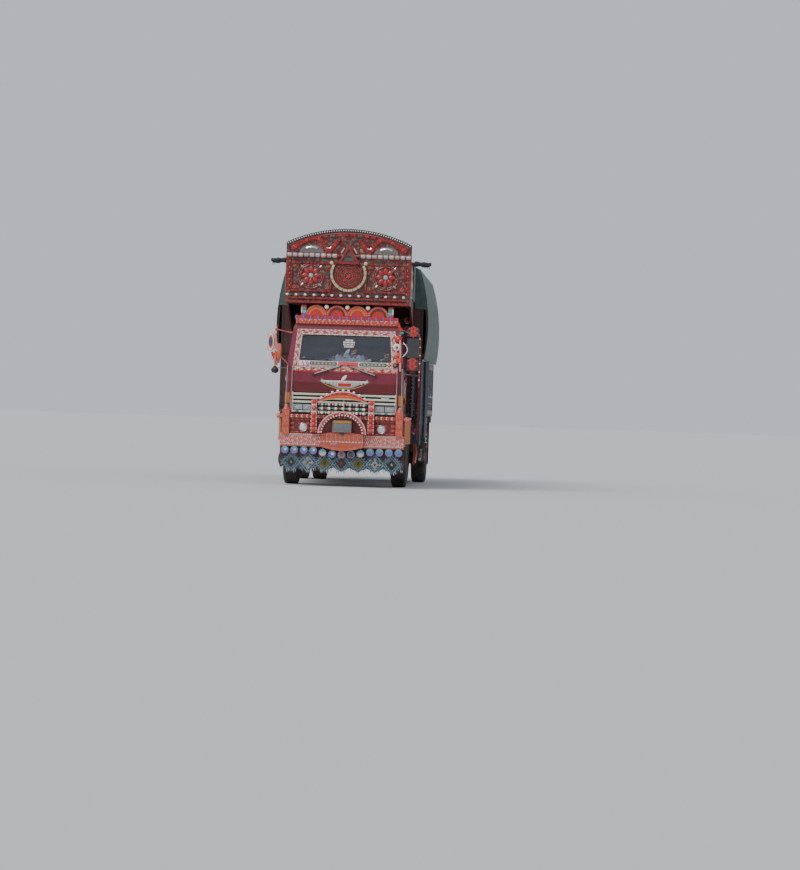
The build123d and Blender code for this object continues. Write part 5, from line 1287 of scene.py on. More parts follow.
def front_rows(rows, x0, x1, y, tones, parts, start=0):
    """Rows of tape chips on a front face: each row has a height over the ground, a chip size and a relief."""
    for index, (row_z, width, height, rise) in enumerate(rows):
        size = (width, height, rise)
        parts.append(run(
            level(x0, x1, y, row_z), size, tones, pitch=width * 1.12, skip=3 + index % 2,
            start=index * 2 + start
        ))


band_rows = [(0.853, 0.030, 0.018, 0.005)] + [
    (0.834 - mosaic_pitch * k, mosaic, mosaic, 0.003) for k in range(8)
] + [(0.684, 0.030, 0.020, 0.005)]
for x0, x1 in ((-1.030, -0.365), (0.365, 1.030)):
    front_rows(band_rows, x0, x1, band_y, pink_tones, bumper_parts)
    for rope_z in (0.858, 0.689):
        bumper_parts.append(run(
            level(x0, x1, band_y - 0.002, rope_z), (0.026, 0.010, 0.007), (white, coral), pitch=0.016,
            roll=0.9
        ))
bulge_rows = [(0.862 - mosaic_pitch * k, mosaic, mosaic, 0.003) for k in range(6)]
front_rows(bulge_rows, -0.355, 0.355, bulge_y, brick_tones, bumper_parts)
bumper_parts.append(run(
    level(-0.352, 0.352, bulge_y, 0.748), (0.026, 0.012, 0.005), (pale_pink, coral, white), pitch=0.018,
    roll=0.9
))
for row, (row_z, half) in enumerate(
    ((0.725, 0.345), (0.7065, 0.33), (0.688, 0.27), (0.6695, 0.19), (0.651, 0.10))
):
    front_rows(
        ((row_z, mosaic, mosaic, 0.003),), -half, half, bulge_y, (coral, (0.58, 0.13, 0.03), coral),
        bumper_parts, row
    )
for side in (-1, 1):
    for x, tone in ((0.055, (0.16, 0.10, 0.40)), (0.095, (0.22, 0.14, 0.40)), (0.135, (0.40, 0.12, 0.20))):
        bumper_parts.append(one(
            leaf(), (side * x, -4.333, 0.706), (0.030, 0.050, 0.004), tone, (0, 0, 1), (side, 0, 0)
        ))
rope_tones = (coral, white, bright_red, coral, (0.30, 0.03, 0.02))
for x0, x1 in ((-0.880, -0.535), (-0.425, 0.425), (0.535, 0.880)):
    for rope_z, lean, size in ((1.175, 0.75, (0.034, 0.013, 0.007)), (1.146, -0.75, (0.030, 0.012, 0.006))):
        bumper_parts.append(run(level(x0, x1, beam_y, rope_z), size, rope_tones, pitch=0.0175, roll=lean))
for side in (-1, 1):
    x0, x1 = sorted((side * 0.545, side * 0.875))
    for row_z in (1.104, 0.893):
        bumper_parts.append(run(
            level(x0, x1, recess_y, row_z), (0.024, 0.012, 0.005), (coral, pink, coral, bright_red),
            pitch=0.020, roll=0.6
        ))
    for row in range(5):
        for column, tone in enumerate((coral, recess_red, bright_red, recess_red, coral)):
            centre = (side * (0.578 + 0.066 * column), recess_y, 0.925 + 0.037 * row)
            bumper_parts.append(one(
                tile(), centre, (0.060, 0.033, 0.002), tone if row % 2 else (0.17, 0.012, 0.012)
            ))
    px = side * 0.947
    pillar_rows = [(0.883 + 0.0265 * k, 0.0175, 0.022, 0.003) for k in range(14)]
    front_rows(
        pillar_rows, px - 0.054, px + 0.054, -4.2845, (coral, (0.62, 0.13, 0.08), (0.66, 0.16, 0.10)),
        bumper_parts, 1
    )
    for turn_z, size, tone in ((1.285, 0.09, coral), (1.318, 0.06, orange), (1.337, 0.035, pale_pink)):
        bumper_parts.append(one(
            bead(12, 8), (px, -4.242, turn_z), (size, size, size * 0.6), tone, up=(0, 1, 0)
        ))
    bumper_parts.append(one(bead(16, 12), (side * knob_x, -4.215, knob_z), (0.096, 0.096, 0.096), coral))
    for turn in range(8):
        angle = turn * pi / 4
        knob_chip = (side * knob_x + 0.030 * cos(angle), -4.257, knob_z + 0.030 * sin(angle))
        bumper_parts.append(one(dome(6, 2), knob_chip, (0.016, 0.016, 0.006), (white, bright_red)[turn % 2]))
    sheet = np.array(((1.0345, -4.198), (1.0345, -3.590), (1.112, -3.590), (1.0375, -4.198)))
    ring = np.concatenate(
        [np.column_stack((side * sheet[:, 0], sheet[:, 1], np.full(4, z))) for z in (0.742, 1.188)]
    )
    walls = np.array(((0, 1, 5, 4), (1, 2, 6, 5), (2, 3, 7, 6), (3, 0, 4, 7), (3, 2, 1, 0), (4, 5, 6, 7)))
    sheet_parts.append(tinted((ring, walls, no_triangles), (0.50, 0.15, 0.04)))
    side_out = np.array((side * 0.993, -0.122, 0))
    for row_z, tones in (
        (1.168, (coral, white, bright_red)), (1.140, (orange, coral)), (0.790, (coral, orange)),
        (0.762, (pink, coral))
    ):
        path = ((side * 1.040, -4.18, row_z), (side * 1.1115, -3.61, row_z))
        sheet_parts.append(run(path, (0.026, 0.020, 0.004), tones, side_out))
piece("bumper_mosaic", bumper_parts, tape)
sheet_paint = painted(
    "side_sheet_paint", (0.5, 0.15, 0.04, 1), rough=0.75, dirt=0.2, chip=0.12, tinted=True, bump=0.05
)
piece("bumper_side_sheets", sheet_parts, sheet_paint)

# Bull bar: welded from sheet and tube and painted red, with turned collars on three cross bars, a crescent
# that carries nine bulbs, an arch over the bumper's middle and a plain plate.
bar_y = -4.30
bar_front_y = -4.310
boss_y = -4.3435
plate_y = -4.3595
bar_post_x = 0.475
crescent_half = 0.435
crescent_foot = 1.400
crescent_rise = 0.190
dull_boss = (0.46, 0.03, 0.02)
bar_parts = []
bulb_white = (0.85, 0.84, 0.80)
bar_green = (0.06, 0.32, 0.24)
collar_pitch = 0.116
for row_index, bar_z in enumerate((1.225, 1.298, 1.371)):
    for index in range(7):
        middle = (index - 3) * collar_pitch
        for shift, length, radius, tone in (
            (0.0, 0.034, 0.0235, bulb_white),
            (0.030, 0.026, 0.0180, (bar_green, bright_red)[(index + row_index) % 2]),
            (-0.030, 0.026, 0.0180, (bright_red, bar_green)[(index + row_index) % 2]),
            (0.0505, 0.015, 0.0195, dark), (-0.0505, 0.015, 0.0195, (white, bar_green)[row_index % 2]),
        ):
            x = middle + shift
            path = level(x - length / 2, x + length / 2, bar_y, bar_z)
            bar_parts.append(tinted(
                pipe((path[0], (x, bar_y, bar_z), path[1]), (radius, radius * 1.12, radius), 10), tone
            ))
    bar_parts.append(tinted(pipe(level(-0.47, 0.47, bar_y, bar_z), 0.017, 10), dark))
crescent_x = np.linspace(-crescent_half, crescent_half, 41)
crescent_sag = (1 - (crescent_x / crescent_half) ** 2)[:, None]
crescent_base = np.stack((crescent_x, np.full(41, crescent_foot)), axis=1)
crescent_low = crescent_base + crescent_sag * (0, 0.060)
crescent_high = crescent_base + crescent_sag * (0, crescent_rise)
bar_parts.append(on_front(slab(crescent_low, crescent_high, 0.058, 1.0), bar_front_y, (0.34, 0.015, 0.012)))
for low_share, high_share, tone, lift in (
    (0.0, 0.10, (0.62, 0.40, 0.30), 0.006), (0.12, 0.52, (0.62, 0.10, 0.02), 0.005),
    (0.54, 0.86, (0.42, 0.02, 0.015), 0.006), (0.88, 1.0, pale_pink, 0.007),
):
    low_line = crescent_low + (crescent_high - crescent_low) * low_share
    high_line = crescent_low + (crescent_high - crescent_low) * high_share
    bar_parts.append(on_front(slab(low_line, high_line, lift), -4.3685, tone))
crescent_middle = (crescent_low + crescent_high) / 2 + (0, 0.022)
middle_path = upright(crescent_middle, -4.374)[5:-5]
bar_parts.append(run(
    middle_path, (0.030, 0.016, 0.004), (bright_red, (0.20, 0.03, 0.02), orange), pitch=0.052
))
bulb_x = np.linspace(-0.36, 0.36, 9)
bulb_z = 1.404 + crescent_rise * (1 - (bulb_x / crescent_half) ** 2) + 0.012
for x, z in zip(bulb_x, bulb_z):
    bar_parts.append(one(bead(10, 8), (x, -4.360, z), (0.046, 0.040, 0.046), bulb_white))
    bar_parts.append(one(bead(8, 4), (x, -4.345, z - 0.020), (0.030, 0.030, 0.020), gold))
arch_foot = 0.882
for side in (-1, 1):
    bar_parts.append(one(tile(), (side * bar_post_x, -4.255, 1.163), (0.104, 0.572, 0.084), bright_red))
    post_rows = [(1.235 + 0.030 * k, 0.026, 0.025, 0.004) for k in range(7)]
    front_rows(
        post_rows, side * bar_post_x - 0.046, side * bar_post_x + 0.046, -4.339,
        (white, pink, pale_pink, white), bar_parts
    )
    for edge_x in (-0.043, 0.043):
        path = ((side * bar_post_x + edge_x, -4.338, 0.895), (side * bar_post_x + edge_x, -4.338, 1.215))
        bar_parts.append(run(path, (0.020, 0.014, 0.004), (pale_pink, coral, white)))
    for boss_z, size, tone in (
        (1.405, 0.060, bright_red), (1.300, 0.072, bright_red), (1.185, 0.075, bright_red),
        (1.105, 0.072, dull_boss), (1.025, 0.075, bright_red), (0.940, 0.070, dull_boss)
    ):
        bar_parts.append(button((side * bar_post_x, boss_y, boss_z), size, "front", tone, 0.22))
        bar_parts += rosette(
            (side * bar_post_x, boss_y, boss_z), "front", ((8, 0.016, 0.030, 0.022, tone),), 0.010
        )
    bar_parts.append(button((side * bar_post_x, -4.352, 1.300), 0.026, "front", white, 0.3))


def arch_line(inset, count):
    """Half ellipse of the arch, smaller by an inset along both directions."""
    return arc((0.0, arch_foot), (0.405 - inset, 0.372 - inset), 0, 180, count)


bar_parts.append(on_front(
    slab(arch_line(0.0, 49), arch_line(0.078, 49), 0.080, 1.0), bar_front_y, (0.36, 0.02, 0.015)
))
for high, low, tone, lift in (
    (0.002, 0.016, pale_pink, 0.005), (0.018, 0.046, bright_red, 0.006),
    (0.048, 0.076, (0.14, 0.02, 0.03), 0.003)
):
    bar_parts.append(on_front(slab(arch_line(high, 49), arch_line(low, 49), lift), -4.3905, tone))
for inset, size, tones, pitch, shape in (
    (0.062, (0.026, 0.026, 0.0035), (bulb_white,), 0.050, dome(10, 2)),
    (0.032, (0.030, 0.017, 0.0025), ((0.60, 0.14, 0.05), bright_red, pale_pink), 0.042, tile()),
):
    path = upright(arch_line(inset, 81), -4.3955 if inset < 0.05 else -4.3935)
    bar_parts.append(run(path, size, tones, pitch=pitch, shape=shape))
plate_middle = (0, 1.0075)
plate_half = np.array((0.155, 0.0975))
plate_frame = slab(rectangle(plate_middle, plate_half), rectangle(plate_middle, plate_half * 0.90), 0.008)
bar_parts += [
    one(tile(), (0, -4.340, 1.0075), (0.330, 0.215, 0.020), (0.22, 0.05, 0.03)),
    on_front(plate_frame, plate_y, (0.20, 0.16, 0.12)),
    one(tile(), (0, plate_y, 0.985), (0.278, 0.135, 0.004), (0.12, 0.14, 0.155)),
    one(tile(), (0, plate_y, 1.077), (0.282, 0.036, 0.006), (0.42, 0.22, 0.02)),
    one(tile(), (0, -4.345, 0.895), (0.080, 0.050, 0.008), dark),
    one(tile(), (0, -4.262, 0.900), (0.080, 0.050, 0.085), dark),
]
piece("bull_bar_body", bar_parts, enamel, hides=("bull_bar",), closed=False)

# Reflectors and bead net: moulded discs in teal and blue with purple rims hang in a row from the bumper's
# edge. Behind them a net of light-blue bead strings crosses in seven lozenges, each filled with beads of its
# own colours, and a row of short tassels ends it.
reflector_y = -4.2545
reflector_count = 13
reflector_pitch = 0.158
reflector_radius = 0.060
disc_parts = []
for disc_index in range(reflector_count):
    disc_x = (disc_index - 6) * reflector_pitch
    disc_z = 0.590 - 0.055 * max(0.0, 1 - (disc_x / 0.48) ** 2)
    centre = np.array((disc_x, reflector_y, disc_z))
    disc_middle = np.array((disc_x, disc_z))
    upper_half, lower_half = (arc(disc_middle, reflector_radius, 0, end, 25) for end in (180, -180))
    parting = np.stack((upper_half[:, 0], np.full(25, disc_z + 0.016)), axis=1)
    pale_disc = disc_index in (4, 8)
    if disc_index in (6, 7):
        disc_parts.append(button(
            centre, 0.124, "front", ((0.10, 0.24, 0.34), (0.03, 0.03, 0.035))[disc_index - 6], 0.08, 24
        ))
        disc_parts.append(button(
            centre + (0, -0.008, 0), 0.066, "front", (bright_red, dark)[disc_index - 6], 0.16, 20
        ))
    else:
        disc_parts.append(on_front(slab(upper_half, parting, 0.004, 1.8), reflector_y, (0.08, 0.34, 0.36)))
        disc_parts.append(on_front(
            slab(lower_half, parting, 0.004, 2.2), reflector_y,
            (0.55, 0.56, 0.52) if pale_disc else (0.10, 0.14, 0.50)
        ))
    for half_line, tone in ((upper_half, (0.12, 0.36, 0.40)), (lower_half, (0.34, 0.10, 0.24))):
        outer_line, inner_line = ((half_line - disc_middle) * share + disc_middle for share in (1.05, 0.86))
        disc_parts.append(on_front(slab(outer_line, inner_line, 0.006), reflector_y, tone))
    # Five discs get a small pale dome set off their middle: a painted highlight, the glare on the disc.
    if disc_index in (0, 1, 2, 3, 5):
        size = 0.058 if disc_index == 5 else 0.040
        disc_parts.append(button(
            centre + (0.010, -0.005, 0.008), size, "front", (0.80, 0.82, 0.84), 0.14, 20
        ))
piece("reflector_faces", disc_parts, lens, closed=False)
dress(
    painted("reflector_backs", (0.10, 0.20, 0.42, 1), rough=0.3, coat=0.4, dirt=0.4, chip=0.05),
    "reflector_discs"
)

bead_plastic = painted(
    "bead_plastic", (0.2, 0.3, 0.5, 1), rough=0.28, coat=0.3, dirt=0.25, reach=1.0, tinted=True, chip=0.0,
    grain=80.0, spread=0.3, bump=0.0
)
string_blue = (0.02, 0.045, 0.07)
string_pale = (0.36, 0.60, 0.72)
bead_pitch = 0.015
net_half = 1.030
net_top = 0.650
net_low = 0.240
lozenge = 0.280
net_middle = 0.388
hem_rise = 0.070
lattice_pitch = 0.060
tassel_count = 74


def hem_height(x):
    """Lower edge of the net: lowest under the middle of each lozenge, 70 mm higher between two."""
    return net_low + hem_rise * np.abs((x / lozenge + 0.5) % 1 - 0.5) * 2


grid_x, grid_z = np.meshgrid(
    np.arange(-net_half, net_half, bead_pitch), np.arange(net_low + 0.004, net_top, bead_pitch), indexing="xy"
)
grid_x = grid_x + np.where((np.round(grid_z / bead_pitch) % 2) > 0.5, 0.0075, 0.0)
column = np.round(grid_x / lozenge).clip(-3, 3).astype(int)
reach_share = np.abs(grid_x - column * lozenge) / (lozenge / 2) + np.abs(grid_z - net_middle) / 0.150
# Rings outwards from each lozenge's heart: heart, inner field, outer field, each with a colour a column
ring_number = np.digitize(reach_share, (0.18, 0.46, 0.70))
lozenge_tones = np.array(
    (
        ((0.62, 0.62, 0.60), dark, (0.10, 0.12, 0.15)),
        ((0.04, 0.02, 0.03), (0.70, 0.68, 0.66), (0.62, 0.60, 0.58)),
        (dark, (0.20, 0.17, 0.02), (0.26, 0.22, 0.03)),
        ((0.26, 0.22, 0.03), (0.20, 0.02, 0.03), (0.03, 0.03, 0.06)),
        (dark, (0.24, 0.21, 0.02), (0.27, 0.23, 0.03)),
        ((0.18, 0.01, 0.02), (0.72, 0.69, 0.67), (0.58, 0.54, 0.54)),
        ((0.80, 0.79, 0.76), (0.015, 0.015, 0.018), (0.03, 0.035, 0.04)),
    )
)
star = (np.abs(grid_x - column * lozenge) < 0.017) | (np.abs(grid_z - net_middle) < 0.013)
starred = np.isin(column, (-2, 2))
colours = np.broadcast_to((0.11, 0.02, 0.035), grid_x.shape + (3,))
inside = reach_share < 0.70
colours = np.where(inside[..., None], lozenge_tones[column + 3, ring_number.clip(0, 2)], colours)
rising = ((grid_x + grid_z) / lattice_pitch) % 1
falling = ((grid_x - grid_z) / lattice_pitch) % 1
dark_rays = starred & inside & ~star & (reach_share > 0.26) & (rising < 0.45)
colours = np.where(dark_rays[..., None], np.array(dark), colours)
strand = (reach_share >= 0.70) & (reach_share < 1.36)
line_pale = (np.abs((reach_share - 0.72) % 0.33 - 0.165) > 0.085)[..., None]
colours = np.where(strand[..., None], np.where(line_pale, string_pale, string_blue), colours)
lattice = (np.abs(rising - 0.5) < 0.22) | (np.abs(falling - 0.5) < 0.22)
shown = (grid_z > hem_height(grid_x)) & (grid_z < net_top - 0.005) & (inside | strand | lattice)
net_y = -4.2045 + 0.004 * np.sin(grid_x * 9.0) + 0.003 * np.sin(grid_z * 31.0)
centres = np.stack((grid_x[shown], net_y[shown], grid_z[shown]), axis=1)
net_parts = [copies(
    bead(5, 4), spots(centres, (0.0140, 0.0140, 0.0110), (1, 0, 0), (0, 0, 1)), colours[shown]
)]
rng = np.random.default_rng(7)
tassels = []
for index in range(tassel_count):
    x = -1.02 + index * 2.04 / (tassel_count - 1)
    top = float(hem_height(x)) + 0.012
    bottom = max(0.212, top - 0.040 - 0.035 * rng.random())
    lean = 0.008 * (rng.random() - 0.5)
    path = ((x, -4.204, top), (x + lean, -4.206, (top + bottom) / 2), (x + 2 * lean, -4.203, bottom))
    tassels.append(tinted(
        pipe(path, (0.0035, 0.006, 0.002), 5),
        (string_pale, (0.45, 0.48, 0.5), string_blue, (0.2, 0.02, 0.03))[index % 4]
    ))
# A near black sheet right behind the net is painted shade: the dark under the bumper seen through the beads.
backing_x = np.linspace(-net_half, net_half, 105)
backing_a = np.stack((backing_x, hem_height(backing_x) + 0.008), axis=1)
backing_b = np.stack((backing_x, np.full(105, net_top)), axis=1)
net_shade_sheet = [on_front(slab(backing_a, backing_b, 0.001, 1.0), -4.196, (0.025, 0.035, 0.045))]
piece("bead_net", net_parts + tassels, bead_plastic, hides=("fringes",), closed=False)
piece(
    "bead_net_backing", net_shade_sheet,
    cloth("net_shade_sheet", (0.03, 0.045, 0.055, 1), (0.02, 0.03, 0.04, 1), 240.0, tinted=True)
)

# Skirt chains: strings of beads hang along both sides under the body, each with a large bead and a small
# cup at its foot.
chain_x = 1.198
chain_count = 22
chain_pitch = 0.150
chain_parts = []
for side in (-1, 1):
    for index in range(chain_count):
        chain_y = -1.98 + index * chain_pitch
        tone = ((0.30, 0.03, 0.03), (0.05, 0.10, 0.16), (0.35, 0.33, 0.30), dark)[index % 4]
        links = np.linspace(0.70, 0.50, 9)
        centres = np.stack((np.full(9, side * chain_x), np.full(9, chain_y), links), axis=1)
        chain_parts.append(one(bead(6, 4), centres, (0.013, 0.013, 0.027), tone, up=(0, 1, 0)))
        chain_parts.append(one(
            bead(10, 6), (side * chain_x, chain_y, 0.466), (0.04, 0.04, 0.05), tone, up=(0, 1, 0)
        ))
        skirt = ((side * chain_x, chain_y, 0.458), (side * chain_x, chain_y, 0.440))
        chain_parts.append(tinted(pipe(skirt, (0.016, 0.020), 8), dark))
piece("skirt_chains", chain_parts, bead_plastic, closed=False)


# Mirrors: a white and orange oval on a salmon post on the right, a dark square on a dark post with carved
# ornaments on the left. A pink post with discs stands on the left pillar, and cloth streamers, beads and yarn
# tassels hang from the posts and from the body's front corners.
def mirror_tones(tree):
    """Salmon post and orange oval on the right side above a black ball, near black on the left side."""
    parts = place_parts(tree)
    right = blended(tree, ranged(tree, parts[2], 1.97, 1.99), (0.02, 0.02, 0.02, 1), (0.62, 0.22, 0.15, 1))
    return blended(tree, ranged(tree, parts[0], -0.01, 0.01), right, (0.03, 0.03, 0.035, 1))


dress(
    painted("mirror_paint", (0.5, 0.2, 0.1, 1), rough=0.35, coat=0.3, dirt=0.3, colour_map=mirror_tones),
    "mirrors"
)
dress(painted("stay_steel", (0.45, 0.42, 0.40, 1), rough=0.3, metal=0.8, dirt=0.25, chip=0.2), "stay_rods")
mirror_y = -3.9755
left_post_x = 1.12
left_front_y = -3.966
oval_middle = np.array((-1.262, 2.385))
oval_ring = arc((0, 0), (0.052, 0.145), 0, 360, 41)
mirror_parts = [one(dome(16, 3), (-1.262, mirror_y, 2.385), (0.058, 0.165, 0.006), (0.05, 0.06, 0.14))]
for high_share, low_share, tone, rise in ((1.0, 0.80, white, 0.006), (0.80, 0.58, orange, 0.005)):
    band = slab(oval_ring * high_share + oval_middle, oval_ring * low_share + oval_middle, rise)
    mirror_parts.append(on_front(band, mirror_y, tone))
for path in (((-1.18, -3.964, 2.64), (-1.18, -3.964, 2.50)), ((-1.18, -3.964, 2.27), (-1.18, -3.964, 2.17))):
    mirror_parts.append(run(path, (0.026, 0.030, 0.005), (pale_pink, coral, orange), pitch=0.030))
mirror_parts.append(tinted(
    pipe(((-1.17, -3.95, 2.585), (-1.00, -3.93, 2.57), (-0.86, -3.905, 2.553)), 0.006, 6), (0.45, 0.03, 0.03)
))
dull_red = (0.25, 0.02, 0.02)
for centre_z, size in ((2.665, 0.085), (2.595, 0.10), (2.135, 0.10), (2.045, 0.10)):
    petals = ((8, 0.012, size * 0.55, size * 0.4, bright_red), (6, 0.008, size * 0.3, size * 0.25, dull_red))
    mirror_parts += rosette((left_post_x, left_front_y, centre_z), "front", petals)
    for shift, tone in ((-0.062, (0.30, 0.04, 0.03)), (0.062, bright_red)):
        mirror_parts.append(button((left_post_x + shift, left_front_y, centre_z), 0.036, "front", tone, 0.3))
bead_line = ((1.212, -3.955, 2.59), (1.236, -3.955, 2.50), (1.243, -3.955, 2.20), (1.236, -3.955, 1.70))
bead_tones = ((0.34, 0.015, 0.015), (0.34, 0.015, 0.015), (0.62, 0.52, 0.50), (0.10, 0.02, 0.03))
mirror_parts.append(run(bead_line, (0.030, 0.030, 0.030), bead_tones, pitch=0.034, shape=bead(8, 6)))
mirror_parts.append(tinted(pipe(bead_line, 0.004, 5), dark))
post_line = [on_screen(x, z, 0.018) for x, z in ((0.925, 1.95), (0.915, 2.25), (0.895, 2.56))]
mirror_parts.append(tinted(pipe(post_line, 0.017, 8), (0.66, 0.26, 0.23)))
for x, z, size, tone, heart in (
    (0.868, 2.490, 0.125, bright_red, (0.60, 0.10, 0.09)),
    (0.850, 2.350, 0.125, (0.74, 0.72, 0.74), (0.30, 0.04, 0.10)), (0.868, 2.205, 0.115, coral, bright_red),
    (0.905, 2.120, 0.110, bright_red, orange), (0.838, 2.045, 0.085, dark, orange),
):
    centre = on_screen(x, z, 0.022)
    mirror_parts.append(button(centre, size, "front", tone, 0.16, 20))
    mirror_parts.append(button(centre - (0, 0.014, 0), size * 0.42, "front", heart, 0.35, 14))
hook_x = 0.955 + 0.075 * np.sin(np.linspace(0, pi, 13))
hook = upright(np.stack((hook_x, np.linspace(2.20, 2.44, 13)), axis=1), -3.975)
mirror_parts.append(tinted(pipe(hook, 0.008, 6), (0.76, 0.72, 0.72)))
for side, tie_z, x in ((1, 2.23, 1.02), (1, 2.41, 1.02), (-1, 1.955, 1.10)):
    tie = ((side * 0.93, -3.93, tie_z), (side * (x - 0.03), -3.95, tie_z), (side * (x + 0.03), -3.95, tie_z))
    mirror_parts.append(tinted(pipe(tie, 0.006, 6), (0.30, 0.05, 0.05)))
mirror_parts.append(tinted(
    pipe(((1.03, -3.945, 1.905), (1.14, -3.95, 1.895), (1.235, -3.945, 1.885)), (0.016, 0.024, 0.012), 8),
    dark
))
piece("mirror_ornament", mirror_parts, enamel, closed=False)
silver = (0.6, 0.62, 0.66)
glass_right = one(dome(24, 3, 0.4), (-1.262, -3.9145, 2.385), (0.092, 0.27, 0.003), silver, (-1, 0, 0))
glass_left = one(tile(), (1.12, -3.9145, 2.35), (0.18, 0.30, 0.003), silver, (-1, 0, 0))
piece("mirror_glass", [glass_right, glass_left], bright_metal)

streamer_cloth = cloth(
    "streamer_cloth", (0.5, 0.05, 0.03, 1), (0.4, 0.04, 0.03, 1), 120.0, sheen=0.3, tinted=True, dirt=0.2
)


def ribbon(x, y, top, bottom, width, wave, twist):
    """Hanging strip: it narrows downwards, swings by wave * sin and turns by twist round its own line."""
    s = np.linspace(0, 1, 22)
    middle = np.stack(
        (x + wave * np.sin(s * 5.0) * s, y + 0.4 * wave * np.cos(s * 4.0) * s, top + (bottom - top) * s),
        axis=1
    )
    turn = twist * s
    half = width / 2 * (1 - 0.35 * s)
    side = np.stack((half * np.cos(turn), half * np.sin(turn), 0 * s), axis=1)
    front = np.stack((-np.sin(turn), np.cos(turn), 0 * s), axis=1) * 0.0012
    points = np.stack(
        (middle - side - front, middle + side - front, middle + side + front, middle - side + front), axis=1
    )
    ends = np.array(((0, 2, 1), (0, 3, 2), (84, 85, 86), (84, 86, 87)))
    return points.reshape(-1, 3), quads(22, 4, wrap_columns=True), ends


salmon = (0.62, 0.16, 0.10)
front_corner_y = -2.150
cord_x = -1.165
streamer_parts = []
for index, (shift, top, low, tone) in enumerate(
    (
        (0.060, 2.36, 2.10, salmon), (0.075, 2.34, 2.03, coral), (0.045, 2.33, 1.995, salmon),
        (0.020, 2.22, 2.02, coral), (-0.030, 2.20, 2.06, (0.55, 0.04, 0.03)), (-0.055, 2.22, 2.10, orange),
    )
):
    streamer_parts.append(tinted(
        ribbon(-1.18 + shift, -3.965 + 0.008 * (index % 2), top, low, 0.046, 0.012, 0.5 + 0.3 * index), tone
    ))
for index, (shift, low, tone) in enumerate(
    (
        (0.0, 0.37, bright_red), (0.022, 0.41, (0.70, 0.62, 0.60)), (-0.020, 0.39, coral),
        (0.040, 0.46, bright_red)
    )
):
    streamer_parts.append(tinted(
        ribbon(1.150 + shift, front_corner_y - 0.010 * index, 0.74, low, 0.042, 0.014, 0.6 + 0.4 * index),
        tone
    ))
for index, (x, top, low, tone) in enumerate(
    (
        (1.090, 2.14, 1.20, (0.10, 0.12, 0.15)), (1.140, 2.14, 1.00, dark),
        (1.190, 2.14, 0.80, (0.20, 0.03, 0.04)), (1.240, 2.15, 0.72, (0.16, 0.22, 0.28)),
        (1.285, 2.16, 0.66, dark), (1.320, 2.16, 0.84, (0.12, 0.14, 0.16)), (1.225, 0.90, 0.50, dark),
        (1.290, 0.90, 0.44, (0.03, 0.03, 0.035)),
    )
):
    streamer_parts.append(tinted(
        ribbon(x, -2.320 - 0.006 * (index % 3), top, low, 0.060, 0.010, 0.25 + 0.1 * index), tone
    ))
piece("streamers", streamer_parts, streamer_cloth, closed=False)


def yarn_tassel(x, y, top, bottom, radius, strands, colour, seed=3):
    """Bound head and a skirt of yarn: strands swell out to the radius and hang to the bottom."""
    parts = [one(bead(12, 8), (x, y, top), (radius * 1.1, radius * 1.1, radius * 1.1), colour, up=(0, 1, 0))]
    source = np.random.default_rng(seed)
    turns = np.arange(strands) * 2.39996
    reach = radius * np.sqrt((np.arange(strands) + 0.5) / strands)
    for turn, spread in zip(turns, reach):
        drop = bottom + 0.02 * source.random()
        s = np.linspace(0, 1, 6)
        swell = spread * np.sin(pi * (0.15 + 0.72 * s)) ** 0.6
        path = np.stack((x + swell * cos(turn), y + swell * sin(turn), top + (drop - top) * s), axis=1)
        parts.append(tinted(pipe(path, 0.006, 5), colour))
    return parts


yarn = cloth("yarn", (0.02, 0.02, 0.02, 1), (0.03, 0.03, 0.03, 1), 300.0, sheen=0.3, tinted=True, dirt=0.25)
black_yarn = (0.012, 0.012, 0.013)
tassel_parts = yarn_tassel(-1.18, -3.945, 1.955, 1.865, 0.060, 60, black_yarn)
for side in (-1, 1):
    for rod_x in (0.885, 0.970):
        tassel_parts += yarn_tassel(side * rod_x, -4.180, 1.285, 1.205, 0.020, 14, (0.5, 0.06, 0.05), seed=5)
tassel_parts += yarn_tassel(1.12, -3.945, 1.985, 1.90, 0.04, 30, (0.10, 0.01, 0.012))
tassel_parts += yarn_tassel(cord_x, front_corner_y, 0.500, 0.300, 0.045, 40, black_yarn, seed=8)
cord = [(cord_x, front_corner_y, z) for z in (0.50, 0.62, 0.74)]
tassel_parts.append(tinted(pipe(cord, 0.008, 6), (0.40, 0.05, 0.05)))
piece("tassels", tassel_parts, yarn, closed=False)

# Hangings on the left front corner of the body: seven strings of plastic beads in black, white and blue,
# each with a larger bead at its foot, tied before dark cloth strips and crossed by two bands of chips.
hanging_tones = (
    (dark, white), (white, dark, (0.16, 0.22, 0.34)), (deep_red, dark, pale_pink), (dark, white, dark),
    ((0.18, 0.24, 0.32), dark), (dark, deep_red)
)
hanging_parts = []
for index, (x, low) in enumerate(
    ((1.070, 1.08), (1.115, 0.94), (1.160, 1.12), (1.205, 0.60), (1.250, 0.66), (1.295, 0.52), (1.335, 0.72))
):
    path = ((x, -2.300, 2.165), (x - 0.012, -2.306, 1.45), (x + 0.006, -2.300, low))
    hanging_parts.append(run(
        path, (0.022, 0.022, 0.022), hanging_tones[index % 6], pitch=0.034, shape=bead(6, 4)
    ))
    hanging_parts.append(tinted(pipe(path, 0.004, 5), dark))
    hanging_parts.append(one(
        bead(8, 6), (x + 0.006, -2.300, low - 0.02), (0.040, 0.040, 0.050),
        (bright_red, white, dark)[index % 3]
    ))
for x, half, low, high, tones in (
    (1.215, 0.135, 0.905, 1.065, ((0.42, 0.10, 0.16), (0.16, 0.05, 0.16))),
    (1.235, 0.10, 1.30, 1.42, ((0.16, 0.22, 0.30), dark))
):
    for row in range(3):
        row_z = low + (row + 0.5) * (high - low) / 3
        size = (0.036, (high - low) / 3.4, 0.006)
        hanging_parts.append(run(level(x - half, x + half, -2.312, row_z), size, tones, start=row))
piece("corner_hangings", hanging_parts, bead_plastic, closed=False)

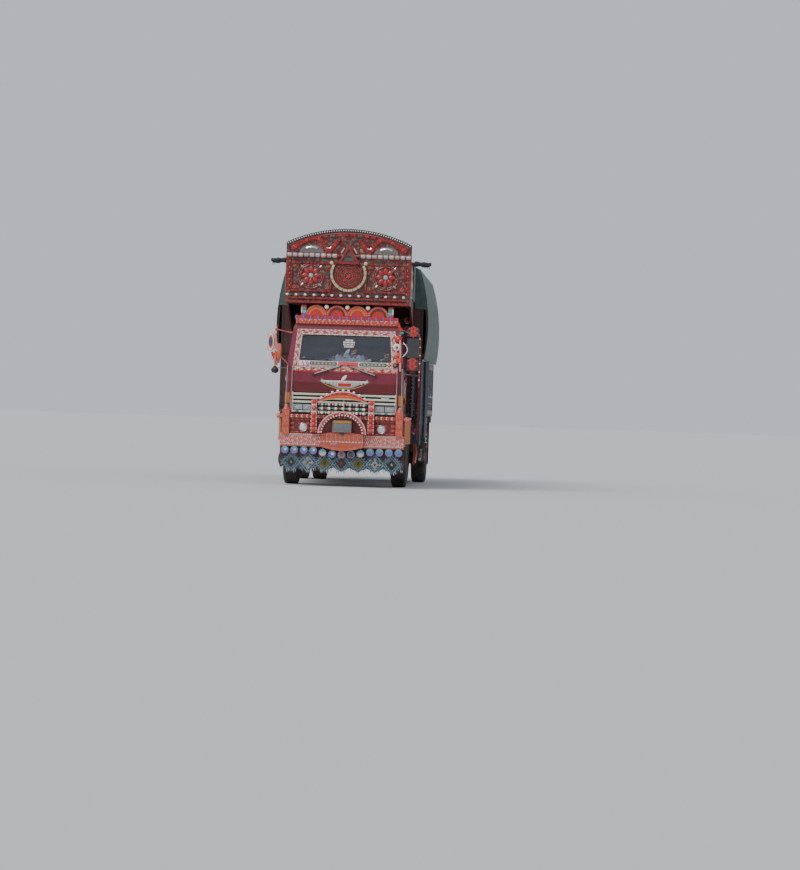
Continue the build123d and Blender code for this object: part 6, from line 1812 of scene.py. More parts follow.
# Crown: an arched board of hardwood over the cab, covered with embossed sheet metal and relief in deep red.
# A black rim carries bulbs and a segmented scroll runs over grey mounds. A ring of cream bars stands in the
# middle between two flower panels, under a gable with a plain dark field.
emboss, emboss_in, emboss_out = new_group(
    "embossed_sheet", (("Scale", number_kind, 30.0),), (("Height", number_kind), ("Mask", number_kind))
)
emboss_cell = add(
    emboss, "ShaderNodeTexVoronoi", {"Vector": object_place(emboss), "Scale": emboss_in["Scale"]}
)
emboss_value = add(emboss, "ShaderNodeSeparateColor", {0: emboss_cell.outputs["Color"]}).outputs[0]
emboss.links.new(emboss_cell.outputs["Distance"], emboss_out["Height"])
emboss.links.new(emboss_value, emboss_out["Mask"])
crown_board, board_tree, board_shader = finish("crown_sheet", {"Metallic": 0.2, "Roughness": 0.45})
board_cells = grouped(board_tree, emboss, {"Scale": 22.0})
board_patch = ranged(board_tree, board_cells["Mask"], 0.53, 0.57)
board_base = blended(board_tree, board_patch, (0.15, 0.10, 0.085, 1), (0.24, 0.010, 0.011, 1))
board_edge = ranged(board_tree, board_cells["Height"], 0.35, 0.60, 0.0, 0.8)
board_base = blended(board_tree, board_edge, board_base, (0.035, 0.012, 0.010, 1))
board_behind = ranged(board_tree, place_parts(board_tree)[1], -3.925, -3.915)
board_base = blended(board_tree, board_behind, board_base, (0.10, 0.014, 0.012, 1))
board_dust = grouped(board_tree, dust, {"Colour": board_base, "Reach": 5.0, "Amount": 0.35})
board_bump = relief(board_tree, board_cells["Height"], 0.6, 0.004)
feed(board_tree, board_shader, base_color=board_dust["Colour"], normal=board_bump)
dress(crown_board, "crown")

crown_y = -3.94
sheet_y = crown_y - 0.001
leaf_y = crown_y - 0.002
chip_y = crown_y - 0.012
frame_y = crown_y - 0.0175
crown_peak = 4.310
crown_corner = 4.065
crown_half = 1.05
lit_red = (0.42, 0.02, 0.015)
crown_parts = []
brown = (0.13, 0.08, 0.06)
crown_red = (0.27, 0.010, 0.011)
grey = (0.15, 0.125, 0.12)
silver_tone = (0.75, 0.75, 0.77)
crown_rise = crown_peak - crown_corner
rim_radius = (crown_half ** 2 + crown_rise ** 2) / (2 * crown_rise)
rim_centre = (0.0, crown_peak - rim_radius)


def rim_arc(inset, trim):
    """Line parallel to the crown's top edge: its radius is smaller by the inset, and trim cuts it short."""
    radius = rim_radius - inset
    half = np.degrees(np.arcsin((crown_half - trim) / radius))
    return arc(rim_centre, radius, 90 + half, 90 - half, 61)


def smooth(points):
    """Catmull curve through (x, z) points, eight steps between two of them."""
    p = np.asarray(points, dtype=float)
    p = np.concatenate((2 * p[:1] - p[1:2], p, 2 * p[-1:] - p[-2:-1]))
    t = np.linspace(0, 1, 9)[:-1, None]
    spans = [
        0.5 * (2 * b + (c - a) * t + (2 * a - 5 * b + 4 * c - d) * t ** 2 + (3 * b - a - 3 * c + d) * t ** 3)
        for a, b, c, d in zip(p[:-3], p[1:-2], p[2:-1], p[3:])
    ]
    return np.concatenate(spans + [p[-2:-1]])


def outward(line):
    """Unit normals of a line of (x, z) points, to the right of its way."""
    way = np.gradient(line, axis=0)
    way = way / np.linalg.norm(way, axis=1, keepdims=True)
    return np.stack((way[:, 1], -way[:, 0]), axis=1)


def scroll(line, width, depth, colour):
    """Band of even width along a line of (x, z) points, tapered at its ends."""
    s = np.linspace(0, 1, len(line))[:, None]
    half = width / 2 * np.minimum(1.0, np.minimum(s, 1 - s) * 12 + 0.25)
    shift = outward(line) * half
    return on_front(slab(line - shift, line + shift, depth, 1.6), sheet_y, colour)


def hoop(centre, outer, inner, depth, colour, y=sheet_y, start=0, end=360):
    """Raised ring, or a part of one, between two radii."""
    return on_front(
        slab(arc(centre, outer, start, end, 41), arc(centre, inner, start, end, 41), depth, 1.5), y, colour
    )


crown_parts.append(on_front(
    slab(rim_arc(0.052, 0.002), rim_arc(0.003, 0.002), 0.004, 1.6), crown_y - 0.0215, (0.012, 0.012, 0.013)
))
crown_parts.append(run(
    upright(rim_arc(0.027, 0.01), crown_y - 0.030), (0.020, 0.026, 0.016), ((0.80, 0.79, 0.76),), pitch=0.040,
    shape=bead(8, 6)
))
crown_parts.append(on_front(
    slab(rim_arc(0.075, 0.035), rim_arc(0.058, 0.035), 0.010, 1.5), leaf_y, (0.50, 0.14, 0.12)
))
block_tones = (crown_red, deep_red, brown, (0.36, 0.015, 0.012))
crown_parts.append(run(
    upright(rim_arc(0.100, 0.05), sheet_y), (0.086, 0.044, 0.012), block_tones, pitch=0.117
))
silver_parts = []
wave = (
    (0.16, 4.14), (0.25, 4.03), (0.34, 3.925), (0.42, 4.03), (0.50, 4.125), (0.585, 4.145), (0.68, 4.125),
    (0.82, 4.04), (0.965, 3.945)
)
for side in (-1, 1):
    line = smooth([(side * x, z) for x, z in wave])
    crown_parts.append(scroll(line, 0.066, 0.010, crown_red))
    crown_parts.append(run(
        upright(line, chip_y), (0.050, 0.056, 0.012), (crown_red, deep_red, (0.44, 0.02, 0.015), crown_red),
        pitch=0.054
    ))
    mound_middle = np.array((side * 0.625, 3.895))
    mound = arc(mound_middle, (0.205, 0.135), 0, 180, 33)
    mound_foot = np.stack((mound[:, 0], np.full(33, 3.893)), axis=1)
    crown_parts.append(on_front(slab(mound, mound_foot, 0.006, 2.2), sheet_y, grey))
    for share in (0.45, 0.72):
        row = (mound - mound_middle) * share + mound_middle + (0, 0.002)
        crown_parts.append(run(
            upright(row, chip_y), (0.018, 0.018, 0.012), (grey, (0.24, 0.21, 0.20), brown), pitch=0.030,
            shape=bead(6, 4)
        ))
    silver_parts.append(hoop(
        (side * 0.625, 3.793), 0.211, 0.187, 0.012, silver_tone, crown_y - 0.008, 62, 118
    ))
    silver_parts.append(hoop(
        (side * 0.340, 4.030), 0.060, 0.040, 0.012, silver_tone, crown_y - 0.020, 225, 315
    ))
    silver_parts.append(one(
        tile(), (side * 0.105, leaf_y, 3.947), (0.020, 0.110, 0.014), silver_tone, roll=side * pi / 6
    ))
    for leaf_x, leaf_z, lean_angle, tone in (
        (0.90, 4.065, -25, deep_red), (0.80, 4.115, -5, brown), (0.97, 4.01, -50, orange),
        (0.08, 4.20, 10, deep_red)
    ):
        crown_parts.append(one(
            leaf(), (side * leaf_x, leaf_y, leaf_z - 0.05), (0.045, 0.10, 0.014), tone,
            roll=-radians(lean_angle) * side
        ))
    for curl_x, curl_z, size in ((0.455, 3.985, 0.045), (0.235, 3.945, 0.040), (0.90, 3.940, 0.040)):
        crown_parts.append(hoop((side * curl_x, curl_z), size, size * 0.68, 0.010, (0.20, 0.05, 0.04)))
        crown_parts.append(button(
            (side * curl_x, leaf_y, curl_z), size * 0.9, "front", (0.34, 0.02, 0.015), 0.3, 12
        ))
segment_tones = ((0.52, 0.36, 0.32), (0.42, 0.34, 0.34), (0.56, 0.38, 0.33), (0.38, 0.26, 0.25))
segment_x = np.linspace(-1.046, 1.046, 23)
for index, (start, end) in enumerate(zip(segment_x[:-1], segment_x[1:])):
    middle = (start + end) / 2
    if abs(middle) < 0.165:
        continue
    path = [(x, crown_y - 0.008, 3.855) for x in (start, start + 0.016, middle, end - 0.016, end)]
    crown_parts.append(tinted(
        pipe(path, (0.0335, 0.035, 0.036, 0.035, 0.0335), 14), segment_tones[index % 4]
    ))
    # A small pale dome on each segment's upper front is a painted highlight.
    crown_parts.append(one(
        dome(8, 2), (middle, crown_y - 0.042, 3.866), (0.034, 0.012, 0.004), (0.80, 0.76, 0.72)
    ))
for side in (-1, 1):
    for edge_x, width, tones in (
        (1.020, 0.050, (deep_red, crown_red, (0.20, 0.01, 0.012))),
        (0.985, 0.014, ((0.50, 0.14, 0.11), deep_red))
    ):
        crown_parts.append(run(
            ((side * edge_x, crown_y - 0.0255, 3.22), (side * edge_x, crown_y - 0.0255, 3.82)),
            (0.040, width, 0.006), tones, pitch=0.048
        ))
    frame_tones = (crown_red, deep_red, (0.42, 0.02, 0.02), (0.10, 0.03, 0.03))
    for z in (3.262, 3.728):
        crown_parts.append(run(
            level(side * 0.29, side * 0.96, frame_y, z), (0.050, 0.026, 0.007), frame_tones, pitch=0.062
        ))
    for x in (0.292, 0.957):
        upright_path = ((side * x, frame_y, 3.285), (side * x, frame_y, 3.705))
        crown_parts.append(run(upright_path, (0.050, 0.026, 0.007), frame_tones, pitch=0.062, start=1))
    flower = (side * 0.625, 3.515)
    for radius, tone, size in ((0.222, brown, 0.030), (0.190, (0.30, 0.02, 0.02), 0.024)):
        crown_parts.append(hoop(flower, radius, radius - 0.022, 0.009, tone))
        crown_parts.append(run(
            upright(arc(flower, radius - 0.011, 0, 360, 49), chip_y), (size, 0.018, 0.006),
            (tone, (0.36, 0.17, 0.12), deep_red), pitch=0.048
        ))
    flower_base = (flower[0], crown_y - 0.0235, flower[1])
    crown_parts += rosette(
        flower_base, "front",
        ((8, 0.048, 0.108, 0.074, (0.36, 0.013, 0.013)), (8, 0.052, 0.070, 0.034, deep_red)), lift=0.012
    )
    crown_parts.append(button(flower_base, 0.078, "front", (0.36, 0.37, 0.40), 0.25, 18))
    for turn in (45, 135, 225, 315):
        away = np.array((cos(radians(turn)), 0, sin(radians(turn))))
        sideways = np.array((sin(radians(turn)), 0, -cos(radians(turn))))
        centre = np.array(flower_base) + away * 0.172
        silver_parts.append(one(
            leaf(), centre + (0, 0.010, 0), (0.034, 0.085, 0.014), (0.66, 0.55, 0.50), sideways, away
        ))
    for corner_x in (0.345, 0.905):
        for corner_z in (3.315, 3.68):
            corner_ring = (
                (6, 0.006, 0.040, 0.028, (0.30, 0.06, 0.03)), (4, 0.004, 0.020, 0.016, (0.45, 0.16, 0.10))
            )
            crown_parts += rosette((side * corner_x, leaf_y, corner_z), "front", corner_ring, lift=0.009)
    crown_parts.append(button(
        (side * 0.285, crown_y - 0.018, 3.735), 0.066, "front", (0.58, 0.52, 0.32), 0.35, 18
    ))
ring_middle = np.array((0.0, 3.560))
ring_segments = 21
for segment in range(ring_segments):
    start = -90 + segment * 360 / ring_segments
    outer = arc(ring_middle, 0.302, start, start + 15.4, 7)
    inner = arc(ring_middle, 0.262, start, start + 15.4, 7)
    if outer[:, 1].max() > 3.752:
        continue
    tone = (0.74, 0.73, 0.71) if segment == 7 else ((0.52, 0.42, 0.23), (0.44, 0.36, 0.21))[segment % 2]
    crown_parts.append(on_front(slab(outer, inner, 0.006, 1.5), crown_y - 0.0295, tone))
rose = np.array((0.0, 3.520))
for radius, width, tones in (
    (0.232, 0.024, (deep_red, brown)), (0.196, 0.030, (crown_red, (0.20, 0.012, 0.012), (0.40, 0.02, 0.015))),
    (0.158, 0.026, (brown, deep_red, brown)), (0.122, 0.030, (lit_red, crown_red, deep_red)),
    (0.086, 0.026, ((0.30, 0.06, 0.04), brown)),
):
    crown_parts.append(hoop(rose, radius, radius - width, 0.007, tones[0]))
    crown_parts.append(run(
        upright(arc(rose, radius - width / 2, 0, 360, 65), crown_y - 0.010), (0.026, width * 0.8, 0.008),
        tones, pitch=0.034
    ))
crown_parts += rosette(
    (0.0, sheet_y, 3.52), "front",
    ((8, 0.010, 0.050, 0.036, crown_red), (6, 0.004, 0.026, 0.022, (0.40, 0.13, 0.05))), lift=0.014
)
gable = np.array(((-0.185, 3.722), (0.185, 3.722), (0.0, 4.045), (-0.185, 3.722)))
gable_in = np.array(((-0.128, 3.757), (0.128, 3.757), (0.0, 3.975), (-0.128, 3.757)))
crown_parts.append(on_front(slab(gable, gable_in, 0.008, 1.5), crown_y - 0.0455, crown_red))
crown_parts.append(on_front(
    slab(np.array(((-0.105, 3.766), (0.105, 3.766))), np.array(((-0.001, 3.95), (0.001, 3.95))), 0.003, 1.0),
    crown_y - 0.0298, (0.06, 0.075, 0.065)
))
crown_parts.append(one(leaf(), (0.235, leaf_y, 3.905), (0.060, 0.090, 0.012), (0.55, 0.20, 0.03), roll=0.5))
crown_parts.append(one(leaf(), (0.200, leaf_y, 3.900), (0.045, 0.080, 0.012), olive, roll=-0.4))
for start, size, tone in ((0.0, 0.052, (0.80, 0.79, 0.77)), (0.075, 0.034, (0.05, 0.06, 0.10))):
    row_x = np.arange(-1.0125 + start, 1.02, 0.150)
    centres = np.stack((row_x, np.full(len(row_x), crown_y - 0.036), np.full(len(row_x), 3.190)), axis=1)
    crown_parts.append(one(bead(12, 8), centres, (size, size * 0.8, size), tone))
for band_z, lift, tones in (
    (3.140, 0.0215, (deep_red, (0.30, 0.02, 0.015))),
    (3.072, 0.0295, (deep_red, crown_red, (0.34, 0.02, 0.02)))
):
    crown_parts.append(run(
        level(-1.045, 1.045, crown_y - lift, band_z), (0.096, 0.030, 0.005), tones, pitch=0.105
    ))
piece("crown_relief", crown_parts, enamel, closed=False)
piece("crown_silver", silver_parts, bright_metal, closed=False)

# Pole ends: the pole behind the crown sticks out on both sides. Black yarn is wound round its ends in uneven
# turns, and the loose ends of the yarn hang down.
wrap_parts = []
for side in (-1, 1):
    wrap_x = np.linspace(1.075, 1.335, 14)
    wrap_path = [(side * x, -3.220, 3.790 - 0.10 * max(0.0, x - 1.15)) for x in wrap_x]
    wrap_size = 0.043 + 0.007 * np.sin(np.arange(14) * 0.95) - 0.020 * (np.arange(14) > 12)
    wrap_parts.append(tinted(pipe(wrap_path, wrap_size, 9), black_yarn))
    for x, low in ((1.205, 3.735), (1.290, 3.715), (1.322, 3.705)):
        tail = (
            (side * x, -3.232, 3.79), (side * (x + 0.008), -3.240, 3.76), (side * (x + 0.004), -3.236, low)
        )
        wrap_parts.append(tinted(pipe(tail, (0.012, 0.009, 0.004), 6), black_yarn))
piece("pole_wraps", wrap_parts, yarn, closed=False)

# Crown sides: seven upright panels on each side of the box behind the crown, painted in low relief, with a
# cream and red frame and a flower in each.
side_panel_parts = []
for side in (-1, 1):
    for index in range(7):
        centre_y = -3.80 + 0.235 * index
        for low, high, tone in ((0.0, 0.014, cream), (0.014, 0.030, deep_red)):
            outer = rectangle((centre_y, 3.42), (0.105 - low, 0.225 - low))
            inner = rectangle((centre_y, 3.42), (0.105 - high, 0.225 - high))
            part = on_left(slab(outer, inner, 0.005), 1.050, tone)
            side_panel_parts.append(part if side > 0 else other_side(part))
        flower = rosette(
            (1.050, centre_y, 3.42), "left",
            ((8, 0.016, 0.055, 0.035, (teal, orange, pink)[index % 3]), (6, 0.008, 0.028, 0.02, white)),
            lift=0.008
        )
        side_panel_parts += flower if side > 0 else [other_side(part) for part in flower]
piece("crown_side_panels", side_panel_parts, enamel, closed=False)


# Load body: boarded walls between steel posts with arched heads, painted bay by bay. Each bay has a raised
# arch, a flower over sprays of leaves, two lozenge belts and a row of panels, and strips cover the posts.
body_start = -2.168
bay_pitch = 0.6389
bay_count = 10


def wall_tones(tree):
    """Bay colours by the place along the wall: each bay's boards take blue, green, maroon or grey in turn."""
    y = place_parts(tree)[1]
    bay = maths(tree, "DIVIDE", maths(tree, "ADD", y, -body_start), bay_pitch * 4)
    ramp = add(tree, "ShaderNodeValToRGB", {0: maths(tree, "FRACT", bay)})
    ramp.color_ramp.interpolation = "CONSTANT"
    tones = (
        (0.0, (0.05, 0.10, 0.16, 1)), (0.25, (0.16, 0.02, 0.035, 1)), (0.5, (0.05, 0.11, 0.085, 1)),
        (0.75, (0.14, 0.145, 0.15, 1))
    )
    ramp.color_ramp.elements[0].color = tones[0][1]
    ramp.color_ramp.elements[1].position = tones[1][0]
    ramp.color_ramp.elements[1].color = tones[1][1]
    for position, tone in tones[2:]:
        ramp.color_ramp.elements.new(position).color = tone
    return ramp.outputs[0]


wall_paint = painted(
    "wall_paint", (0.1, 0.1, 0.1, 1), rough=0.45, coat=0.15, reach=2.6, dirt=0.55, chip=0.3,
    colour_map=wall_tones
)
dress(wall_paint, "side_wall_left", "side_wall_right")


def front_wall_tones(tree):
    """Dark red boards crossed by thin near-black curved lines."""
    inputs = {"Vector": object_place(tree), "Scale": 1.6, "Distortion": 0.2}
    wave = add(tree, "ShaderNodeTexWave", inputs, bands_direction="X")
    return blended(
        tree, ranged(tree, wave.outputs[0], 0.02, 0.08), (0.008, 0.006, 0.006, 1), (0.055, 0.010, 0.010, 1)
    )


dress(
    painted(
        "front_wall_paint", (0.1, 0.02, 0.02, 1), rough=0.5, reach=2.6, dirt=0.4, colour_map=front_wall_tones
    ),
    "body_front_wall"
)
deck_wood = painted(
    "deck_wood", (0.16, 0.10, 0.055, 1), rough=0.8, reach=1.9, dirt=0.6, grain=9.0, spread=0.35, bump=0.3,
    chip=0.35, under=(0.08, 0.05, 0.03, 1)
)
dress(deck_wood, "load_deck")
dress(
    painted("gate_paint", (0.10, 0.015, 0.02, 1), rough=0.45, coat=0.15, reach=2.6, dirt=0.5, chip=0.3),
    "tailgate"
)
dress(
    painted("locker_paint", (0.05, 0.09, 0.12, 1), rough=0.45, coat=0.15, reach=1.8, dirt=0.6, chip=0.3),
    "side_lockers"
)
dress(
    painted("bow_steel", (0.10, 0.09, 0.085, 1), rough=0.6, metal=0.4, reach=4.5, dirt=0.4, chip=0.5),
    "tarp_bows"
)
dress(painted("pole_black", (0.015, 0.014, 0.014, 1), rough=0.6, reach=4.5, dirt=0.3, chip=0.3), "tarp_poles")

board_x = 1.1988
rail_face_x = 1.2155
post_face_x = 1.2205
wall_parts = []
left_out = (1, 0, 0)
navy = (0.06, 0.13, 0.30)
post_tones = (navy, (0.34, 0.35, 0.36), (0.05, 0.20, 0.12), (0.36, 0.05, 0.09))
bay_tones = (
    ((0.07, 0.16, 0.34), cream, coral, white),
    ((0.30, 0.04, 0.08), (0.40, 0.38, 0.36), teal, pale_pink),
    ((0.05, 0.20, 0.14), peach, bright_red, (0.70, 0.62, 0.30)),
    ((0.28, 0.29, 0.30), coral, blue, white),
)
for bay in range(bay_count):
    middle_y = body_start + (bay + 0.5) * bay_pitch
    field, edge, flower_tone, light_tone = bay_tones[bay % 4]
    half = bay_pitch / 2 - 0.032
    arch_high, arch_low = (arc((middle_y, 1.91), half - inset, 0, 180, 25) for inset in (0.018, 0.046))
    legs_out, legs_in = (
        np.concatenate(
            (line[:1] * (1, 0) + (0, 1.625), line, line[-1:] * (1, 0) + (0, 1.625))
        ) for line in (arch_high, arch_low)
    )
    wall_parts.append(on_left(slab(legs_out, legs_in, 0.006), 1.1985, edge))
    face_z = 1.83
    wall_parts += rosette(
        (board_x, middle_y, face_z), "left",
        (
            (12, 0.085, 0.085, 0.050, field), (10, 0.045, 0.070, 0.046, flower_tone),
            (8, 0.012, 0.050, 0.034, light_tone)
        ),
        lift=0.007
    )
    wall_parts.append(button((1.2005, middle_y, face_z), 0.046, "left", (0.75, 0.70, 0.62), 0.2, 14))
    for spray in (-1, 1):
        for leaf_index in range(3):
            lean = radians(spray * (40 + 30 * leaf_index))
            place = spots(
                (board_x, middle_y + spray * 0.045, 1.655), (0.040, 0.100, 0.006), (0, cos(lean), -sin(lean)),
                (0, sin(lean), cos(lean))
            )
            wall_parts.append(copies(leaf(), place, (green, (0.08, 0.26, 0.10), olive)[leaf_index]))
    field_path = ((board_x, middle_y - half + 0.02, 1.455), (board_x, middle_y + half - 0.02, 1.455))
    field_tones = (field, edge, flower_tone, edge, field)
    lower_field = along(field_path, 0.118, (0.100, 0.17, 0.004), left_out)
    wall_parts.append(copies(tile(), lower_field, np.resize(field_tones, (len(lower_field), 3))))
    for place in lower_field:
        centre = (1.2030, place[1, 3], 1.455)
        wall_parts += rosette(centre, "left", ((4, 0.006, 0.058, 0.038, light_tone),), lift=0.005)
    for belt_x, belt_z, pitch, size, tones in (
        (rail_face_x, 1.300, 0.040, 0.030, (coral, white, blue, (0.60, 0.45, 0.08))),
        (1.2125, 1.580, 0.046, 0.026, (white, bright_red, teal)),
    ):
        path = ((belt_x, middle_y - half, belt_z), (belt_x, middle_y + half, belt_z))
        wall_parts.append(run(path, (size, size, 0.004), tones, left_out, pitch, pi / 4))
    for shift in (0.045 - half, half - 0.045):
        spandrel = (rail_face_x, middle_y + shift, 2.115)
        wall_parts += rosette(spandrel, "left", ((5, 0.004, 0.036, 0.024, light_tone),), lift=0.004)
for post in range(bay_count + 1):
    post_y = body_start + post * bay_pitch
    width = 0.030 if post in (0, bay_count) else 0.052
    shift = {0: 0.016, bay_count: -0.016}.get(post, 0.0)
    path = ((post_face_x, post_y + shift, 1.28), (post_face_x, post_y + shift, 2.21))
    wall_parts.append(run(path, (0.044, width * 0.8, 0.004), post_tones, left_out, 0.058, start=post))
rail = ((post_face_x, -2.13, 2.20), (post_face_x, 4.18, 2.20))
wall_parts.append(run(rail, (0.056, 0.036, 0.003), (bright_red, cream, teal, cream), left_out, 0.070))
piece("wall_ornament_left", wall_parts, enamel, closed=False)
piece(
    "wall_ornament_right", [other_side(part) for part in wall_parts], enamel, closed=False
)

# Lockers: steel boxes under the body, five panels a side. Each panel carries a raised ring, a flower and four
# small rosettes, and rows of chips run along the upper and lower edges.
locker_z = 0.975
locker_x = 1.2102
locker_edge_x = 1.2105
locker_count = 5
locker_front_y = -2.08
locker_length = (1.307 - locker_front_y) / locker_count
locker_parts = []
for index in range(locker_count):
    middle_y = locker_front_y + (index + 0.5) * locker_length
    ring, ring_in = (arc((middle_y, locker_z), radius, 0, 360, 41) for radius in (0.176, 0.156))
    locker_parts.append(on_left(slab(ring, ring_in, 0.010), locker_x, (coral, cream)[index % 2]))
    locker_parts += rosette(
        (locker_x, middle_y, locker_z), "left",
        (
            (10, 0.055, 0.085, 0.046, (pink, blue, orange, teal, coral)[index]),
            (8, 0.018, 0.050, 0.034, white)
        ),
        lift=0.008
    )
    locker_parts.append(button((1.2115, middle_y, locker_z), 0.046, "left", bright_red, 0.2))
    for corner_y in (-1, 1):
        for corner_z in (-1, 1):
            centre = (1.2205, middle_y + corner_y * 0.255, locker_z + corner_z * 0.165)
            locker_parts += rosette(
                centre, "left", ((6, 0.008, 0.045, 0.030, (0.60, 0.45, 0.10)),), lift=0.004
            )
for z, tones in ((1.195, (bright_red, white)), (0.748, (white, blue, coral))):
    locker_parts.append(run(
        ((locker_edge_x, -2.07, z), (locker_edge_x, 1.30, z)), (0.042, 0.024, 0.005), tones, left_out, 0.050
    ))
piece("locker_ornament", both_sides(locker_parts), enamel, closed=False)

# Discs on the body's front wall: two a side over the cab's roof, pressed from sheet metal and painted, pale
# with a domed red middle.
wall_disc_parts = []
for side in (-1, 1):
    for disc_z in (2.704, 2.856):
        centre = (side * 0.95, -2.2905, disc_z)
        wall_disc_parts.append(button(centre, 0.118, "front", (0.78, 0.62, 0.60), 0.10, 22))
        wall_disc_parts.append(button(
            (centre[0], centre[1] - 0.006, centre[2]), 0.080, "front", (0.70, 0.03, 0.02), 0.22, 18
        ))
piece("wall_discs", wall_disc_parts, enamel, closed=False)

# Tailgate: six framed panels with a flower each and three rows of chips between them, all of them fixed to
# the gate, so they swing down with it.
gate_parts = []
for column in range(3):
    for row, (low, high) in enumerate(((1.352, 1.706), (1.786, 2.150))):
        centre_x = (column - 1) * 0.718
        field, edge, flower_tone, light_tone = bay_tones[(column + 2 * row) % 4]
        middle = (low + high) / 2
        half_height = (high - low) / 2 - 0.014
        outer = rectangle((centre_x, middle), (0.310, half_height))
        inner = rectangle((centre_x, middle), (0.310 * 0.93, half_height * 0.86))
        gate_parts.append(on_rear(slab(outer, inner, 0.006), 4.3643, edge))
        gate_parts += rosette(
            (-centre_x, 4.3646, middle), "rear",
            ((12, 0.060, 0.080, 0.048, flower_tone), (8, 0.020, 0.060, 0.040, light_tone)), lift=0.008
        )
        gate_parts.append(button((-centre_x, 4.366, middle), 0.050, "rear", (0.60, 0.42, 0.08), 0.2))
for z in (1.311, 1.746, 2.187):
    gate_parts.append(run(
        level(1.10, -1.10, 4.3645, z), (0.044, 0.034, 0.005), (coral, white, navy), (0, 1, 0), 0.056
    ))
piece("gate_ornament", gate_parts, enamel, "tailgate", closed=False)

# Tarpaulin: heavy waxed cotton, dark grey green, pulled over eight bows and roped down at the hem. It sags a
# little between the bows, wrinkles towards the ropes, and a narrower hood of it covers the crown's box.
tarp_front = -2.26
tarp_back = 4.313
bow_places = np.linspace(-2.1965, 4.243, 8)


def circle_through(a, b, c, count):
    """Points of the circle through three points, from the first to the last by the second."""
    a, b, c = (np.asarray(p, dtype=float) for p in (a, b, c))
    d = 2 * (a[0] * (b[1] - c[1]) + b[0] * (c[1] - a[1]) + c[0] * (a[1] - b[1]))
    ux = ((a @ a) * (b[1] - c[1]) + (b @ b) * (c[1] - a[1]) + (c @ c) * (a[1] - b[1])) / d
    uy = ((a @ a) * (c[0] - b[0]) + (b @ b) * (a[0] - c[0]) + (c @ c) * (b[0] - a[0])) / d
    turns = np.unwrap([np.arctan2(p[1] - uy, p[0] - ux) for p in (a, b, c)])
    radius = np.hypot(a[0] - ux, a[1] - uy)
    turn = np.linspace(turns[0], turns[2], count)
    return np.stack((ux + radius * np.cos(turn), uy + radius * np.sin(turn)), axis=1)


def cover_line(inset, hem_z):
    """Half-round section of the cover from the right hem over the roof to the left hem."""
    side_line = circle_through(
        (1.262 - inset, 2.170), (1.300 - inset, 2.980), (1.150 - inset, 3.740 - inset / 2), 58
    )
    side_line = side_line[side_line[:, 1] > hem_z]
    roof = circle_through(
        (1.150 - inset, 3.740 - inset / 2), (0, 3.980 - inset), (-1.150 + inset, 3.740 - inset / 2), 64
    )[1:-1]
    mirror = side_line[::-1] * (-1, 1)
    return np.concatenate((side_line, roof, mirror))


def cloth_shell(outer, inner):
    """Thin closed sheet from two grids of points, outside and inside, joined along the open edges."""
    rows, columns = outer.shape[:2]
    points = np.concatenate((outer.reshape(-1, 3), inner.reshape(-1, 3)))
    count = rows * columns
    top = quads(rows, columns)
    low = top[:, ::-1] + count
    ring = np.concatenate(
        (
            np.arange(columns), np.arange(1, rows) * columns + columns - 1,
            (rows - 1) * columns + np.arange(columns - 2, -1, -1), np.arange(rows - 2, 0, -1) * columns
        )
    )
    after = np.roll(ring, -1)
    rim = np.stack((ring, ring + count, after + count, after), axis=1)
    return points, np.concatenate((top, low, rim)), no_triangles


tarp_cloth = cloth(
    "tarpaulin_cloth", (0.040, 0.080, 0.070, 1), (0.066, 0.104, 0.092, 1), 160.0, rough=0.72, sheen=0.15,
    patch=0.9, spread=0.22, dirt=0.3, reach=4.2
)
tarp_tint = (0.06, 0.08, 0.07)
tarp_thick = 0.004
section = cover_line(0.002, 2.17)
section_out = outward(section)
lengthwise = np.linspace(tarp_front + 0.002, tarp_back, 260)
bow_pitch = bow_places[1] - bow_places[0]
bay_share = np.clip((lengthwise - bow_places[0]) / bow_pitch, 0, 7)
sag_wave = np.sin(pi * (bay_share % 1)) ** 2
height = section[:, 1]
roof_share = np.clip((height - 3.70) / 0.15, 0, 1)
side_share = np.clip((3.70 - height) / 0.5, 0, 1) * np.clip((height - 2.20) / 0.6, 0, 1)
sag = sag_wave[:, None] * (0.018 * roof_share + 0.030 * side_share)[None, :]
wrinkle = 0.0
for angle, pitch, size in (
    (0.35, 0.31, 0.0050), (-0.5, 0.23, 0.0040), (0.9, 0.47, 0.0060), (0.1, 0.13, 0.0022)
):
    phase = (lengthwise[:, None] * cos(angle) + height[None, :] * sin(angle)) / pitch * 2 * pi
    wrinkle = wrinkle + size * np.sin(phase + 1.7 * np.sin(phase * 0.37 + angle))
hem_share = np.clip((2.75 - height) / 0.5, 0, 1)[None, :]
rope_pull = 0.010 * hem_share * np.cos(2 * pi * lengthwise[:, None] / 0.46)
inward = np.maximum(
    sag + 0.6 * np.abs(wrinkle) * (0.35 + 0.65 * sag_wave[:, None]) + np.maximum(rope_pull, 0) * 0.8, 0.0
)


def swept(line, out, depths, y):
    """Grid of points: the section at every place along the truck, moved inwards by a depth."""
    x = line[None, :, 0] - out[None, :, 0] * depths
    z = line[None, :, 1] - out[None, :, 1] * depths
    return np.stack((x, np.broadcast_to(y[:, None], x.shape), z), axis=-1)


def canvas(name, shell, hides=()):
    """One sheet of the tarpaulin, from its outer and inner grids."""
    return piece(name, [tinted(cloth_shell(*shell), tarp_tint)], tarp_cloth, hides=hides)


cover_shell = [swept(section, section_out, inward + deeper, lengthwise) for deeper in (0.0, tarp_thick)]
cover = canvas("tarpaulin_cover", cover_shell, hides=("tarpaulin",))


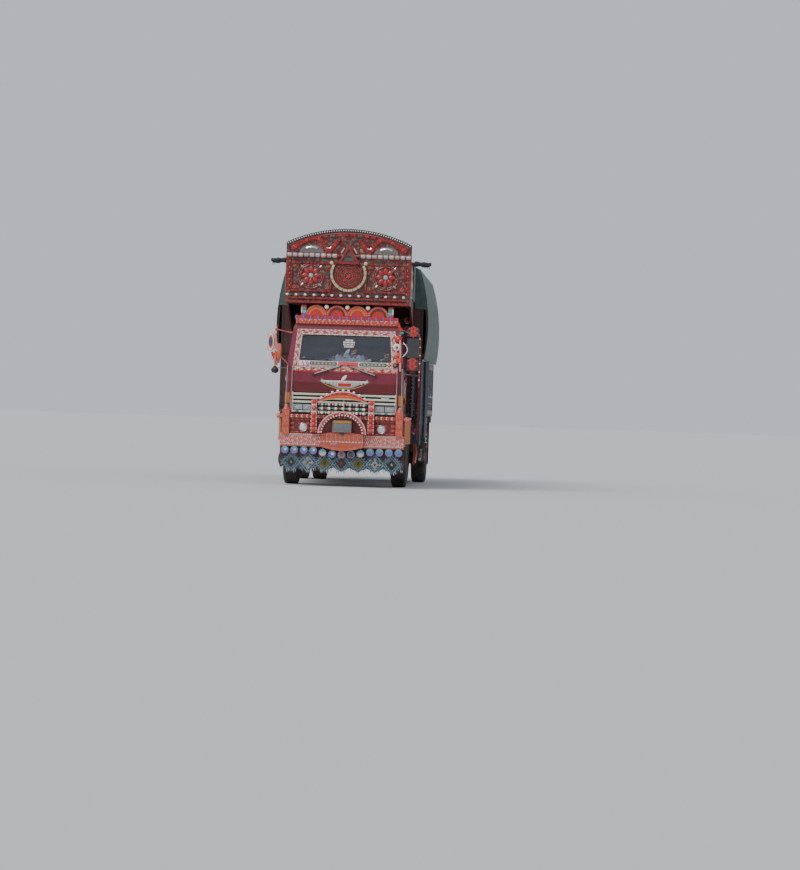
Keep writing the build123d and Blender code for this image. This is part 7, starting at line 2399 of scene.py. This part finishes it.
def end_curtain(line, y, way_out):
    """Curtain between the two halves of a line of (x, z) points, moved inwards by gathered folds that fade
    towards the roof: 0.010 sin(21 x + 0.8 sin 3 z)."""
    count = len(line) // 2
    share = np.linspace(0, 1, 70)[None, :, None]
    flat = line[:count, None, :] * (1 - share) + line[::-1][:count, None, :] * share
    fold = 0.010 * np.sin(
        flat[..., 0] * 21.0 + 0.8 * np.sin(flat[..., 1] * 3.0)
    ) * np.clip((3.9 - flat[..., 1]) / 1.2, 0, 1)
    depth = 0.012 + np.abs(fold)
    outer = np.stack((flat[..., 0], y - way_out * depth, flat[..., 1]), axis=-1)
    return outer, outer - np.array((0, way_out * tarp_thick, 0))


rear_curtain = canvas("tarpaulin_rear", end_curtain(cover_line(0.010, 2.235), 4.3295, 1))

hood_half = 1.070
hood_low = 3.172


def hood_line(inset):
    """Upright sides and a low arched roof for the hood behind the crown."""
    roof = circle_through((hood_half - inset, 3.788), (0, 3.970 - inset), (-hood_half + inset, 3.788), 40)
    right = np.stack((np.full(14, hood_half - inset), np.linspace(hood_low, 3.77, 14)), axis=1)
    return np.concatenate((right, roof, right[::-1] * (-1, 1)))


hood_section = hood_line(0.0)
hood_out = outward(hood_section)
hood_y = np.linspace(-3.158, -2.256, 44)
hood_ripple = 0.0035 * (1 + np.sin(hood_y[:, None] * 19.0 + 1.5 * np.sin(hood_section[None, :, 1] * 4.0)))
hood_shell = [swept(hood_section, hood_out, hood_ripple + deeper, hood_y) for deeper in (0.0, tarp_thick)]
hood = canvas("tarpaulin_hood", hood_shell)

hood_head = hood_line(0.006)
hood_head = hood_head[hood_head[:, 1] > 3.60]
hood_curtain = canvas("tarpaulin_hood_front", end_curtain(hood_head, -3.150, -1))

front_side = cover_line(0.010, 3.05)
front_side = front_side[:len(front_side) // 2]
front_side = front_side[front_side[:, 1] < 3.76]
share = np.linspace(0, 1, 10)[None, :, None]
hood_edge = np.stack((np.full(len(front_side), hood_half - 0.008), front_side[:, 1]), axis=1)
flat = front_side[:, None, :] * (1 - share) + hood_edge[:, None, :] * share
shoulder_outer = np.stack((flat[..., 0], np.full(flat.shape[:2], -2.252), flat[..., 1]), axis=-1)
shoulder_part = tinted(cloth_shell(shoulder_outer, shoulder_outer + np.array((0, 0.004, 0))), tarp_tint)
shoulders = piece("tarpaulin_shoulders", both_sides([shoulder_part]), tarp_cloth)

# Mudguards and flaps: rolled steel sheet over the front wheels, painted black and always dusty, and flaps of
# black rubber before and behind the twin wheels.
dress(
    painted("guard_black", (0.03, 0.028, 0.028, 1), rough=0.5, reach=1.4, dirt=0.9, chip=0.4),
    "front_mudguards"
)
flap_rubber = painted(
    "flap_rubber", (0.018, 0.018, 0.018, 1), rough=0.8, reach=1.3, dirt=0.8, grain=30.0, chip=0.0, bump=0.25
)
dress(flap_rubber, "rear_mudguards")
